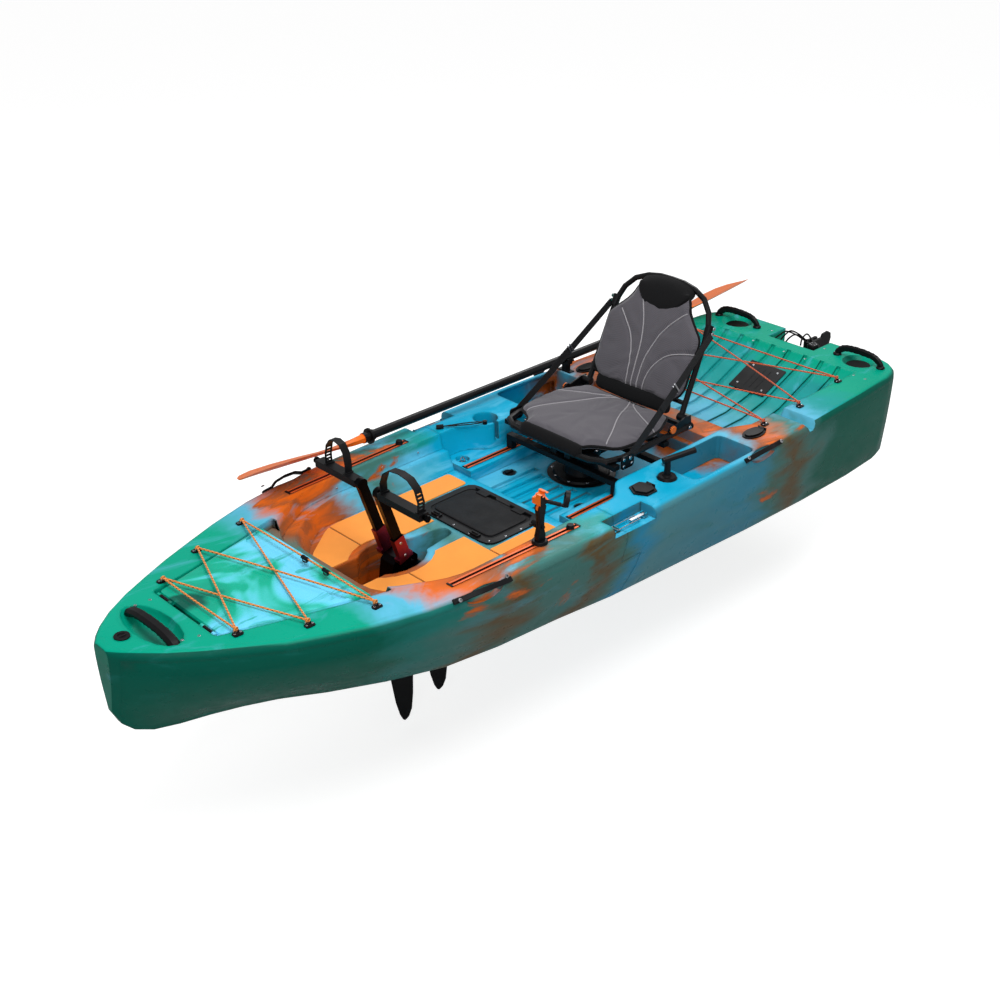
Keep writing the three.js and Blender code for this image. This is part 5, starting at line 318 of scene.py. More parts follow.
def metal(name, colour, roughness=0.24, brush=(1, 1, 40), metallic=1.0):
    """Brushed or anodised metal with a drawn grain and small scratches."""
    look = Finish(name, Metallic=metallic, Roughness=roughness)
    drawn = look.cloud(140, 3, stretch=brush)
    worn = look.cloud(16, 6)
    look.colour(look.mix(worn, shade(colour, 0.78), shade(colour, 1.12)))
    look.gloss(worn, roughness - 0.06, roughness + 0.16)
    return look.bump(drawn, 0.12, 0.0001).material


# Colours along the boat in metres from its middle, stern to bow: on the deck, on the sides and
# down in the wells. The low colours are the same colours in the shade of the sides.
DECK_PAINT = [(-1.18, "green"), (-1.06, "teal"), (-0.96, "sky"), (-0.86, "silt"), (-0.76, "sun"),
              (-0.66, "earth"), (-0.58, "sky"), (-0.4, "cyan"), (0.06, "cyan"), (0.14, "teal"),
              (0.3, "silt"), (0.52, "silt"), (0.6, "earth"), (0.72, "sun"), (0.8, "sky"),
              (0.95, "green")]
# On the sides the colours are painted shade; deep green at the bow and stern sides is partly
# painted shade.
SIDE_PAINT = [(-1.25, "deep_green"), (-1.0, "deep_green"), (-0.9, "low silt"), (-0.82, "low earth"),
              (-0.72, "low silt"), (-0.6, "low sky"), (-0.1, "low pale"), (0.02, "low cyan"),
              (0.1, "low silt"), (0.2, "low earth"), (0.28, "low silt"), (0.44, "low silt"),
              (0.56, "low earth"), (0.66, "low silt"), (0.76, "low teal"), (0.92, "deep_green")]
WELL_PAINT = [(-1.38, "green"), (-1.28, "teal"), (-1.1, "teal"), (-0.95, "sky"), (-0.8, "teal"),
              (-0.7, "sun"), (-0.6, "earth"), (-0.5, "cyan"), (0.1, "cyan"), (0.2, "sky"),
              (0.36, "silt"), (0.46, "sky"), (0.56, "earth"), (0.64, "sun"), (0.74, "earth"),
              (0.85, "silt")]
SHADED = {"silt": "#41706B", "earth": "#5E4A2C", "sky": "#2F829C", "cyan": "#2086AC",
          "pale": "#4B8590", "teal": "#1D7069"}
HALF_LENGTH = 1.55


def hull_paints():
    """The user's hull colours, two more, and copies of them in painted shade for the sides."""
    paints = {key: hull_paint(key) for key in KayakHullColours.__annotations__}
    paints["teal"] = tint("#149A98")
    paints["pale"] = shade(paints["sky"], 1.25)
    paints.update(("low " + key, tint(code)) for key, code in SHADED.items())
    return paints


def marbled(name):
    """Rotomoulded hull: colours that run into each other, on the deck and on the sides apart."""
    look = Finish(name, Roughness=0.3, Specular_IOR_Level=0.07)
    look.soft_edges(bpy.context.scene.kayak_sizes.soft_edge)
    paints = hull_paints()
    x, y, z = look.parts(look.place)
    drift = look.cloud(1.7, 5, stretch=(0.9, 1.2, 2.0), warp=1.0)
    smear = look.cloud(6.0, 6, stretch=(0.6, 1.0, 1.6), warp=1.5)
    wander = look.sum("ADD", x, look.span(drift, 0.25, 0.75, -0.12, 0.12))
    wander = look.sum("ADD", wander, look.span(smear, 0.2, 0.8, -0.06, 0.06))
    along = look.span(wander, -HALF_LENGTH, HALF_LENGTH)

    def along_boat(marks):
        return look.ramp(along, [((place + HALF_LENGTH) / (2 * HALF_LENGTH), paints[key])
                                 for place, key in marks])

    # Which way a face looks: out to the side, or up
    coordinates = next(node for node in look.nodes if node.type == "TEX_COORD")
    _, facing_port, facing_up = look.parts(coordinates.outputs["Normal"])
    outward = look.times(facing_port, look.sum("SIGN", y))
    outward = look.sum("SUBTRACT", outward, look.times(facing_up, 0.7))
    sides = look.span(outward, -0.5, 0.25)
    inside = look.times(look.span(z, 0.338, 0.325), look.span(outward, 0.1, -0.2))
    base = look.mix(inside, along_boat(DECK_PAINT), along_boat(WELL_PAINT))
    # The sides take the colours in painted shade.
    base = look.mix(sides, base, along_boat(SIDE_PAINT))

    # Pale swirls amidships, and wisps all over; on the sides they are in painted shade
    swirls = look.cloud(2.7, 7, stretch=(0.7, 1.3, 2.2), warp=2.2, rough=0.6)
    middle = look.times(look.span(along, 0.22, 0.3), look.span(along, 0.78, 0.68))
    base = look.mix(look.times(look.span(swirls, 0.53, 0.66, 0.0, 0.6), middle), base,
                    look.mix(sides, paints["pale"], paints["low pale"]))
    wisps = look.cloud(3.6, 7, stretch=(0.5, 1.1, 1.6), warp=2.6, rough=0.62)
    base = look.mix(look.span(wisps, 0.57, 0.7, 0.0, 0.5), base,
                    look.mix(sides, paints["sky"], paints["low teal"]))

    # Orange spots with brown edges, fore and aft of the seat, fewer on the sides
    spots = look.cloud(2.9, 6, stretch=(0.6, 1.2, 1.7), warp=2.0)
    fore = look.times(look.span(along, 0.52, 0.6), look.span(along, 0.8, 0.73))
    aft = look.times(look.span(along, 0.16, 0.21), look.span(along, 0.33, 0.28))
    spots = look.sum("ADD", spots, look.span(look.sum("MAXIMUM", fore, aft), 0, 1, -0.5, 0.0))
    spots = look.sum("SUBTRACT", spots, look.times(sides, 0.1))
    base = look.mix(look.span(spots, 0.5, 0.56), base, paints["earth"])
    base = look.mix(look.span(spots, 0.54, 0.62), base, paints["sun"])

    streaks = look.cloud(3.4, 7, stretch=(0.35, 1.0, 2.6), warp=1.4)
    base = look.mix(look.span(streaks, 0.35, 0.75, 0.0, 0.12), base,
                    shade(paints["deep_green"], 0.8), "MULTIPLY")
    look.colour(base)
    look.gloss(look.cloud(24, 5), 0.24, 0.4)
    look.bump(look.cloud(1100, 1), 0.05, 0.0001)
    look.bump(look.cloud(3.2, 2), 0.2, 0.003)
    return look.material


def woven(name, colour, pitch=0.0034, roughness=0.86, sheen=0.25, depth=0.0005, shine=0.3):
    """Padded mesh cloth: crossing threads, with a fine blotch and a soft sheen."""
    look = Finish(name, Roughness=roughness, Sheen_Weight=sheen, Sheen_Roughness=0.5,
                  Specular_IOR_Level=shine)
    bias = look.stretched((1, 1, 1), (0, 0, math.radians(45)))
    count = 1 / pitch / 3.2
    weave = look.times(look.bands(count, "X", bias), look.bands(count, "Y", bias))
    fuzz = look.cloud(620, 3)
    thread = look.mix(weave, shade(colour, 0.62), shade(colour, 1.22))
    worn = look.cloud(11, 5)
    look.colour(look.mix(look.span(worn, 0.3, 0.7, 0.0, 0.35), thread, shade(colour, 0.8)))
    look.bump(weave, 0.55, depth)
    return look.bump(fuzz, 0.25, 0.0002).material


WINDING = 420.0  # How far a strand turns in a metre of cord, in radians


def braided(name, colour, fleck):
    """Cord sheath: two sets of strands wound round the cord, with a dark tracer."""
    look = Finish(name, Roughness=0.72, Sheen_Weight=0.2)
    along, around, _ = look.lay()
    winding = look.times(along, WINDING)
    hands = [look.sum("SINE", look.sum("ADD", winding, look.times(around, hand * 2.0)))
             for hand in (1.0, -1.0)]
    strands = look.sum("MAXIMUM", *hands)
    tracer = look.span(look.sum("SINE", look.sum("ADD", winding, around)), 0.9, 0.96)
    body = look.mix(look.span(strands, -0.2, 1.0), shade(colour, 0.5), shade(colour, 1.15))
    look.colour(look.mix(look.times(tracer, 0.7), body, fleck))
    return look.bump(strands, 0.6, 0.0006).material


def webbed(name, colour, rib=0.0022):
    """Flat webbing: cross ribs, one every rib metres."""
    look = Finish(name, Roughness=0.8, Sheen_Weight=0.06, Specular_IOR_Level=0.2)
    ribs = look.sum("SINE", look.times(look.lay()[0], TURN / rib))
    look.colour(look.mix(look.span(ribs, -1, 1), shade(colour, 0.6), shade(colour, 1.7)))
    return look.bump(ribs, 0.5, 0.0005).material


def marbled_cover(name):
    """The hatch cover: green, with broad pale swirls that run into it."""
    look = Finish(name, Roughness=0.26, Specular_IOR_Level=0.2)
    drift = look.cloud(2.1, 3, stretch=(0.8, 1.3, 1.0), warp=1.4)
    wisps = look.cloud(5, 4, stretch=(0.6, 1.4, 1.0), warp=2.4)
    green, sky = hull_paint("green"), hull_paint("sky")
    base = look.ramp(drift, [(0.38, hull_paint("deep_green")), (0.45, green),
                             (0.525, shade(green, 1.15)), (0.56, tint("#3FC4BE")),
                             (0.63, shade(sky, 1.3))])
    look.colour(look.mix(look.span(wisps, 0.58, 0.66, 0.0, 0.7), base, green))
    look.gloss(look.cloud(20, 5), 0.2, 0.36)
    look.bump(look.cloud(420, 3), 0.1, 0.0002)
    return look.material


def foam(name, colour):
    """Closed-cell foam: small pits and a soft matt face."""
    look = Finish(name, Roughness=0.88, Sheen_Weight=0.15)
    pits, wear = look.cells(900), look.cloud(14, 6)
    look.colour(look.mix(wear, shade(colour, 0.9), shade(colour, 1.08)))
    look.bump(pits, 0.4, 0.0004)
    return look.bump(look.cloud(260, 4), 0.3, 0.0003).material


def grained_lid(name, colour):
    """Black lid with leather-like graining."""
    look = Finish(name, Roughness=0.5, Specular_IOR_Level=0.15)
    cells, wear = look.cells(420, "DISTANCE_TO_EDGE"), look.cloud(12, 6)
    look.colour(look.mix(wear, shade(colour, 0.8), shade(colour, 1.6)))
    look.gloss(wear, 0.42, 0.62)
    look.bump(look.span(cells, 0.0, 0.25), 0.35, 0.0005)
    return look.bump(look.cloud(900, 3), 0.3, 0.0002).material


def blade_skin(name, colour):
    """Moulded blade: glossy orange, a little clouded, with long flow lines."""
    look = Finish(name, Roughness=0.3, Specular_IOR_Level=0.3)
    flow, wear = look.cloud(20, 5, stretch=(0.15, 1, 1)), look.cloud(40, 8, rough=0.75)
    look.colour(look.mix(look.span(flow, 0.3, 0.7), shade(colour, 0.82), shade(colour, 1.12)))
    look.gloss(wear, 0.24, 0.42)
    return look.bump(wear, 0.15, 0.0003).material


MAKERS = {
    "hull front": lambda: marbled("Hull front"),
    "hull rear": lambda: marbled("Hull rear"),
    "hatch cover": lambda: marbled_cover("Hatch cover"),
    "deck foam": lambda: foam("Deck foam", soft_paint("foam")),
    "foam groove": lambda: foam("Foam groove", shade(soft_paint("foam"), 0.28)),
    "bow cord": lambda: braided("Bow cord", soft_paint("cord_bow"), (0.02, 0.02, 0.02, 1)),
    "stern cord": lambda: braided("Stern cord", soft_paint("cord_stern"), (0.02, 0.02, 0.02, 1)),
    "black": lambda: moulded("Black plastic", hard_paint("black"), 0.42, fade=2.6, shine=0.17),
    # Dark plastic for the steering cords, and painted shade in bolt sockets and in the stern handle
    # dishes.
    "dark": lambda: moulded("Dark cord and painted recess shade", shade(hard_paint("black"), 0.5), 0.6, shine=0.1),
    "lid": lambda: grained_lid("Hatch lid", hard_paint("black")),
    "tube": lambda: moulded("Coated tube", hard_paint("tube"), 0.28, 1500, 0.00006, 3.0, 0.24),
    "fin": lambda: moulded("Fin rubber", shade(hard_paint("black"), 0.9), 0.5, fade=2.2,
                           shine=0.15),
    "housing": lambda: metal("Drive housing", shade(hard_paint("black"), 1.1), 0.35),
    "steel": lambda: metal("Steel", hard_paint("steel"), 0.2),
    "lever steel": lambda: metal("Lever steel", hard_paint("steel"), 0.22),
    "maroon": lambda: metal("Clamp red", hard_paint("maroon"), 0.3),
    "crank": lambda: metal("Pedal arm", shade(hard_paint("black"), 1.3), 0.32),
    "rail": lambda: metal("Rail orange", hard_paint("rail"), 0.34, brush=(1, 40, 40),
                          metallic=0.45),
    # The rail orange in painted shade, for the slots
    "rail slot shade": lambda: metal("Rail slot shade", hard_paint("rail_slot_shade"), 0.5, metallic=0.3),
    "blade": lambda: blade_skin("Paddle blade", hard_paint("blade")),
    "cradle": lambda: moulded("Rod cradle", hard_paint("blade"), 0.3),
    "seat mesh": lambda: woven("Seat mesh", soft_paint("mesh_grey")),
    "piping": lambda: woven("Piping", soft_paint("piping"), 0.0016, 0.75),
    "binding": lambda: woven("Binding", soft_paint("binding"), 0.0018, 0.85, 0.05, 0.0003, 0.15),
    "webbing": lambda: webbed("Webbing", soft_paint("webbing")),
    "shaft": lambda: moulded("Paddle shaft", hard_paint("black"), 0.28, 1800, 0.00005, 2.4, 0.22),
}

FINISHES = {}


def finish(name):
    """A finish by its name, made the first time it is asked for."""
    if name not in FINISHES:
        FINISHES[name] = MAKERS[name]()
    return FINISHES[name]


# Shapes, in millimetres

def curve_through(points, steps):
    """A smooth line through the points, with so many steps from each to the next."""
    marks = [Vector(p) for p in points]
    count = len(marks)
    line = []
    for i in range(count - 1):
        before, here, there, after = (marks[max(0, min(count - 1, i + k))] for k in (-1, 0, 1, 2))
        for step in range(steps):
            t = step / steps
            line.append(0.5 * (2 * here + (there - before) * t
                               + (2 * before - 5 * here + 4 * there - after) * t * t
                               + (3 * here - before - 3 * there + after) * t ** 3))
    return line + [marks[-1]]


def round_turn(count):
    """Angles all round a turn."""
    return [TURN * k / count for k in range(count)]


def disc(radius, sides):
    """A round cross-section."""
    return [(radius * math.cos(a), radius * math.sin(a)) for a in round_turn(sides)]


def slab(width, height, corner=0.3):
    """A rectangle with its corners cut, as a cross-section."""
    u, v, c = width / 2, height / 2, min(width, height) * corner
    return [(u, v - c), (u - c, v), (c - u, v), (-u, v - c),
            (-u, c - v), (c - u, -v), (u - c, -v), (u, c - v)]


def frames_along(path, up=None, closed=False):
    """Direction, side and upright at each point of a path, without needless twist."""
    count = len(path)
    rows, upright = [], None
    for i, here in enumerate(path):
        ahead = path[(i + 1) % count] if closed or i + 1 < count else here
        behind = path[i - 1] if closed or i > 0 else here
        aim = (ahead - behind).normalized()
        if up is not None:
            hint = Vector(up)
        elif upright is None:
            hint = UP if abs(aim.z) < 0.9 else FORE
        else:
            hint = upright
        side = hint.cross(aim).normalized()
        upright = aim.cross(side).normalized()
        rows.append((aim, side, upright))
    return rows


class Shape:
    """Collects the points and faces of one piece; a face's kind is the number of its finish."""

    def __init__(self):
        self.points, self.faces, self.kinds, self.runs = [], [], [], []

    def take(self, points, faces, kind=0, runs=None):
        """Adds points and faces; runs say how far along and round a sweep each point lies."""
        start = len(self.points)
        self.points += [Vector(p) for p in points]
        self.faces += [[start + i for i in face] for face in faces]
        self.kinds += [kind] * len(faces)
        self.runs += runs or [(0, 0, 0)] * len(points)
        return self

    def rings(self, rings, kind=0, closed=False, caps=True, runs=None):
        """Skins a row of rings that have the same count."""
        wide, count = len(rings[0]), len(rings)
        faces = []
        for i in range(count if closed else count - 1):
            a, b = i * wide, ((i + 1) % count) * wide
            faces += [[a + j, a + (j + 1) % wide, b + (j + 1) % wide, b + j] for j in range(wide)]
        if caps and not closed:
            faces += [list(range(wide - 1, -1, -1)), list(range((count - 1) * wide, count * wide))]
        return self.take([p for ring in rings for p in ring], faces, kind, runs)

    def sweep(self, path, section, kind=0, closed=False, up=None, size=None, caps=True):
        """Carries a cross-section along a path; size(share) scales it."""
        path = [Vector(p) for p in path]
        far, rings, runs = 0.0, [], []
        for i, (here, (aim, side, upright)) in enumerate(zip(path, frames_along(path, up, closed))):
            far += (here - path[i - 1]).length if i else 0
            grow = size(i / max(1, len(path) - 1)) if size else 1
            rings.append([here + side * (u * grow) + upright * (v * grow) for u, v in section])
            runs += [(far * MM, a, 0) for a in round_turn(len(section))]
        return self.rings(rings, kind, closed, caps, runs)

    def tube(self, path, radius, sides=10, kind=0, **how):
        """A round sweep."""
        return self.sweep(path, disc(radius, sides), kind, **how)

    def turned(self, centre, axis, profile, sides=20, kind=0):
        """A turned form: profile is (radius, height) along the axis."""
        axis = Vector(axis).normalized()
        side = axis.orthogonal().normalized()
        other = axis.cross(side)
        rings = [[Vector(centre) + axis * high + side * (radius * math.cos(a))
                  + other * (radius * math.sin(a)) for a in round_turn(sides)]
                 for radius, high in profile]
        return self.rings(rings, kind)

    def bolt(self, centre, axis, radius, kind=1, height=None):
        """A domed screw head with a hexagonal socket."""
        high = height or radius * 0.5
        self.turned(centre, axis, [(radius, 0), (radius, high * 0.4), (radius * 0.82, high * 0.85),
                                   (radius * 0.5, high)], 14, kind)
        # The socket is a small hexagon of the third finish; where that is dark or black, it is
        # painted shade in the hole.
        top = Vector(centre) + Vector(axis).normalized() * high
        return self.turned(top, axis, [(radius * 0.42, -high * 0.1), (radius * 0.38, high * 0.06)],
                           6, 2)

    def box(self, centre, size, kind=0):
        """An upright block."""
        half = Vector(size) / 2
        corners = [Vector(centre) + Vector((x * half.x, y * half.y, z * half.z))
                   for x in (-1, 1) for y in (-1, 1) for z in (-1, 1)]
        return self.take(corners, [[0, 1, 3, 2], [4, 6, 7, 5], [0, 4, 5, 1],
                                   [2, 3, 7, 6], [0, 2, 6, 4], [1, 5, 7, 3]], kind)

    def plate(self, outline, low, high, kind=0, place=None):
        """An upright prism on an outline, or turned by place(u, v, w)."""
        place = place or (lambda u, v, w: Vector((u, v, w)))
        return self.rings([[place(u, v, w) for u, v in outline] for w in (low, high)], kind)


def rounded_box(u0, u1, v0, v1, corner, steps=4):
    """The outline of a rectangle with round corners."""
    outline = []
    for u, v, start in ((u1 - corner, v1 - corner, 0), (u0 + corner, v1 - corner, 90),
                        (u0 + corner, v0 + corner, 180), (u1 - corner, v0 + corner, 270)):
        outline += [(u + corner * math.cos(math.radians(start + 90 * k / steps)),
                     v + corner * math.sin(math.radians(start + 90 * k / steps)))
                    for k in range(steps + 1)]
    return outline


def place_piece(obj, body, replaced):
    """Puts a piece on its body, in place of its nodes."""
    if body:
        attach(obj, body)
    if replaced:
        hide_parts(*replaced)
    return obj


def smooth_by_angle(mesh, degrees):
    """Smooth shading, with the edges above the angle kept sharp."""
    mesh.polygons.foreach_set("use_smooth", [True] * len(mesh.polygons))
    mesh.set_sharp_from_angle(angle=math.radians(degrees))


def round_edges(obj, width, degrees):
    """Rounds the edges of a hard piece and evens its shading."""
    if width:
        bevel = obj.modifiers.new("Rounded edges", "BEVEL")
        bevel.width, bevel.segments, bevel.limit_method = width * MM, 2, "ANGLE"
        bevel.angle_limit, bevel.harden_normals = math.radians(degrees), False
    even = obj.modifiers.new("Even shading", "WEIGHTED_NORMAL")
    even.keep_sharp = True


def in_scene(name, data):
    """A new object in the scene."""
    obj = bpy.data.objects.new(name, data)
    bpy.context.scene.collection.objects.link(obj)
    return obj


def subdivide(obj):
    """Rounds a soft piece by one level of subdivision."""
    smoother = obj.modifiers.new("Smoother", "SUBSURF")
    smoother.levels = smoother.render_levels = 1


def build(name, shape, finishes, body, replaced=(), edge=0.0, degrees=35, soft=False):
    """Makes the piece from its shape, rides it on the body and replaces the nodes."""
    mesh = bpy.data.meshes.new(name)
    mesh.from_pydata([p * MM for p in shape.points], [], shape.faces)
    for look in finishes:
        mesh.materials.append(finish(look))
    mesh.polygons.foreach_set("material_index", [min(k, len(finishes) - 1) for k in shape.kinds])
    mesh.attributes.new("run", "FLOAT_VECTOR", "POINT").data.foreach_set(
        "vector", [c for run in shape.runs for c in run])
    work = bmesh.new()
    work.from_mesh(mesh)
    bmesh.ops.recalc_face_normals(work, faces=work.faces)
    work.to_mesh(mesh)
    work.free()
    smooth_by_angle(mesh, degrees)
    obj = in_scene(name, mesh)
    if soft:
        subdivide(obj)
    else:
        round_edges(obj, edge, degrees)
    return place_piece(obj, body, replaced)


NODE_BODIES = {node: body for body, nodes in frame["record"]["behaviour"]["bodies"].items()
               for node in nodes}
WELD_GAP = 0.01
FLAT_ANGLE = math.radians(0.6)


def clean_copy(node, name=None):
    """The node's mesh as one welded skin, in its own object."""
    mesh = frame["nodes"][node].data.copy()
    mesh.name = name or node + ".finished"
    if "custom_normal" in mesh.attributes:
        mesh.attributes.remove(mesh.attributes["custom_normal"])
    work = bmesh.new()
    work.from_mesh(mesh)
    bmesh.ops.remove_doubles(work, verts=work.verts, dist=WELD_GAP * MM)
    bmesh.ops.dissolve_limit(work, angle_limit=FLAT_ANGLE, verts=work.verts, edges=work.edges)
    work.to_mesh(mesh)
    work.free()
    mesh.materials.clear()
    return in_scene(mesh.name, mesh)


def refine(node, look, edge=0.6, degrees=35, second=None, where=None):
    """Stands a finished copy in for the node, with a second finish where the test picks it."""
    obj = clean_copy(node)
    mesh = obj.data
    mesh.materials.append(finish(look))
    if second:
        mesh.materials.append(finish(second))
        for face in mesh.polygons:
            face.material_index = int(where(face.center / MM, face))
    smooth_by_angle(mesh, degrees)
    round_edges(obj, edge, degrees)
    return place_piece(obj, NODE_BODIES[node], [node])


class KayakStep:
    """One step of the work: its make does it."""
    bl_options = {"REGISTER", "UNDO"}

    def execute(self, context):
        self.make(context)
        return {"FINISHED"}


# Stage

CAMERA_PLACE = (2.865, 2.821, 2.427)
CAMERA_DIP = 28.87
CAMERA_COURSE = 135.85
# Name, place, aim, width of the lamp in metres, and watts
LAMPS = [("Key light", (0.6, 1.6, 5.2), (0, 0, 0.2), 3.4, 205),
         ("Fill light", (4.2, 3.6, 2.6), (0.2, 0, 0.2), 3.0, 55),
         ("Back light", (-3.6, -2.4, 3.6), (-0.2, 0, 0.3), 2.6, 60)]
DAYLIGHT = 0.44
MIRRORED = 0.05
FLOOR_REACH = 30
FLOOR_GREY = 0.5
FLOOR_GLOW = 0.74


class KAYAK_OT_stage(KayakStep, bpy.types.Operator):
    """Sets the pale floor, the soft studio light and the camera"""
    bl_idname = "kayak.stage"
    bl_label = "Floor, light and camera"

    def sky(self, scene):
        """A white surround that lights the boat less than it shows."""
        world = bpy.data.worlds.new("Studio")
        world.use_nodes = True
        scene.world = world
        nodes, links = world.node_tree.nodes, world.node_tree.links
        rays, ground = nodes.new("ShaderNodeLightPath"), nodes["Background"]

        def joined(operation, first, second):
            node = nodes.new("ShaderNodeMath")
            node.operation = operation
            links.new(first, node.inputs[0])
            if hasattr(second, "is_output"):
                links.new(second, node.inputs[1])
            else:
                node.inputs[1].default_value = second
            return node.outputs[0]

        mirrored = joined("MULTIPLY", rays.outputs["Is Glossy Ray"], MIRRORED)
        seen = joined("MAXIMUM", rays.outputs["Is Camera Ray"], mirrored)
        seen = joined("MAXIMUM", seen, rays.outputs["Is Transmission Ray"])
        strength = nodes.new("ShaderNodeMapRange")
        strength.inputs["To Min"].default_value = DAYLIGHT
        strength.inputs["To Max"].default_value = 1.0
        links.new(seen, strength.inputs["Value"])
        links.new(strength.outputs[0], ground.inputs["Strength"])
        ground.inputs["Color"].default_value = (1, 1, 1, 1)

    def floor(self, level):
        """A plain pale floor that keeps the boat's shadow."""
        ground = bpy.data.meshes.new("Floor")
        corners = ((-1, -1), (1, -1), (1, 1), (-1, 1))
        ground.from_pydata([(x * FLOOR_REACH, y * FLOOR_REACH, level) for x, y in corners], [],
                           [(0, 1, 2, 3)])
        look = bpy.data.materials.new("Pale floor")
        look.use_nodes = True
        nodes, links = look.node_tree.nodes, look.node_tree.links
        shader, rays = nodes["Principled BSDF"], nodes.new("ShaderNodeLightPath")
        shader.inputs["Base Color"].default_value = (FLOOR_GREY, FLOOR_GREY, FLOOR_GREY, 1)
        shader.inputs["Roughness"].default_value = 0.9
        shader.inputs["Emission Color"].default_value = (1, 1, 1, 1)
        glow = nodes.new("ShaderNodeMath")
        glow.operation = "MULTIPLY"
        glow.inputs[1].default_value = FLOOR_GLOW
        links.new(rays.outputs["Is Camera Ray"], glow.inputs[0])
        links.new(glow.outputs[0], shader.inputs["Emission Strength"])
        ground.materials.append(look)
        in_scene("Floor", ground)

    def lamp(self, name, place, aim, width, power):
        """A round soft lamp that looks at its aim."""
        data = bpy.data.lights.new(name, "AREA")
        data.shape, data.size, data.energy = "DISK", width, power
        obj = in_scene(name, data)
        obj.location = place
        obj.rotation_euler = (Vector(aim) - Vector(place)).to_track_quat("-Z", "Y").to_euler()

    def make(self, context):
        scene, sizes = context.scene, context.scene.kayak_sizes
        scene.view_settings.view_transform = "Standard"
        self.sky(scene)
        self.floor(sizes.floor_level)
        for lamp in LAMPS:
            self.lamp(*lamp)
        data = bpy.data.cameras.new("Camera")
        data.lens, data.sensor_width = sizes.lens, 36
        camera = in_scene("Camera", data)
        camera.location = CAMERA_PLACE
        camera.rotation_euler = (math.radians(90 - CAMERA_DIP), 0, math.radians(CAMERA_COURSE))
        scene.camera = camera


# Hull

# Round fittings that are part of the rear module: place, reach and lowest point
STEERING_BASE = (-238, 381, 37, 349.9)
HEXAGON_BASE = (-123, 381, 46, 350.1)
SCUPPER_PLUG = (-78, 166, 24, 217)
LEAF_FACE = 0.002
KEEPER_FACE = 0.0004
FITTING_FACE = 0.008
PAD_GROOVE = 243


def near_fitting(place, fitting):
    """Whether a place is on the fitting, to port or to starboard."""
    x, y, reach, low = fitting
    return math.hypot(place.x - x, abs(place.y) - y) < reach and place.z > low


class KAYAK_OT_hull(KayakStep, bpy.types.Operator):
    """Finishes the two hull modules, the bow hatch cover and the foam deck pads"""
    bl_idname = "kayak.hull"
    bl_label = "Hull"

    def hinge_or_keeper(self, place, face):
        """The black hinge leaves of the bow hatch and the keepers of the toggle latches."""
        x, y, z = place.x, abs(place.y), place.z
        leaf = 1272 < x < 1304 and 78 < y < 132 and z > 346 and face.area < LEAF_FACE
        keeper = 104 < x < 128 and 444 < y < 466 and 316 < z < 346 and face.area < KEEPER_FACE
        return leaf or keeper

    def plug_or_base(self, place, face):
        """The black scupper plugs, the steering base and the hexagonal base."""
        plug = near_fitting(place, SCUPPER_PLUG)
        base = place.y > 0 and face.normal.z > -0.5 and near_fitting(place, STEERING_BASE)
        hexagon = place.y > 0 and near_fitting(place, HEXAGON_BASE)
        return face.area < FITTING_FACE and (plug or base or hexagon)

    def groove(self, place, face):
        """The floor of the grooves in the deck pads."""
        return place.z < PAD_GROOVE and face.normal.z > 0.5

    def make(self, context):
        module = dict(edge=0, degrees=32, second="black")
        refine("front_hull", "hull front", where=self.hinge_or_keeper, **module)
        refine("rear_hull", "hull rear", where=self.plug_or_base, **module)
        refine("bow_hatch_cover", "hatch cover", edge=1.5, degrees=30)
        for side, _ in SIDES:
            pad = refine("deck_pad_" + side, "deck foam", edge=0.5, second="foam groove",
                         where=self.groove)


# Deck fittings

BOLTED = ["black", "steel", "dark"]
CORD_RADIUS = 2.9
# Where the pad-eyes stand at the bow and at the stern, to port
PAD_EYES = [(1249.9, 180.1), (1083.0, 266.0), (894.6, 316.2),
            (-772.5, 365.0), (-979.5, 363.1), (-1254.5, 333.8)]
# Height of the deck along the boat
DECK_MARKS = [(-1545, 350), (0, 350), (927, 350), (1081.5, 353.5), (1174.2, 357), (1266.9, 364),
              (1359.6, 371), (1436.9, 376.2), (1490.9, 379.8), (1545, 378)]


def deck_height(x):
    """How high the deck lies there."""
    for (x0, z0), (x1, z1) in zip(DECK_MARKS, DECK_MARKS[1:]):
        if x <= x1:
            return z0 + (z1 - z0) * (x - x0) / (x1 - x0)
    return DECK_MARKS[-1][1]


def cord_hook(index, side):
    """Where the cord hangs in the ring of a pad-eye."""
    x, y = PAD_EYES[index]
    return Vector((x, side * (y - 7), deck_height(x) + 15))


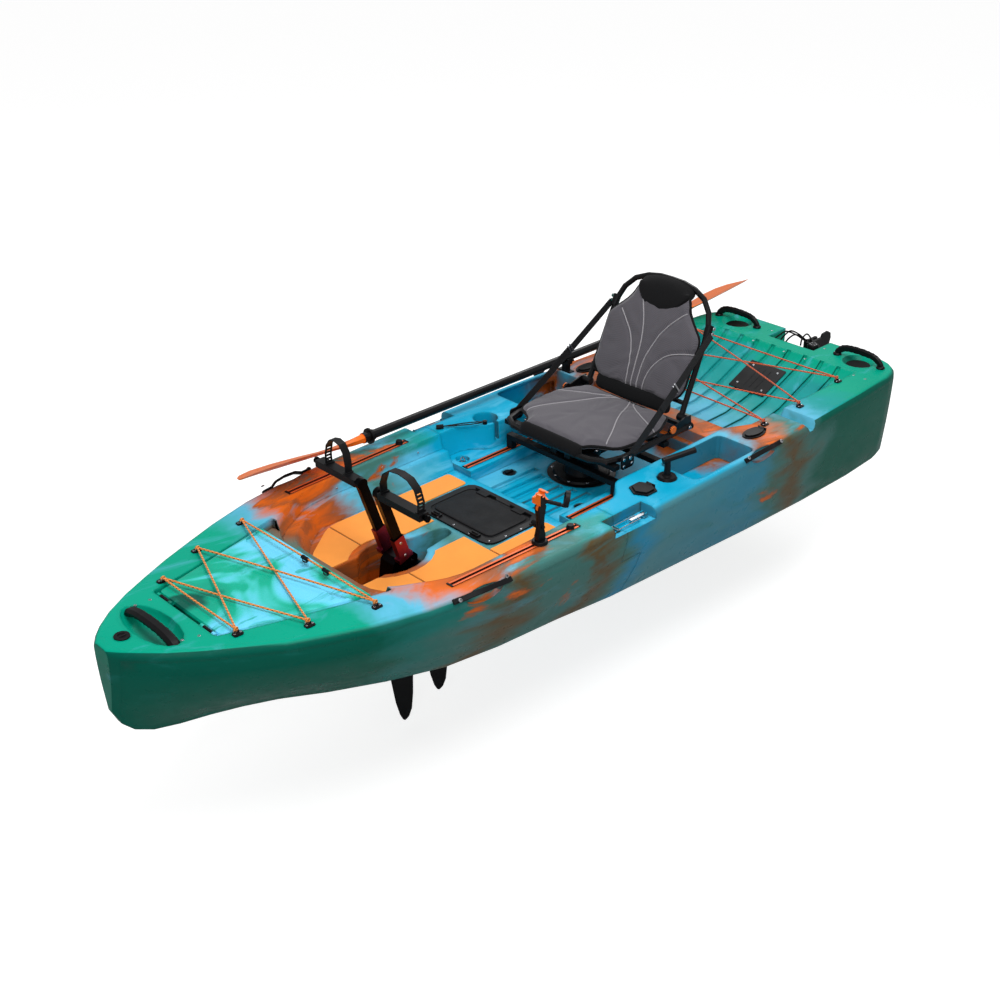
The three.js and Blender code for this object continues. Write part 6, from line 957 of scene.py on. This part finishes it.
class KAYAK_OT_rigging(KayakStep, bpy.types.Operator):
    """Makes the elastic cords with their pad-eyes, rings and clips"""
    bl_idname = "kayak.rigging"
    bl_label = "Cords and pad-eyes"

    # Each run goes from one pad-eye to another, to port (+) or to starboard (-)
    BOW_RUNS = "0-0+ 1-0+ 0-1+ 1-2+ 2-1+ 2-2+"
    STERN_RUNS = "3-4+ 4+5- 5-5+ 5+4- 4-3+ 3+3-"
    CLIP = [(3.4, 0), (6.2, 1), (6.8, 8), (5.4, 13), (6.6, 18), (6, 28), (3.4, 30)]
    OVER, UNDER = 3, -2.5

    def pad_eye(self, shape, index, side):
        """A tab with two screws, a strap, a ring, and the cord's loop through the ring."""
        x, y = PAD_EYES[index]
        z = deck_height(x + 15) + 0.3
        tab = rounded_box(x - 15, x + 15, side * y - 10, side * y + 10, 6)
        shape.plate(tab, z, z + 3, 2)
        inner = rounded_box(x - 12, x + 12, side * y - 7, side * y + 7, 5)
        shape.plate(inner, z + 3, z + 4, 2)
        for dx in (-9, 9):
            shape.bolt((x + dx, side * y, z + 4), UP, 3.6, 1, 1.8)
        foot, crown = side * (y - 7), side * (y - 8)
        strap = curve_through([(x - 7, foot, z + 3.5), (x - 6, crown, z + 7.5),
                               (x + 6, crown, z + 7.5), (x + 7, foot, z + 3.5)], 4)
        shape.sweep(strap, slab(9, 1.8), 2)
        eye = Vector((x, crown, z + 6))
        ring = [eye + Vector((8 * math.cos(a), -side * 2 * math.sin(a),
                              0.6 + 7.5 * max(-0.3, math.sin(a)))) for a in round_turn(16)]
        shape.tube(ring, 1.4, 6, 1, closed=True)
        hook = cord_hook(index, side)
        loop = [hook + Vector((5.5 * math.cos(a), 0, 4.5 * math.sin(a) - 1))
                for a in round_turn(14)]
        shape.tube(loop, CORD_RADIUS, 8, 0, closed=True)

    def clip(self, shape, x, y, z):
        """A quick clip on the cord, with its hook."""
        shape.turned((x, y - 15, z), PORT, self.CLIP, 12, 2)
        hook = [(x, y + 13, z), (x + 7, y + 17, z - 2), (x + 11, y + 9, z - 3),
                (x + 9, y - 1, z - 2)]
        shape.tube(curve_through(hook, 4), 2.1, 7, 2)

    def rig(self, name, runs, marks, look, clips=()):
        """One cord, over and under itself, with its pad-eyes and clips."""
        shape = Shape()
        for index in marks:
            for _, side in SIDES:
                self.pad_eye(shape, index, side)
        for order, run in enumerate(runs.split()):
            start, end = (cord_hook(int(part[0]), 1 if part[1] == "+" else -1)
                          for part in (run[:2], run[2:]))
            over = self.OVER if order % 2 else self.UNDER
            path = [start.lerp(end, t / 14) + UP * (over * math.sin(math.pi * t / 14))
                    for t in range(15)]
            shape.tube(path, CORD_RADIUS, 8, 0)
        for place in clips:
            self.clip(shape, *place)
        build(name, shape, [look, "steel", "black"], "hull",
              [name.replace("_cord", "_bungee")])

    def make(self, context):
        rear = cord_hook(2, 1)
        clips = [(rear.x, y, rear.z + 1) for y in (0, 96)]
        self.rig("bow_cord", self.BOW_RUNS, (0, 1, 2), "bow cord", clips)
        self.rig("stern_cord", self.STERN_RUNS, (3, 4, 5), "stern cord")


def ribs(count, height, reach):
    """How a handle swells along its length: so many ribs, within reach of its middle."""
    return lambda share: 1 + height * (math.cos(share * TURN * count) > 0.1
                                       and abs(share - 0.5) < reach)


class KAYAK_OT_handles(KayakStep, bpy.types.Operator):
    """Makes the ribbed carry handles at the nose, the gunwales and the stern"""
    bl_idname = "kayak.handles"
    bl_label = "Carry handles"

    NOSE_X, NOSE_HALF = 1394, 124
    STERN, STERN_HALF = (-1468, 281, 351), 94
    # The lines of the handles, as shares of their half length and of their height
    NOSE_LINE = [(-0.96, -0.2), (-0.84, 0.4), (-0.5, 0.88), (0, 1), (0.5, 0.88), (0.84, 0.4),
                 (0.96, -0.2)]
    STERN_LINE = [(-1, 0.1), (-0.94, 0.42), (-0.7, 0.84), (-0.3, 1), (0.3, 1), (0.7, 0.84),
                  (0.94, 0.42), (1, 0.1)]

    def nose_handle(self):
        """The handle at the nose, on its two feet."""
        _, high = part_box("bow_handle")
        x, half, top = self.NOSE_X, self.NOSE_HALF, high.z / MM - 12
        line = curve_through([(x, half * u, top - 30 + 26 * v) for u, v in self.NOSE_LINE], 7)
        shape = Shape()
        shape.sweep(line, slab(31, 22, 0.35), 0, size=ribs(19, 0.09, 0.36))
        for y in (2 - half, half - 2):
            shape.turned((x, y, top - 37), UP, [(15, 0), (15, 5), (11, 9)], 16, 0)
            shape.bolt((x, y, top - 28), UP, 4.5)
        build("bow_handle.finished", shape, BOLTED, "hull", ["bow_handle"], 0.6)

    def stern_handle(self, side, sign):
        """One of the arched handles at the stern, over the dish in the deck."""
        x, y, z = self.STERN
        y, half = sign * y, self.STERN_HALF
        line = curve_through([(x, y + u * half, z + v * 38) for u, v in self.STERN_LINE], 6)
        shape = Shape()
        shape.sweep(line, slab(24, 15, 0.35), 0, size=ribs(15, 0.1, 0.3))
        for end in (-1, 1):
            shape.turned((x, y + end * half, z), UP, [(16, 0), (16, 4), (12, 8)], 16, 0)
            shape.bolt((x + 2, y + end * (half + 7), z + 6), UP, 5)
        # A dark disc on the floor of the dish: painted shade.
        shape.turned((x, y, z - 17.5), UP, [(54, 0), (54, 1.5), (50, 2.2)], 30, 2)
        build("stern_handle_%s.finished" % side, shape, BOLTED, "hull",
              ["stern_handle_" + side], 0.6)

    def make(self, context):
        self.nose_handle()
        for end in ("front", "rear"):
            for side, _ in SIDES:
                refine("side_handle_%s_%s" % (end, side), "black", 1.4)
        for side, sign in SIDES:
            self.stern_handle(side, sign)


class KAYAK_OT_small_fittings(KayakStep, bpy.types.Operator):
    """Makes the screws, inserts, eyebolts and the four-screw plate on the deck"""
    bl_idname = "kayak.small_fittings"
    bl_label = "Small deck fittings"

    INSERTS = [(1328, -115), (1374, -114), (1329, 122), (1374, 113), (-1484, -126), (-1350, -116),
               (-1347, 30), (-1345, 128), (-1480, 122), (-1346, 341), (-1346, 390)]
    INSERT = [(4.6, 0), (4.6, 1.5), (3.9, 1.9), (2.4, 1.9), (2.2, 0.9)]
    WELL_SCREWS, WELL_SIDE = [(176, 323), (331, 325), (517, 318)], 338
    HATCH_SCREWS = [(326, -75), (325, -3), (327, 70), (315, 146), (258, 160), (193, 162)]
    HATCH_TOP = 245.8
    RAMP_LOW, RAMP_HIGH, RAMP_PLATE = (-1133.7, 234), (-1337.5, 319.6), Vector((-1219, 10, 270.2))
    GEAR_RAIL, GEAR_RAIL_TOP = ((677, 372), (188, 389)), 352
    SEAT_RAIL_SIDE, SEAT_RAIL_TOP, SEAT_RAIL_STOP = 238, 257.5, 57.5
    HANDLE_PADS = [(628, 453), (-616, 483)]
    EYEBOLT = (20, 291, 250)

    def screws(self):
        """Threaded inserts in the deck, and screws in the footwell and on the hatch frame."""
        shape = Shape()
        for x, y in self.INSERTS:
            shape.turned((x, y, deck_height(x) - 1), UP, self.INSERT, 14, 0)
        for x, z in self.WELL_SCREWS:
            for _, sign in SIDES:
                shape.bolt((x, sign * self.WELL_SIDE, z), PORT * -sign, 3.4, 0, 2)
        for x, y in self.HATCH_SCREWS:
            shape.bolt((x, y, self.HATCH_TOP), UP, 4.2, 0, 2.4)
        build("deck_screws", shape, ["steel", "steel", "dark"], "hull")

    def ramp_plate(self):
        """The ribbed plate with four screws on the ramp of the tank well."""
        (x0, z0), (x1, z1) = self.RAMP_LOW, self.RAMP_HIGH
        slope = math.atan2(z1 - z0, x0 - x1)
        back = Vector((-math.cos(slope), 0, math.sin(slope)))
        lift = Vector((math.sin(slope), 0, math.cos(slope)))

        def lay(u, v, w):
            return self.RAMP_PLATE + back * u + PORT * v + lift * w

        shape = Shape()
        shape.plate(rounded_box(-76, 76, -80, 80, 5), 0.4, 3.6, 0, lay)
        for v in (-26, 0, 26):
            shape.plate(rounded_box(-52, 52, v - 2.5, v + 2.5, 2), 3.5, 4.4, 0, lay)
        for u in (-52, 52):
            for v in (-56, 56):
                shape.bolt(lay(u, v, 3.6), lift, 4.6, 1, 2.2)
        build("stern_plate", shape, BOLTED, "hull", edge=0.7)

    def rail_ends(self):
        """The stops and the screws of the gear rails and of the seat rails."""
        shape = Shape()
        for _, sign in SIDES:
            front, rear = (Vector((x, sign * y, self.GEAR_RAIL_TOP)) for x, y in self.GEAR_RAIL)
            for share in (0.32, 0.64):
                shape.bolt(rear.lerp(front, share) - UP * 6.6, UP, 3.6, 1, 1.6)
            for tip, way in ((front, 1), (rear, -1)):
                shape.box(tip + FORE * (way * 3.5) - UP * 2.2, (6, 24, 6), 0)
            y, z = sign * self.SEAT_RAIL_SIDE, self.SEAT_RAIL_TOP
            for x in (-380, -120):
                shape.bolt((x, y, z), UP, 3.6, 1, 1.6)
            shape.box((self.SEAT_RAIL_STOP, y, z + 2), (6.5, 24, 10), 0)
        build("rail_ends", shape, BOLTED, "hull", edge=0.8)

    def handle_bolts(self):
        """The bolts at the ends of the four side handles."""
        shape = Shape()
        for x, y in self.HANDLE_PADS:
            for _, sign in SIDES:
                aim = Vector((0, sign, 1)).normalized()
                for end in (-88, 88):
                    shape.bolt((x + end, sign * y, 355), aim, 6.2, 1, 3.4)
        build("side_handle_bolts", shape, BOLTED, "hull")

    def eyebolt(self, side, sign):
        """An eyebolt on the joint of the two modules."""
        x, y, z = self.EYEBOLT
        y *= sign
        shape = Shape()
        shape.turned((x, y, z), UP, [(13, 0), (13, 1.5), (11, 2.6), (5, 2.6), (4.5, 6)], 24, 0)
        ring = [(x + 8 * math.cos(a), y + sign * 3 * math.sin(a), z + 10 + 7 * math.sin(a))
                for a in round_turn(20)]
        shape.tube(ring, 2.0, 8, 0, closed=True)
        build("eyebolt_" + side, shape, ["steel"], "hull", degrees=40)

    def make(self, context):
        self.screws()
        self.ramp_plate()
        self.rail_ends()
        self.handle_bolts()
        for side, sign in SIDES:
            self.eyebolt(side, sign)


def slot_below(level):
    """Picks the slot of a rail: the faces below the level, and the upright ones, which take the
    rail orange in painted shade.
    """
    return lambda place, face: place.z < level or face.normal.z < 0.3


class KAYAK_OT_carried_over(KayakStep, bpy.types.Operator):
    """Finishes the fittings whose shapes come straight from the solids"""
    bl_idname = "kayak.carried_over"
    bl_label = "Moulded fittings"

    LOOKS = {"black": "seat_stand seat_swivel paddle_clip tiller_handle rudder_bracket "
                      "rudder_head rudder_blade rod_mount_base rod_mount_arm rod_mount_knob "
                      "hex_cap centre_hatch_frame drain_plug rod_holder_port "
                      "rod_holder_starboard rod_holder_cap_port rod_holder_cap_starboard "
                      "hatch_latch_port hatch_latch_starboard rail_knob_port "
                      "rail_knob_starboard",
             "lid": "centre_hatch_lid",
             "tube": "seat_base_frame seat_back_frame",
             "fin": "fin_front fin_rear",
             "housing": "drive_housing",
             "lever steel": "latch_lever_port latch_lever_starboard"}
    CRADLE_LINING = 399
    GEAR_SLOT, SEAT_SLOT = 349.5, 261.5

    def lining(self, place, face):
        """The black lining of the rod cradle."""
        return place.y > self.CRADLE_LINING

    def make(self, context):
        for look, nodes in self.LOOKS.items():
            for node in nodes.split():
                refine(node, look, 0.7)
        refine("rod_cradle", "cradle", 0.7, second="black", where=self.lining)
        for side, _ in SIDES:
            for rail, level in (("gear_rail_", self.GEAR_SLOT), ("seat_rail_", self.SEAT_SLOT)):
                refine(rail + side, "rail", 0.5, second="rail slot shade", where=slot_below(level))


# Seat

LEAN = math.radians(24)
BACK_PIVOT = Vector((-512, 0, 412))
BACK_UP = Vector((-math.sin(LEAN), 0, math.cos(LEAN)))
BACK_OUT = Vector((math.cos(LEAN), 0, math.sin(LEAN)))
BACK_HEIGHT, BACK_HALF = 422, 208
CUSHION_MIDDLE = Vector((-300, 0, 409))
CUSHION_FLOOR = 396.5
SKIN_GRID, SKIN_INSET = 5, 3
PRESSURE, CLOTH_FRAMES = 4, 20
SEAM_WIDTH, SEAM_DEPTH = 15, 3.2


def on_back(half, up, out=0.0):
    """A place on the seat back, by its share across, its share up, and millimetres in front."""
    return (BACK_PIVOT + PORT * (half * BACK_HALF) + BACK_UP * (up * BACK_HEIGHT)
            + BACK_OUT * out)


def settle(obj):
    """Works the object's modifiers into its mesh."""
    bpy.context.view_layer.update()
    done = bpy.data.meshes.new_from_object(obj.evaluated_get(bpy.context.evaluated_depsgraph_get()))
    obj.modifiers.clear()
    obj.data = done


def swell(obj, most, floor=None):
    """Blows a pad up as cloth; no point goes further than most, or below the floor."""
    obj.modifiers.new("Skin", "REMESH").voxel_size = SKIN_GRID * MM
    settle(obj)
    places = [v.co - v.normal * (SKIN_INSET * MM) for v in obj.data.vertices]
    for vertex, place in zip(obj.data.vertices, places):
        vertex.co = place
    cloth = obj.modifiers.new("Cloth", "CLOTH")
    cloth.settings.use_pressure = True
    cloth.settings.uniform_pressure_force = PRESSURE
    cloth.settings.effector_weights.gravity = 0
    for step in range(1, CLOTH_FRAMES + 1):
        bpy.context.scene.frame_set(step)
    settle(obj)
    bpy.context.scene.frame_set(1)
    for vertex, place in zip(obj.data.vertices, places):
        way = vertex.co - place
        if way.length > most:
            vertex.co = place + way * (most / way.length)
        if floor is not None:
            vertex.co.z = max(vertex.co.z, floor * MM)
    return obj


def crease(obj, lines, inward):
    """Presses sewn channels into a pad along the lines."""
    reach, depth = SEAM_WIDTH * MM, SEAM_DEPTH * MM
    near = {}
    for mark in (p * MM for line in lines for p in line):
        near.setdefault(tuple(int(c // reach) for c in mark), []).append(mark)
    steps = (-1, 0, 1)
    around = [(dx, dy, dz) for dx in steps for dy in steps for dz in steps]
    for vertex in obj.data.vertices:
        cell = [int(c // reach) for c in vertex.co]
        best = reach
        for step in around:
            for mark in near.get(tuple(c + d for c, d in zip(cell, step)), ()):
                best = min(best, (vertex.co - mark).length)
        if best < reach:
            vertex.co += inward * (depth * (1 - (best / reach) ** 2))


def laid_on(obj, points, aim, lift):
    """The points moved along the aim until they lie on the piece."""
    tree = BVHTree.FromObject(obj, bpy.context.evaluated_depsgraph_get())
    line = []
    for point in points:
        hit = tree.ray_cast((Vector(point) - aim * 120) * MM, aim)[0]
        if hit:
            line.append(hit / MM - aim * lift)
    return line


def dense(points, gap=3.0):
    """The same line with a point at least every few millimetres."""
    line = [Vector(points[0])]
    for here, there in zip(points, points[1:]):
        steps = max(1, int((Vector(there) - Vector(here)).length / gap))
        line += [Vector(here).lerp(Vector(there), (k + 1) / steps) for k in range(steps)]
    return line


class KAYAK_OT_seat(KayakStep, bpy.types.Operator):
    """Makes the seat: swollen pads with piping, bindings, wraps, straps, buckles and bolts"""
    bl_idname = "kayak.seat"
    bl_label = "Seat"

    CUSHION_LINES = [[(-478, -34), (-440, -60), (-400, -120), (-372, -180), (-352, -238)],
                     [(-478, -16), (-420, -50), (-330, -90), (-230, -150), (-150, -190)],
                     [(-478, 16), (-420, 50), (-330, 90), (-230, 150), (-150, 190)],
                     [(-478, 34), (-440, 60), (-400, 120), (-372, 180), (-352, 238)]]
    BACK_LINES = [[(-0.16, 0.04), (-0.2, 0.3), (-0.36, 0.5), (-0.68, 0.66)],
                  [(-0.055, 0.04), (-0.07, 0.4), (-0.16, 0.62), (-0.34, 0.8)],
                  [(0.055, 0.04), (0.08, 0.34), (0.28, 0.6), (0.62, 0.8)],
                  [(0.16, 0.04), (0.24, 0.26), (0.5, 0.42), (0.98, 0.5)]]
    # Rings of points round the wrapped bars: up and out on the back, fore and up on the cushion
    LOW_BAND = [(0.0, 2), (-0.012, 12), (0.0, 22), (0.05, 28), (0.1, 29), (0.125, 25), (0.1, 12),
                (0.04, 0)]
    FRONT_WRAP = [(-111, 421), (-102, 417), (-92, 408), (-85, 394), (-86, 378), (-98, 371),
                  (-110, 376), (-113, 390), (-116, 402), (-118, 410)]
    TOP_HALF, LOW_HALF, FRONT_HALF = 0.52, 0.8, 134
    STRAP_FOOT = (-204, 251.8, 387)
    SWIVEL_X, SWIVEL_TOP = -257, 231

    def sew(self, pad, lines, aim):
        """Presses the lines into the pad, and gives them back as they lie on it."""
        seams = [laid_on(pad, dense(curve_through(line, 8)), aim, 0) for line in lines]
        crease(pad, seams, aim)
        return seams

    def dress(self, pad, node, body):
        """Puts mesh cloth on a pad, and the pad in place of its node."""
        pad.data.materials.clear()
        pad.data.materials.append(finish("seat mesh"))
        pad.data.polygons.foreach_set("use_smooth", [True] * len(pad.data.polygons))
        subdivide(pad)
        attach(pad, body)
        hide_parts(node)

    def piping(self, name, pad, seams, aim, body):
        """A thin cord along each seam, half sunk in the pad."""
        shape = Shape()
        radius = bpy.context.scene.kayak_sizes.pipe / MM / 2
        for seam in seams:
            shape.tube(laid_on(pad, seam, aim, radius * 0.4)[::3], radius, 7)
        build(name, shape, ["piping"], body)

    def pads(self):
        """The cushion and the back panel: swollen, sewn and piped."""
        most, down, into = bpy.context.scene.kayak_sizes.swell, -UP, -BACK_OUT
        cushion = swell(clean_copy("seat_cushion", "seat_cushion.padded"), most, CUSHION_FLOOR)
        lines = [[(x, y, 440) for x, y in line] for line in self.CUSHION_LINES]
        cushion_seams = self.sew(cushion, lines, down)
        back = swell(clean_copy("seat_back_panel", "seat_back_panel.padded"), most)
        lines = [[on_back(half, up, 60) for half, up in line] for line in self.BACK_LINES]
        back_seams = self.sew(back, lines, into)
        self.dress(cushion, "seat_cushion", "seat")
        self.dress(back, "seat_back_panel", "seat_back")
        self.piping("seat_cushion_piping", cushion, cushion_seams, down, "seat")
        self.piping("seat_back_piping", back, back_seams, into, "seat_back")
        return cushion, back

    def binding(self, name, pad, middle, ahead, body):
        """A folded cloth edge all round the pad."""
        tree = BVHTree.FromObject(pad, bpy.context.evaluated_depsgraph_get())
        edge = []
        for turn in round_turn(120):
            aim = ahead * math.cos(turn) + PORT * math.sin(turn)
            hit = tree.ray_cast((middle + aim * 700) * MM, -aim)[0]
            if hit:
                edge.append(hit / MM - aim * 1.5)
        shape = Shape()
        shape.sweep(edge, disc(5.2, 8), closed=True)
        build(name, shape, ["binding"], body)

    def wrap(self, name, rows, body):
        """Cloth wrapped over a tube: each row is a ring of points round it."""
        shape = Shape()
        shape.rings(rows)
        return build(name, shape, ["binding"], body, degrees=60, soft=True)

    def top_wrap(self):
        """The cloth over the top of the back, lower and thinner at its ends."""
        rows = []
        for k in range(17):
            share = self.TOP_HALF * (k / 8 - 1)
            end, round_off = abs(share) / self.TOP_HALF, share * share
            top, low = 0.985 - 0.048 * end ** 2.4, 0.73 + 0.15 * end ** 3
            middle = (low + top) / 2
            ring = [(low, 30), (low + 0.018, 42 - 12 * round_off),
                    (middle + 0.03, 40 - 20 * round_off), (top - 0.03, 33 - 24 * round_off),
                    (top + 0.02, 14), (top + 0.036, 0), (top + 0.022, -11), (top - 0.02, -13),
                    (middle, -6), (low + 0.01, 6), (low, 16)]
            rows.append([on_back(share, up, out) for up, out in ring])
        self.wrap("seat_back_top_wrap", rows, "seat_back")

    def low_band(self):
        """The cloth over the low bar of the back."""
        rows = []
        for k in range(13):
            share = self.LOW_HALF * (k / 6 - 1)
            drop = 0.02 * (1 - share * share)
            rows.append([on_back(share, up - drop, out) for up, out in self.LOW_BAND])
        band = self.wrap("seat_back_low_band", rows, "seat_back")
        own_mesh(band)

    def front_wrap(self):
        """The cloth over the front bar of the cushion."""
        rows = []
        for k in range(15):
            y = self.FRONT_HALF * (k / 7 - 1)
            rows.append([Vector((x, y, z + 2 * math.cos(y / 90))) for x, z in self.FRONT_WRAP])
        self.wrap("seat_cushion_front_wrap", rows, "seat")

    def strap(self, side, sign):
        """Webbing from the seat to its back, with a buckle and the tail doubled over."""
        x, y, z = self.STRAP_FOOT
        foot = Vector((x, sign * y, z))
        head = on_back(0, 0.68) + PORT * (sign * 220.4)
        run = [foot.lerp(head, k / 16) - UP * (3 * math.sin(math.pi * k / 16)) for k in range(17)]
        shape = Shape()
        shape.sweep(run, slab(2.6, 31, 0.2), 0, up=FORE.lerp(UP, 0.2))
        for share in (0.54, 0.56):
            bar = foot.lerp(head, share)
            shape.sweep([bar, bar + (head - foot).normalized() * 5], slab(7, 38, 0.2), 1, up=FORE)
        tail = [foot.lerp(head, 0.38 + 0.01 * k) + PORT * (sign * 2.8) for k in range(18)]
        shape.sweep(tail, slab(2.2, 30, 0.2), 0, up=FORE)
        node = "seat_strap_" + side
        piece = build(node + ".webbing", shape, ["webbing", "steel"], None, [node])
        piece.modifiers.clear()
        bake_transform(piece)

    def side_caps(self):
        """The orange caps on the ends of the seat's cross tube."""
        shape = Shape()
        for _, sign in SIDES:
            shape.turned((-430, sign * 247, 404), PORT * sign,
                         [(13.5, -12), (14, -2), (12.5, 0)], 22, 0)
        build("seat_side_caps", shape, ["cradle"], "seat", edge=1)

    def base_hardware(self):
        """The side plates, bolts and rear feet of the seat's base."""
        shape = Shape()
        outline = rounded_box(-225, -165, 353, 398, 10)
        for _, sign in SIDES:
            aim = PORT * sign
            shape.plate(outline, sign * 249, sign * 254, 0, lambda u, v, w: Vector((u, w, v)))
            for x, z in ((-214, 365), (-176, 388), (-176, 364)):
                shape.bolt((x, sign * 254, z), aim, 6, 1)
            shape.bolt((-204, sign * 255.5, 387), aim, 7, 1)
            shape.bolt((-512, sign * 248, 387), aim, 7.5, 1)
            shape.turned((-530, sign * 236, 385), -FORE, [(12, -4), (12.4, 2), (9, 5)], 18, 0)
            shape.bolt((-150, sign * 160, 397), UP, 6, 1)
        build("seat_base_hardware", shape, BOLTED, "seat", edge=0.8)

    def back_hardware(self):
        """The bolts of the back's frame and its joint sleeves."""
        shape = Shape()
        for _, sign in SIDES:
            for up in (0.02, 0.69, 0.73):
                shape.bolt(on_back(0, up) + PORT * (sign * 222), PORT * sign, 6.5, 1)
            shape.sweep([on_back(0.98 * sign, 0.66), on_back(0.97 * sign, 0.75)], disc(14, 14), 0)
        build("seat_back_hardware", shape, BOLTED, "seat_back", edge=0.8)

    def swivel_screws(self):
        """Ten screws round the base of the swivel."""
        shape = Shape()
        for k in range(10):
            turn = TURN * (k + 0.5) / 10
            place = (self.SWIVEL_X + 100 * math.cos(turn), 100 * math.sin(turn), self.SWIVEL_TOP)
            shape.bolt(place, UP, 5, 1)
        build("swivel_screws", shape, BOLTED, "hull")

    def make(self, context):
        cushion, back = self.pads()
        self.binding("seat_cushion_binding", cushion, CUSHION_MIDDLE, FORE, "seat")
        self.binding("seat_back_binding", back, on_back(0, 0.45, 17), BACK_UP, "seat_back")
        self.top_wrap()
        self.low_band()
        self.front_wrap()
        for side, sign in SIDES:
            self.strap(side, sign)
        self.side_caps()
        self.base_hardware()
        self.back_hardware()
        self.swivel_screws()


# Pedal drive

CRANK_LEAN = math.radians(18.5)
CRANK_PIVOT = (552, 205)


def on_crank(up, fore, y):
    """A place on a pedal arm: up along it, ahead of it, and across the boat."""
    s, c = math.sin(CRANK_LEAN), math.cos(CRANK_LEAN)
    x, z = CRANK_PIVOT
    return Vector((x + up * s + fore * c, y, z + up * c - fore * s))


class KAYAK_OT_drive(KayakStep, bpy.types.Operator):
    """Finishes the pedal arms, their clamps, the foot bars and the foot straps"""
    bl_idname = "kayak.drive"
    bl_label = "Pedal drive"

    CLAMP_LOW, CLAMP_HIGH = 40, 134
    ARM_SIDE, ARM_HALF, ARM_DEPTH = 41, 9.4, 15.2
    # Height on the arm, distance from the middle of the boat, and radius of each bolt
    BOLTS = [(62, 53, 5), (112, 53, 5), (0, 60, 8), (300, 52, 6)]

    def clamp(self, place, face):
        """The red clamp: in its stretch of the arm, the faces that stand out from the bar."""
        pivot = on_crank(0, 0, 0)
        away = place - pivot
        up = away.dot(on_crank(1, 0, 0) - pivot)
        ahead = away.dot(on_crank(0, 1, 0) - pivot)
        beside = abs(abs(place.y) - self.ARM_SIDE)
        return (self.CLAMP_LOW < up < self.CLAMP_HIGH
                and (abs(ahead) > self.ARM_DEPTH or beside > self.ARM_HALF))

    def make(self, context):
        for side, sign in SIDES:
            node = "crank_" + side
            refine(node, "crank", 0.8, second="maroon", where=self.clamp)
            shape = Shape()
            for up, y, radius in self.BOLTS:
                shape.bolt(on_crank(up, 0, sign * y), PORT * sign, radius, 1)
            build("crank_bolts_" + side, shape, ["maroon", "steel", "dark"], node)
            refine("foot_pedal_" + side, "black", 0.8)


class KAYAK_OT_paddle(KayakStep, bpy.types.Operator):
    """Finishes the paddle: carbon-black shaft, orange blades with black collars and drip rings"""
    bl_idname = "kayak.paddle"
    bl_label = "Paddle"

    REAR_COLLAR, FRONT_COLLAR = -1216, 331

    def collar(self, place, face):
        """The collars and drip rings: what lies between the two blades."""
        return self.REAR_COLLAR < place.x < self.FRONT_COLLAR

    def make(self, context):
        refine("paddle_shaft", "shaft", 0)
        for end in ("front", "rear"):
            refine("paddle_blade_" + end, "blade", 0.4, degrees=30, second="black",
                   where=self.collar)


class KAYAK_OT_stern_gear(KayakStep, bpy.types.Operator):
    """Makes the cup holder's loop and the screws of the stern gear"""
    bl_idname = "kayak.stern_gear"
    bl_label = "Loop and stern gear"

    # Where each steering cord comes out of the deck, how high it rises, and where it lies
    CORDS = [(-1436, 16, -64), (-1440, 22, -44), (-1438, 12, -22), (-1446, 26, 30)]
    CORD_END = -1558
    POST_PLACE, POST_TOP = (-1490, 64, 257), 348.5
    POST = [(22, 0), (23, 3), (16, 8), (16, 62), (23, 68), (23, 86), (18, 92)]

    def make(self, context):
        refine("cup_loop", "black", 0.3)
        shape = Shape()
        for x, rise, y in self.CORDS:
            line = [(x, y * 1.2, 346), (x - 14, y, 352 + rise * 0.6),
                    (x - 46, y * 0.9, 352 + rise), (x - 86, y * 0.6, 338 + rise * 0.6),
                    (self.CORD_END, y * 0.4, 320)]
            shape.tube(curve_through(line, 6), 3.2, 8, 0)
        shape.turned(self.POST_PLACE, UP, self.POST, 22, 1)
        x, y, _ = self.POST_PLACE
        for turn in round_turn(6):
            place = (x + 12 * math.cos(turn), y + 12 * math.sin(turn), self.POST_TOP)
            shape.bolt(place, UP, 2.4, 2, 1.4)
        build("steering_cords", shape, ["dark", "black", "steel"], "hull",
              degrees=40)


STEPS = [KAYAK_OT_stage, KAYAK_OT_hull, KAYAK_OT_rigging, KAYAK_OT_handles, KAYAK_OT_small_fittings,
         KAYAK_OT_seat, KAYAK_OT_drive, KAYAK_OT_paddle, KAYAK_OT_stern_gear, KAYAK_OT_carried_over]
GROUPS = [("kayak_hull", KayakHullColours), ("kayak_soft", KayakSoftColours),
          ("kayak_hard", KayakHardColours), ("kayak_sizes", KayakSizes)]


class KAYAK_PT_panel(bpy.types.Panel):
    """Lists the colours, the sizes and the steps"""
    bl_idname = "KAYAK_PT_panel"
    bl_label = "Kayak"
    bl_space_type = "VIEW_3D"
    bl_region_type = "UI"
    bl_category = "Kayak"

    def draw(self, context):
        for group, kind in GROUPS:
            column = self.layout.column()
            for name in kind.__annotations__:
                column.prop(getattr(context.scene, group), name)
        for step in STEPS:
            self.layout.operator(step.bl_idname)


def register():
    """Adds the colours, the sizes, the steps and the panel."""
    for name, kind in GROUPS:
        bpy.utils.register_class(kind)
        setattr(bpy.types.Scene, name, PointerProperty(type=kind))
    for kind in STEPS + [KAYAK_PT_panel]:
        bpy.utils.register_class(kind)


def unregister():
    """Takes them out again."""
    for kind in [KAYAK_PT_panel] + STEPS[::-1]:
        bpy.utils.unregister_class(kind)
    for name, kind in GROUPS[::-1]:
        delattr(bpy.types.Scene, name)
        bpy.utils.unregister_class(kind)


def main():
    """Registers the add-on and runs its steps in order."""
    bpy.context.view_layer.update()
    register()
    for step in STEPS:
        family, name = step.bl_idname.split(".")
        getattr(getattr(bpy.ops, family), name)()


if __name__ == "__main__":
    main()
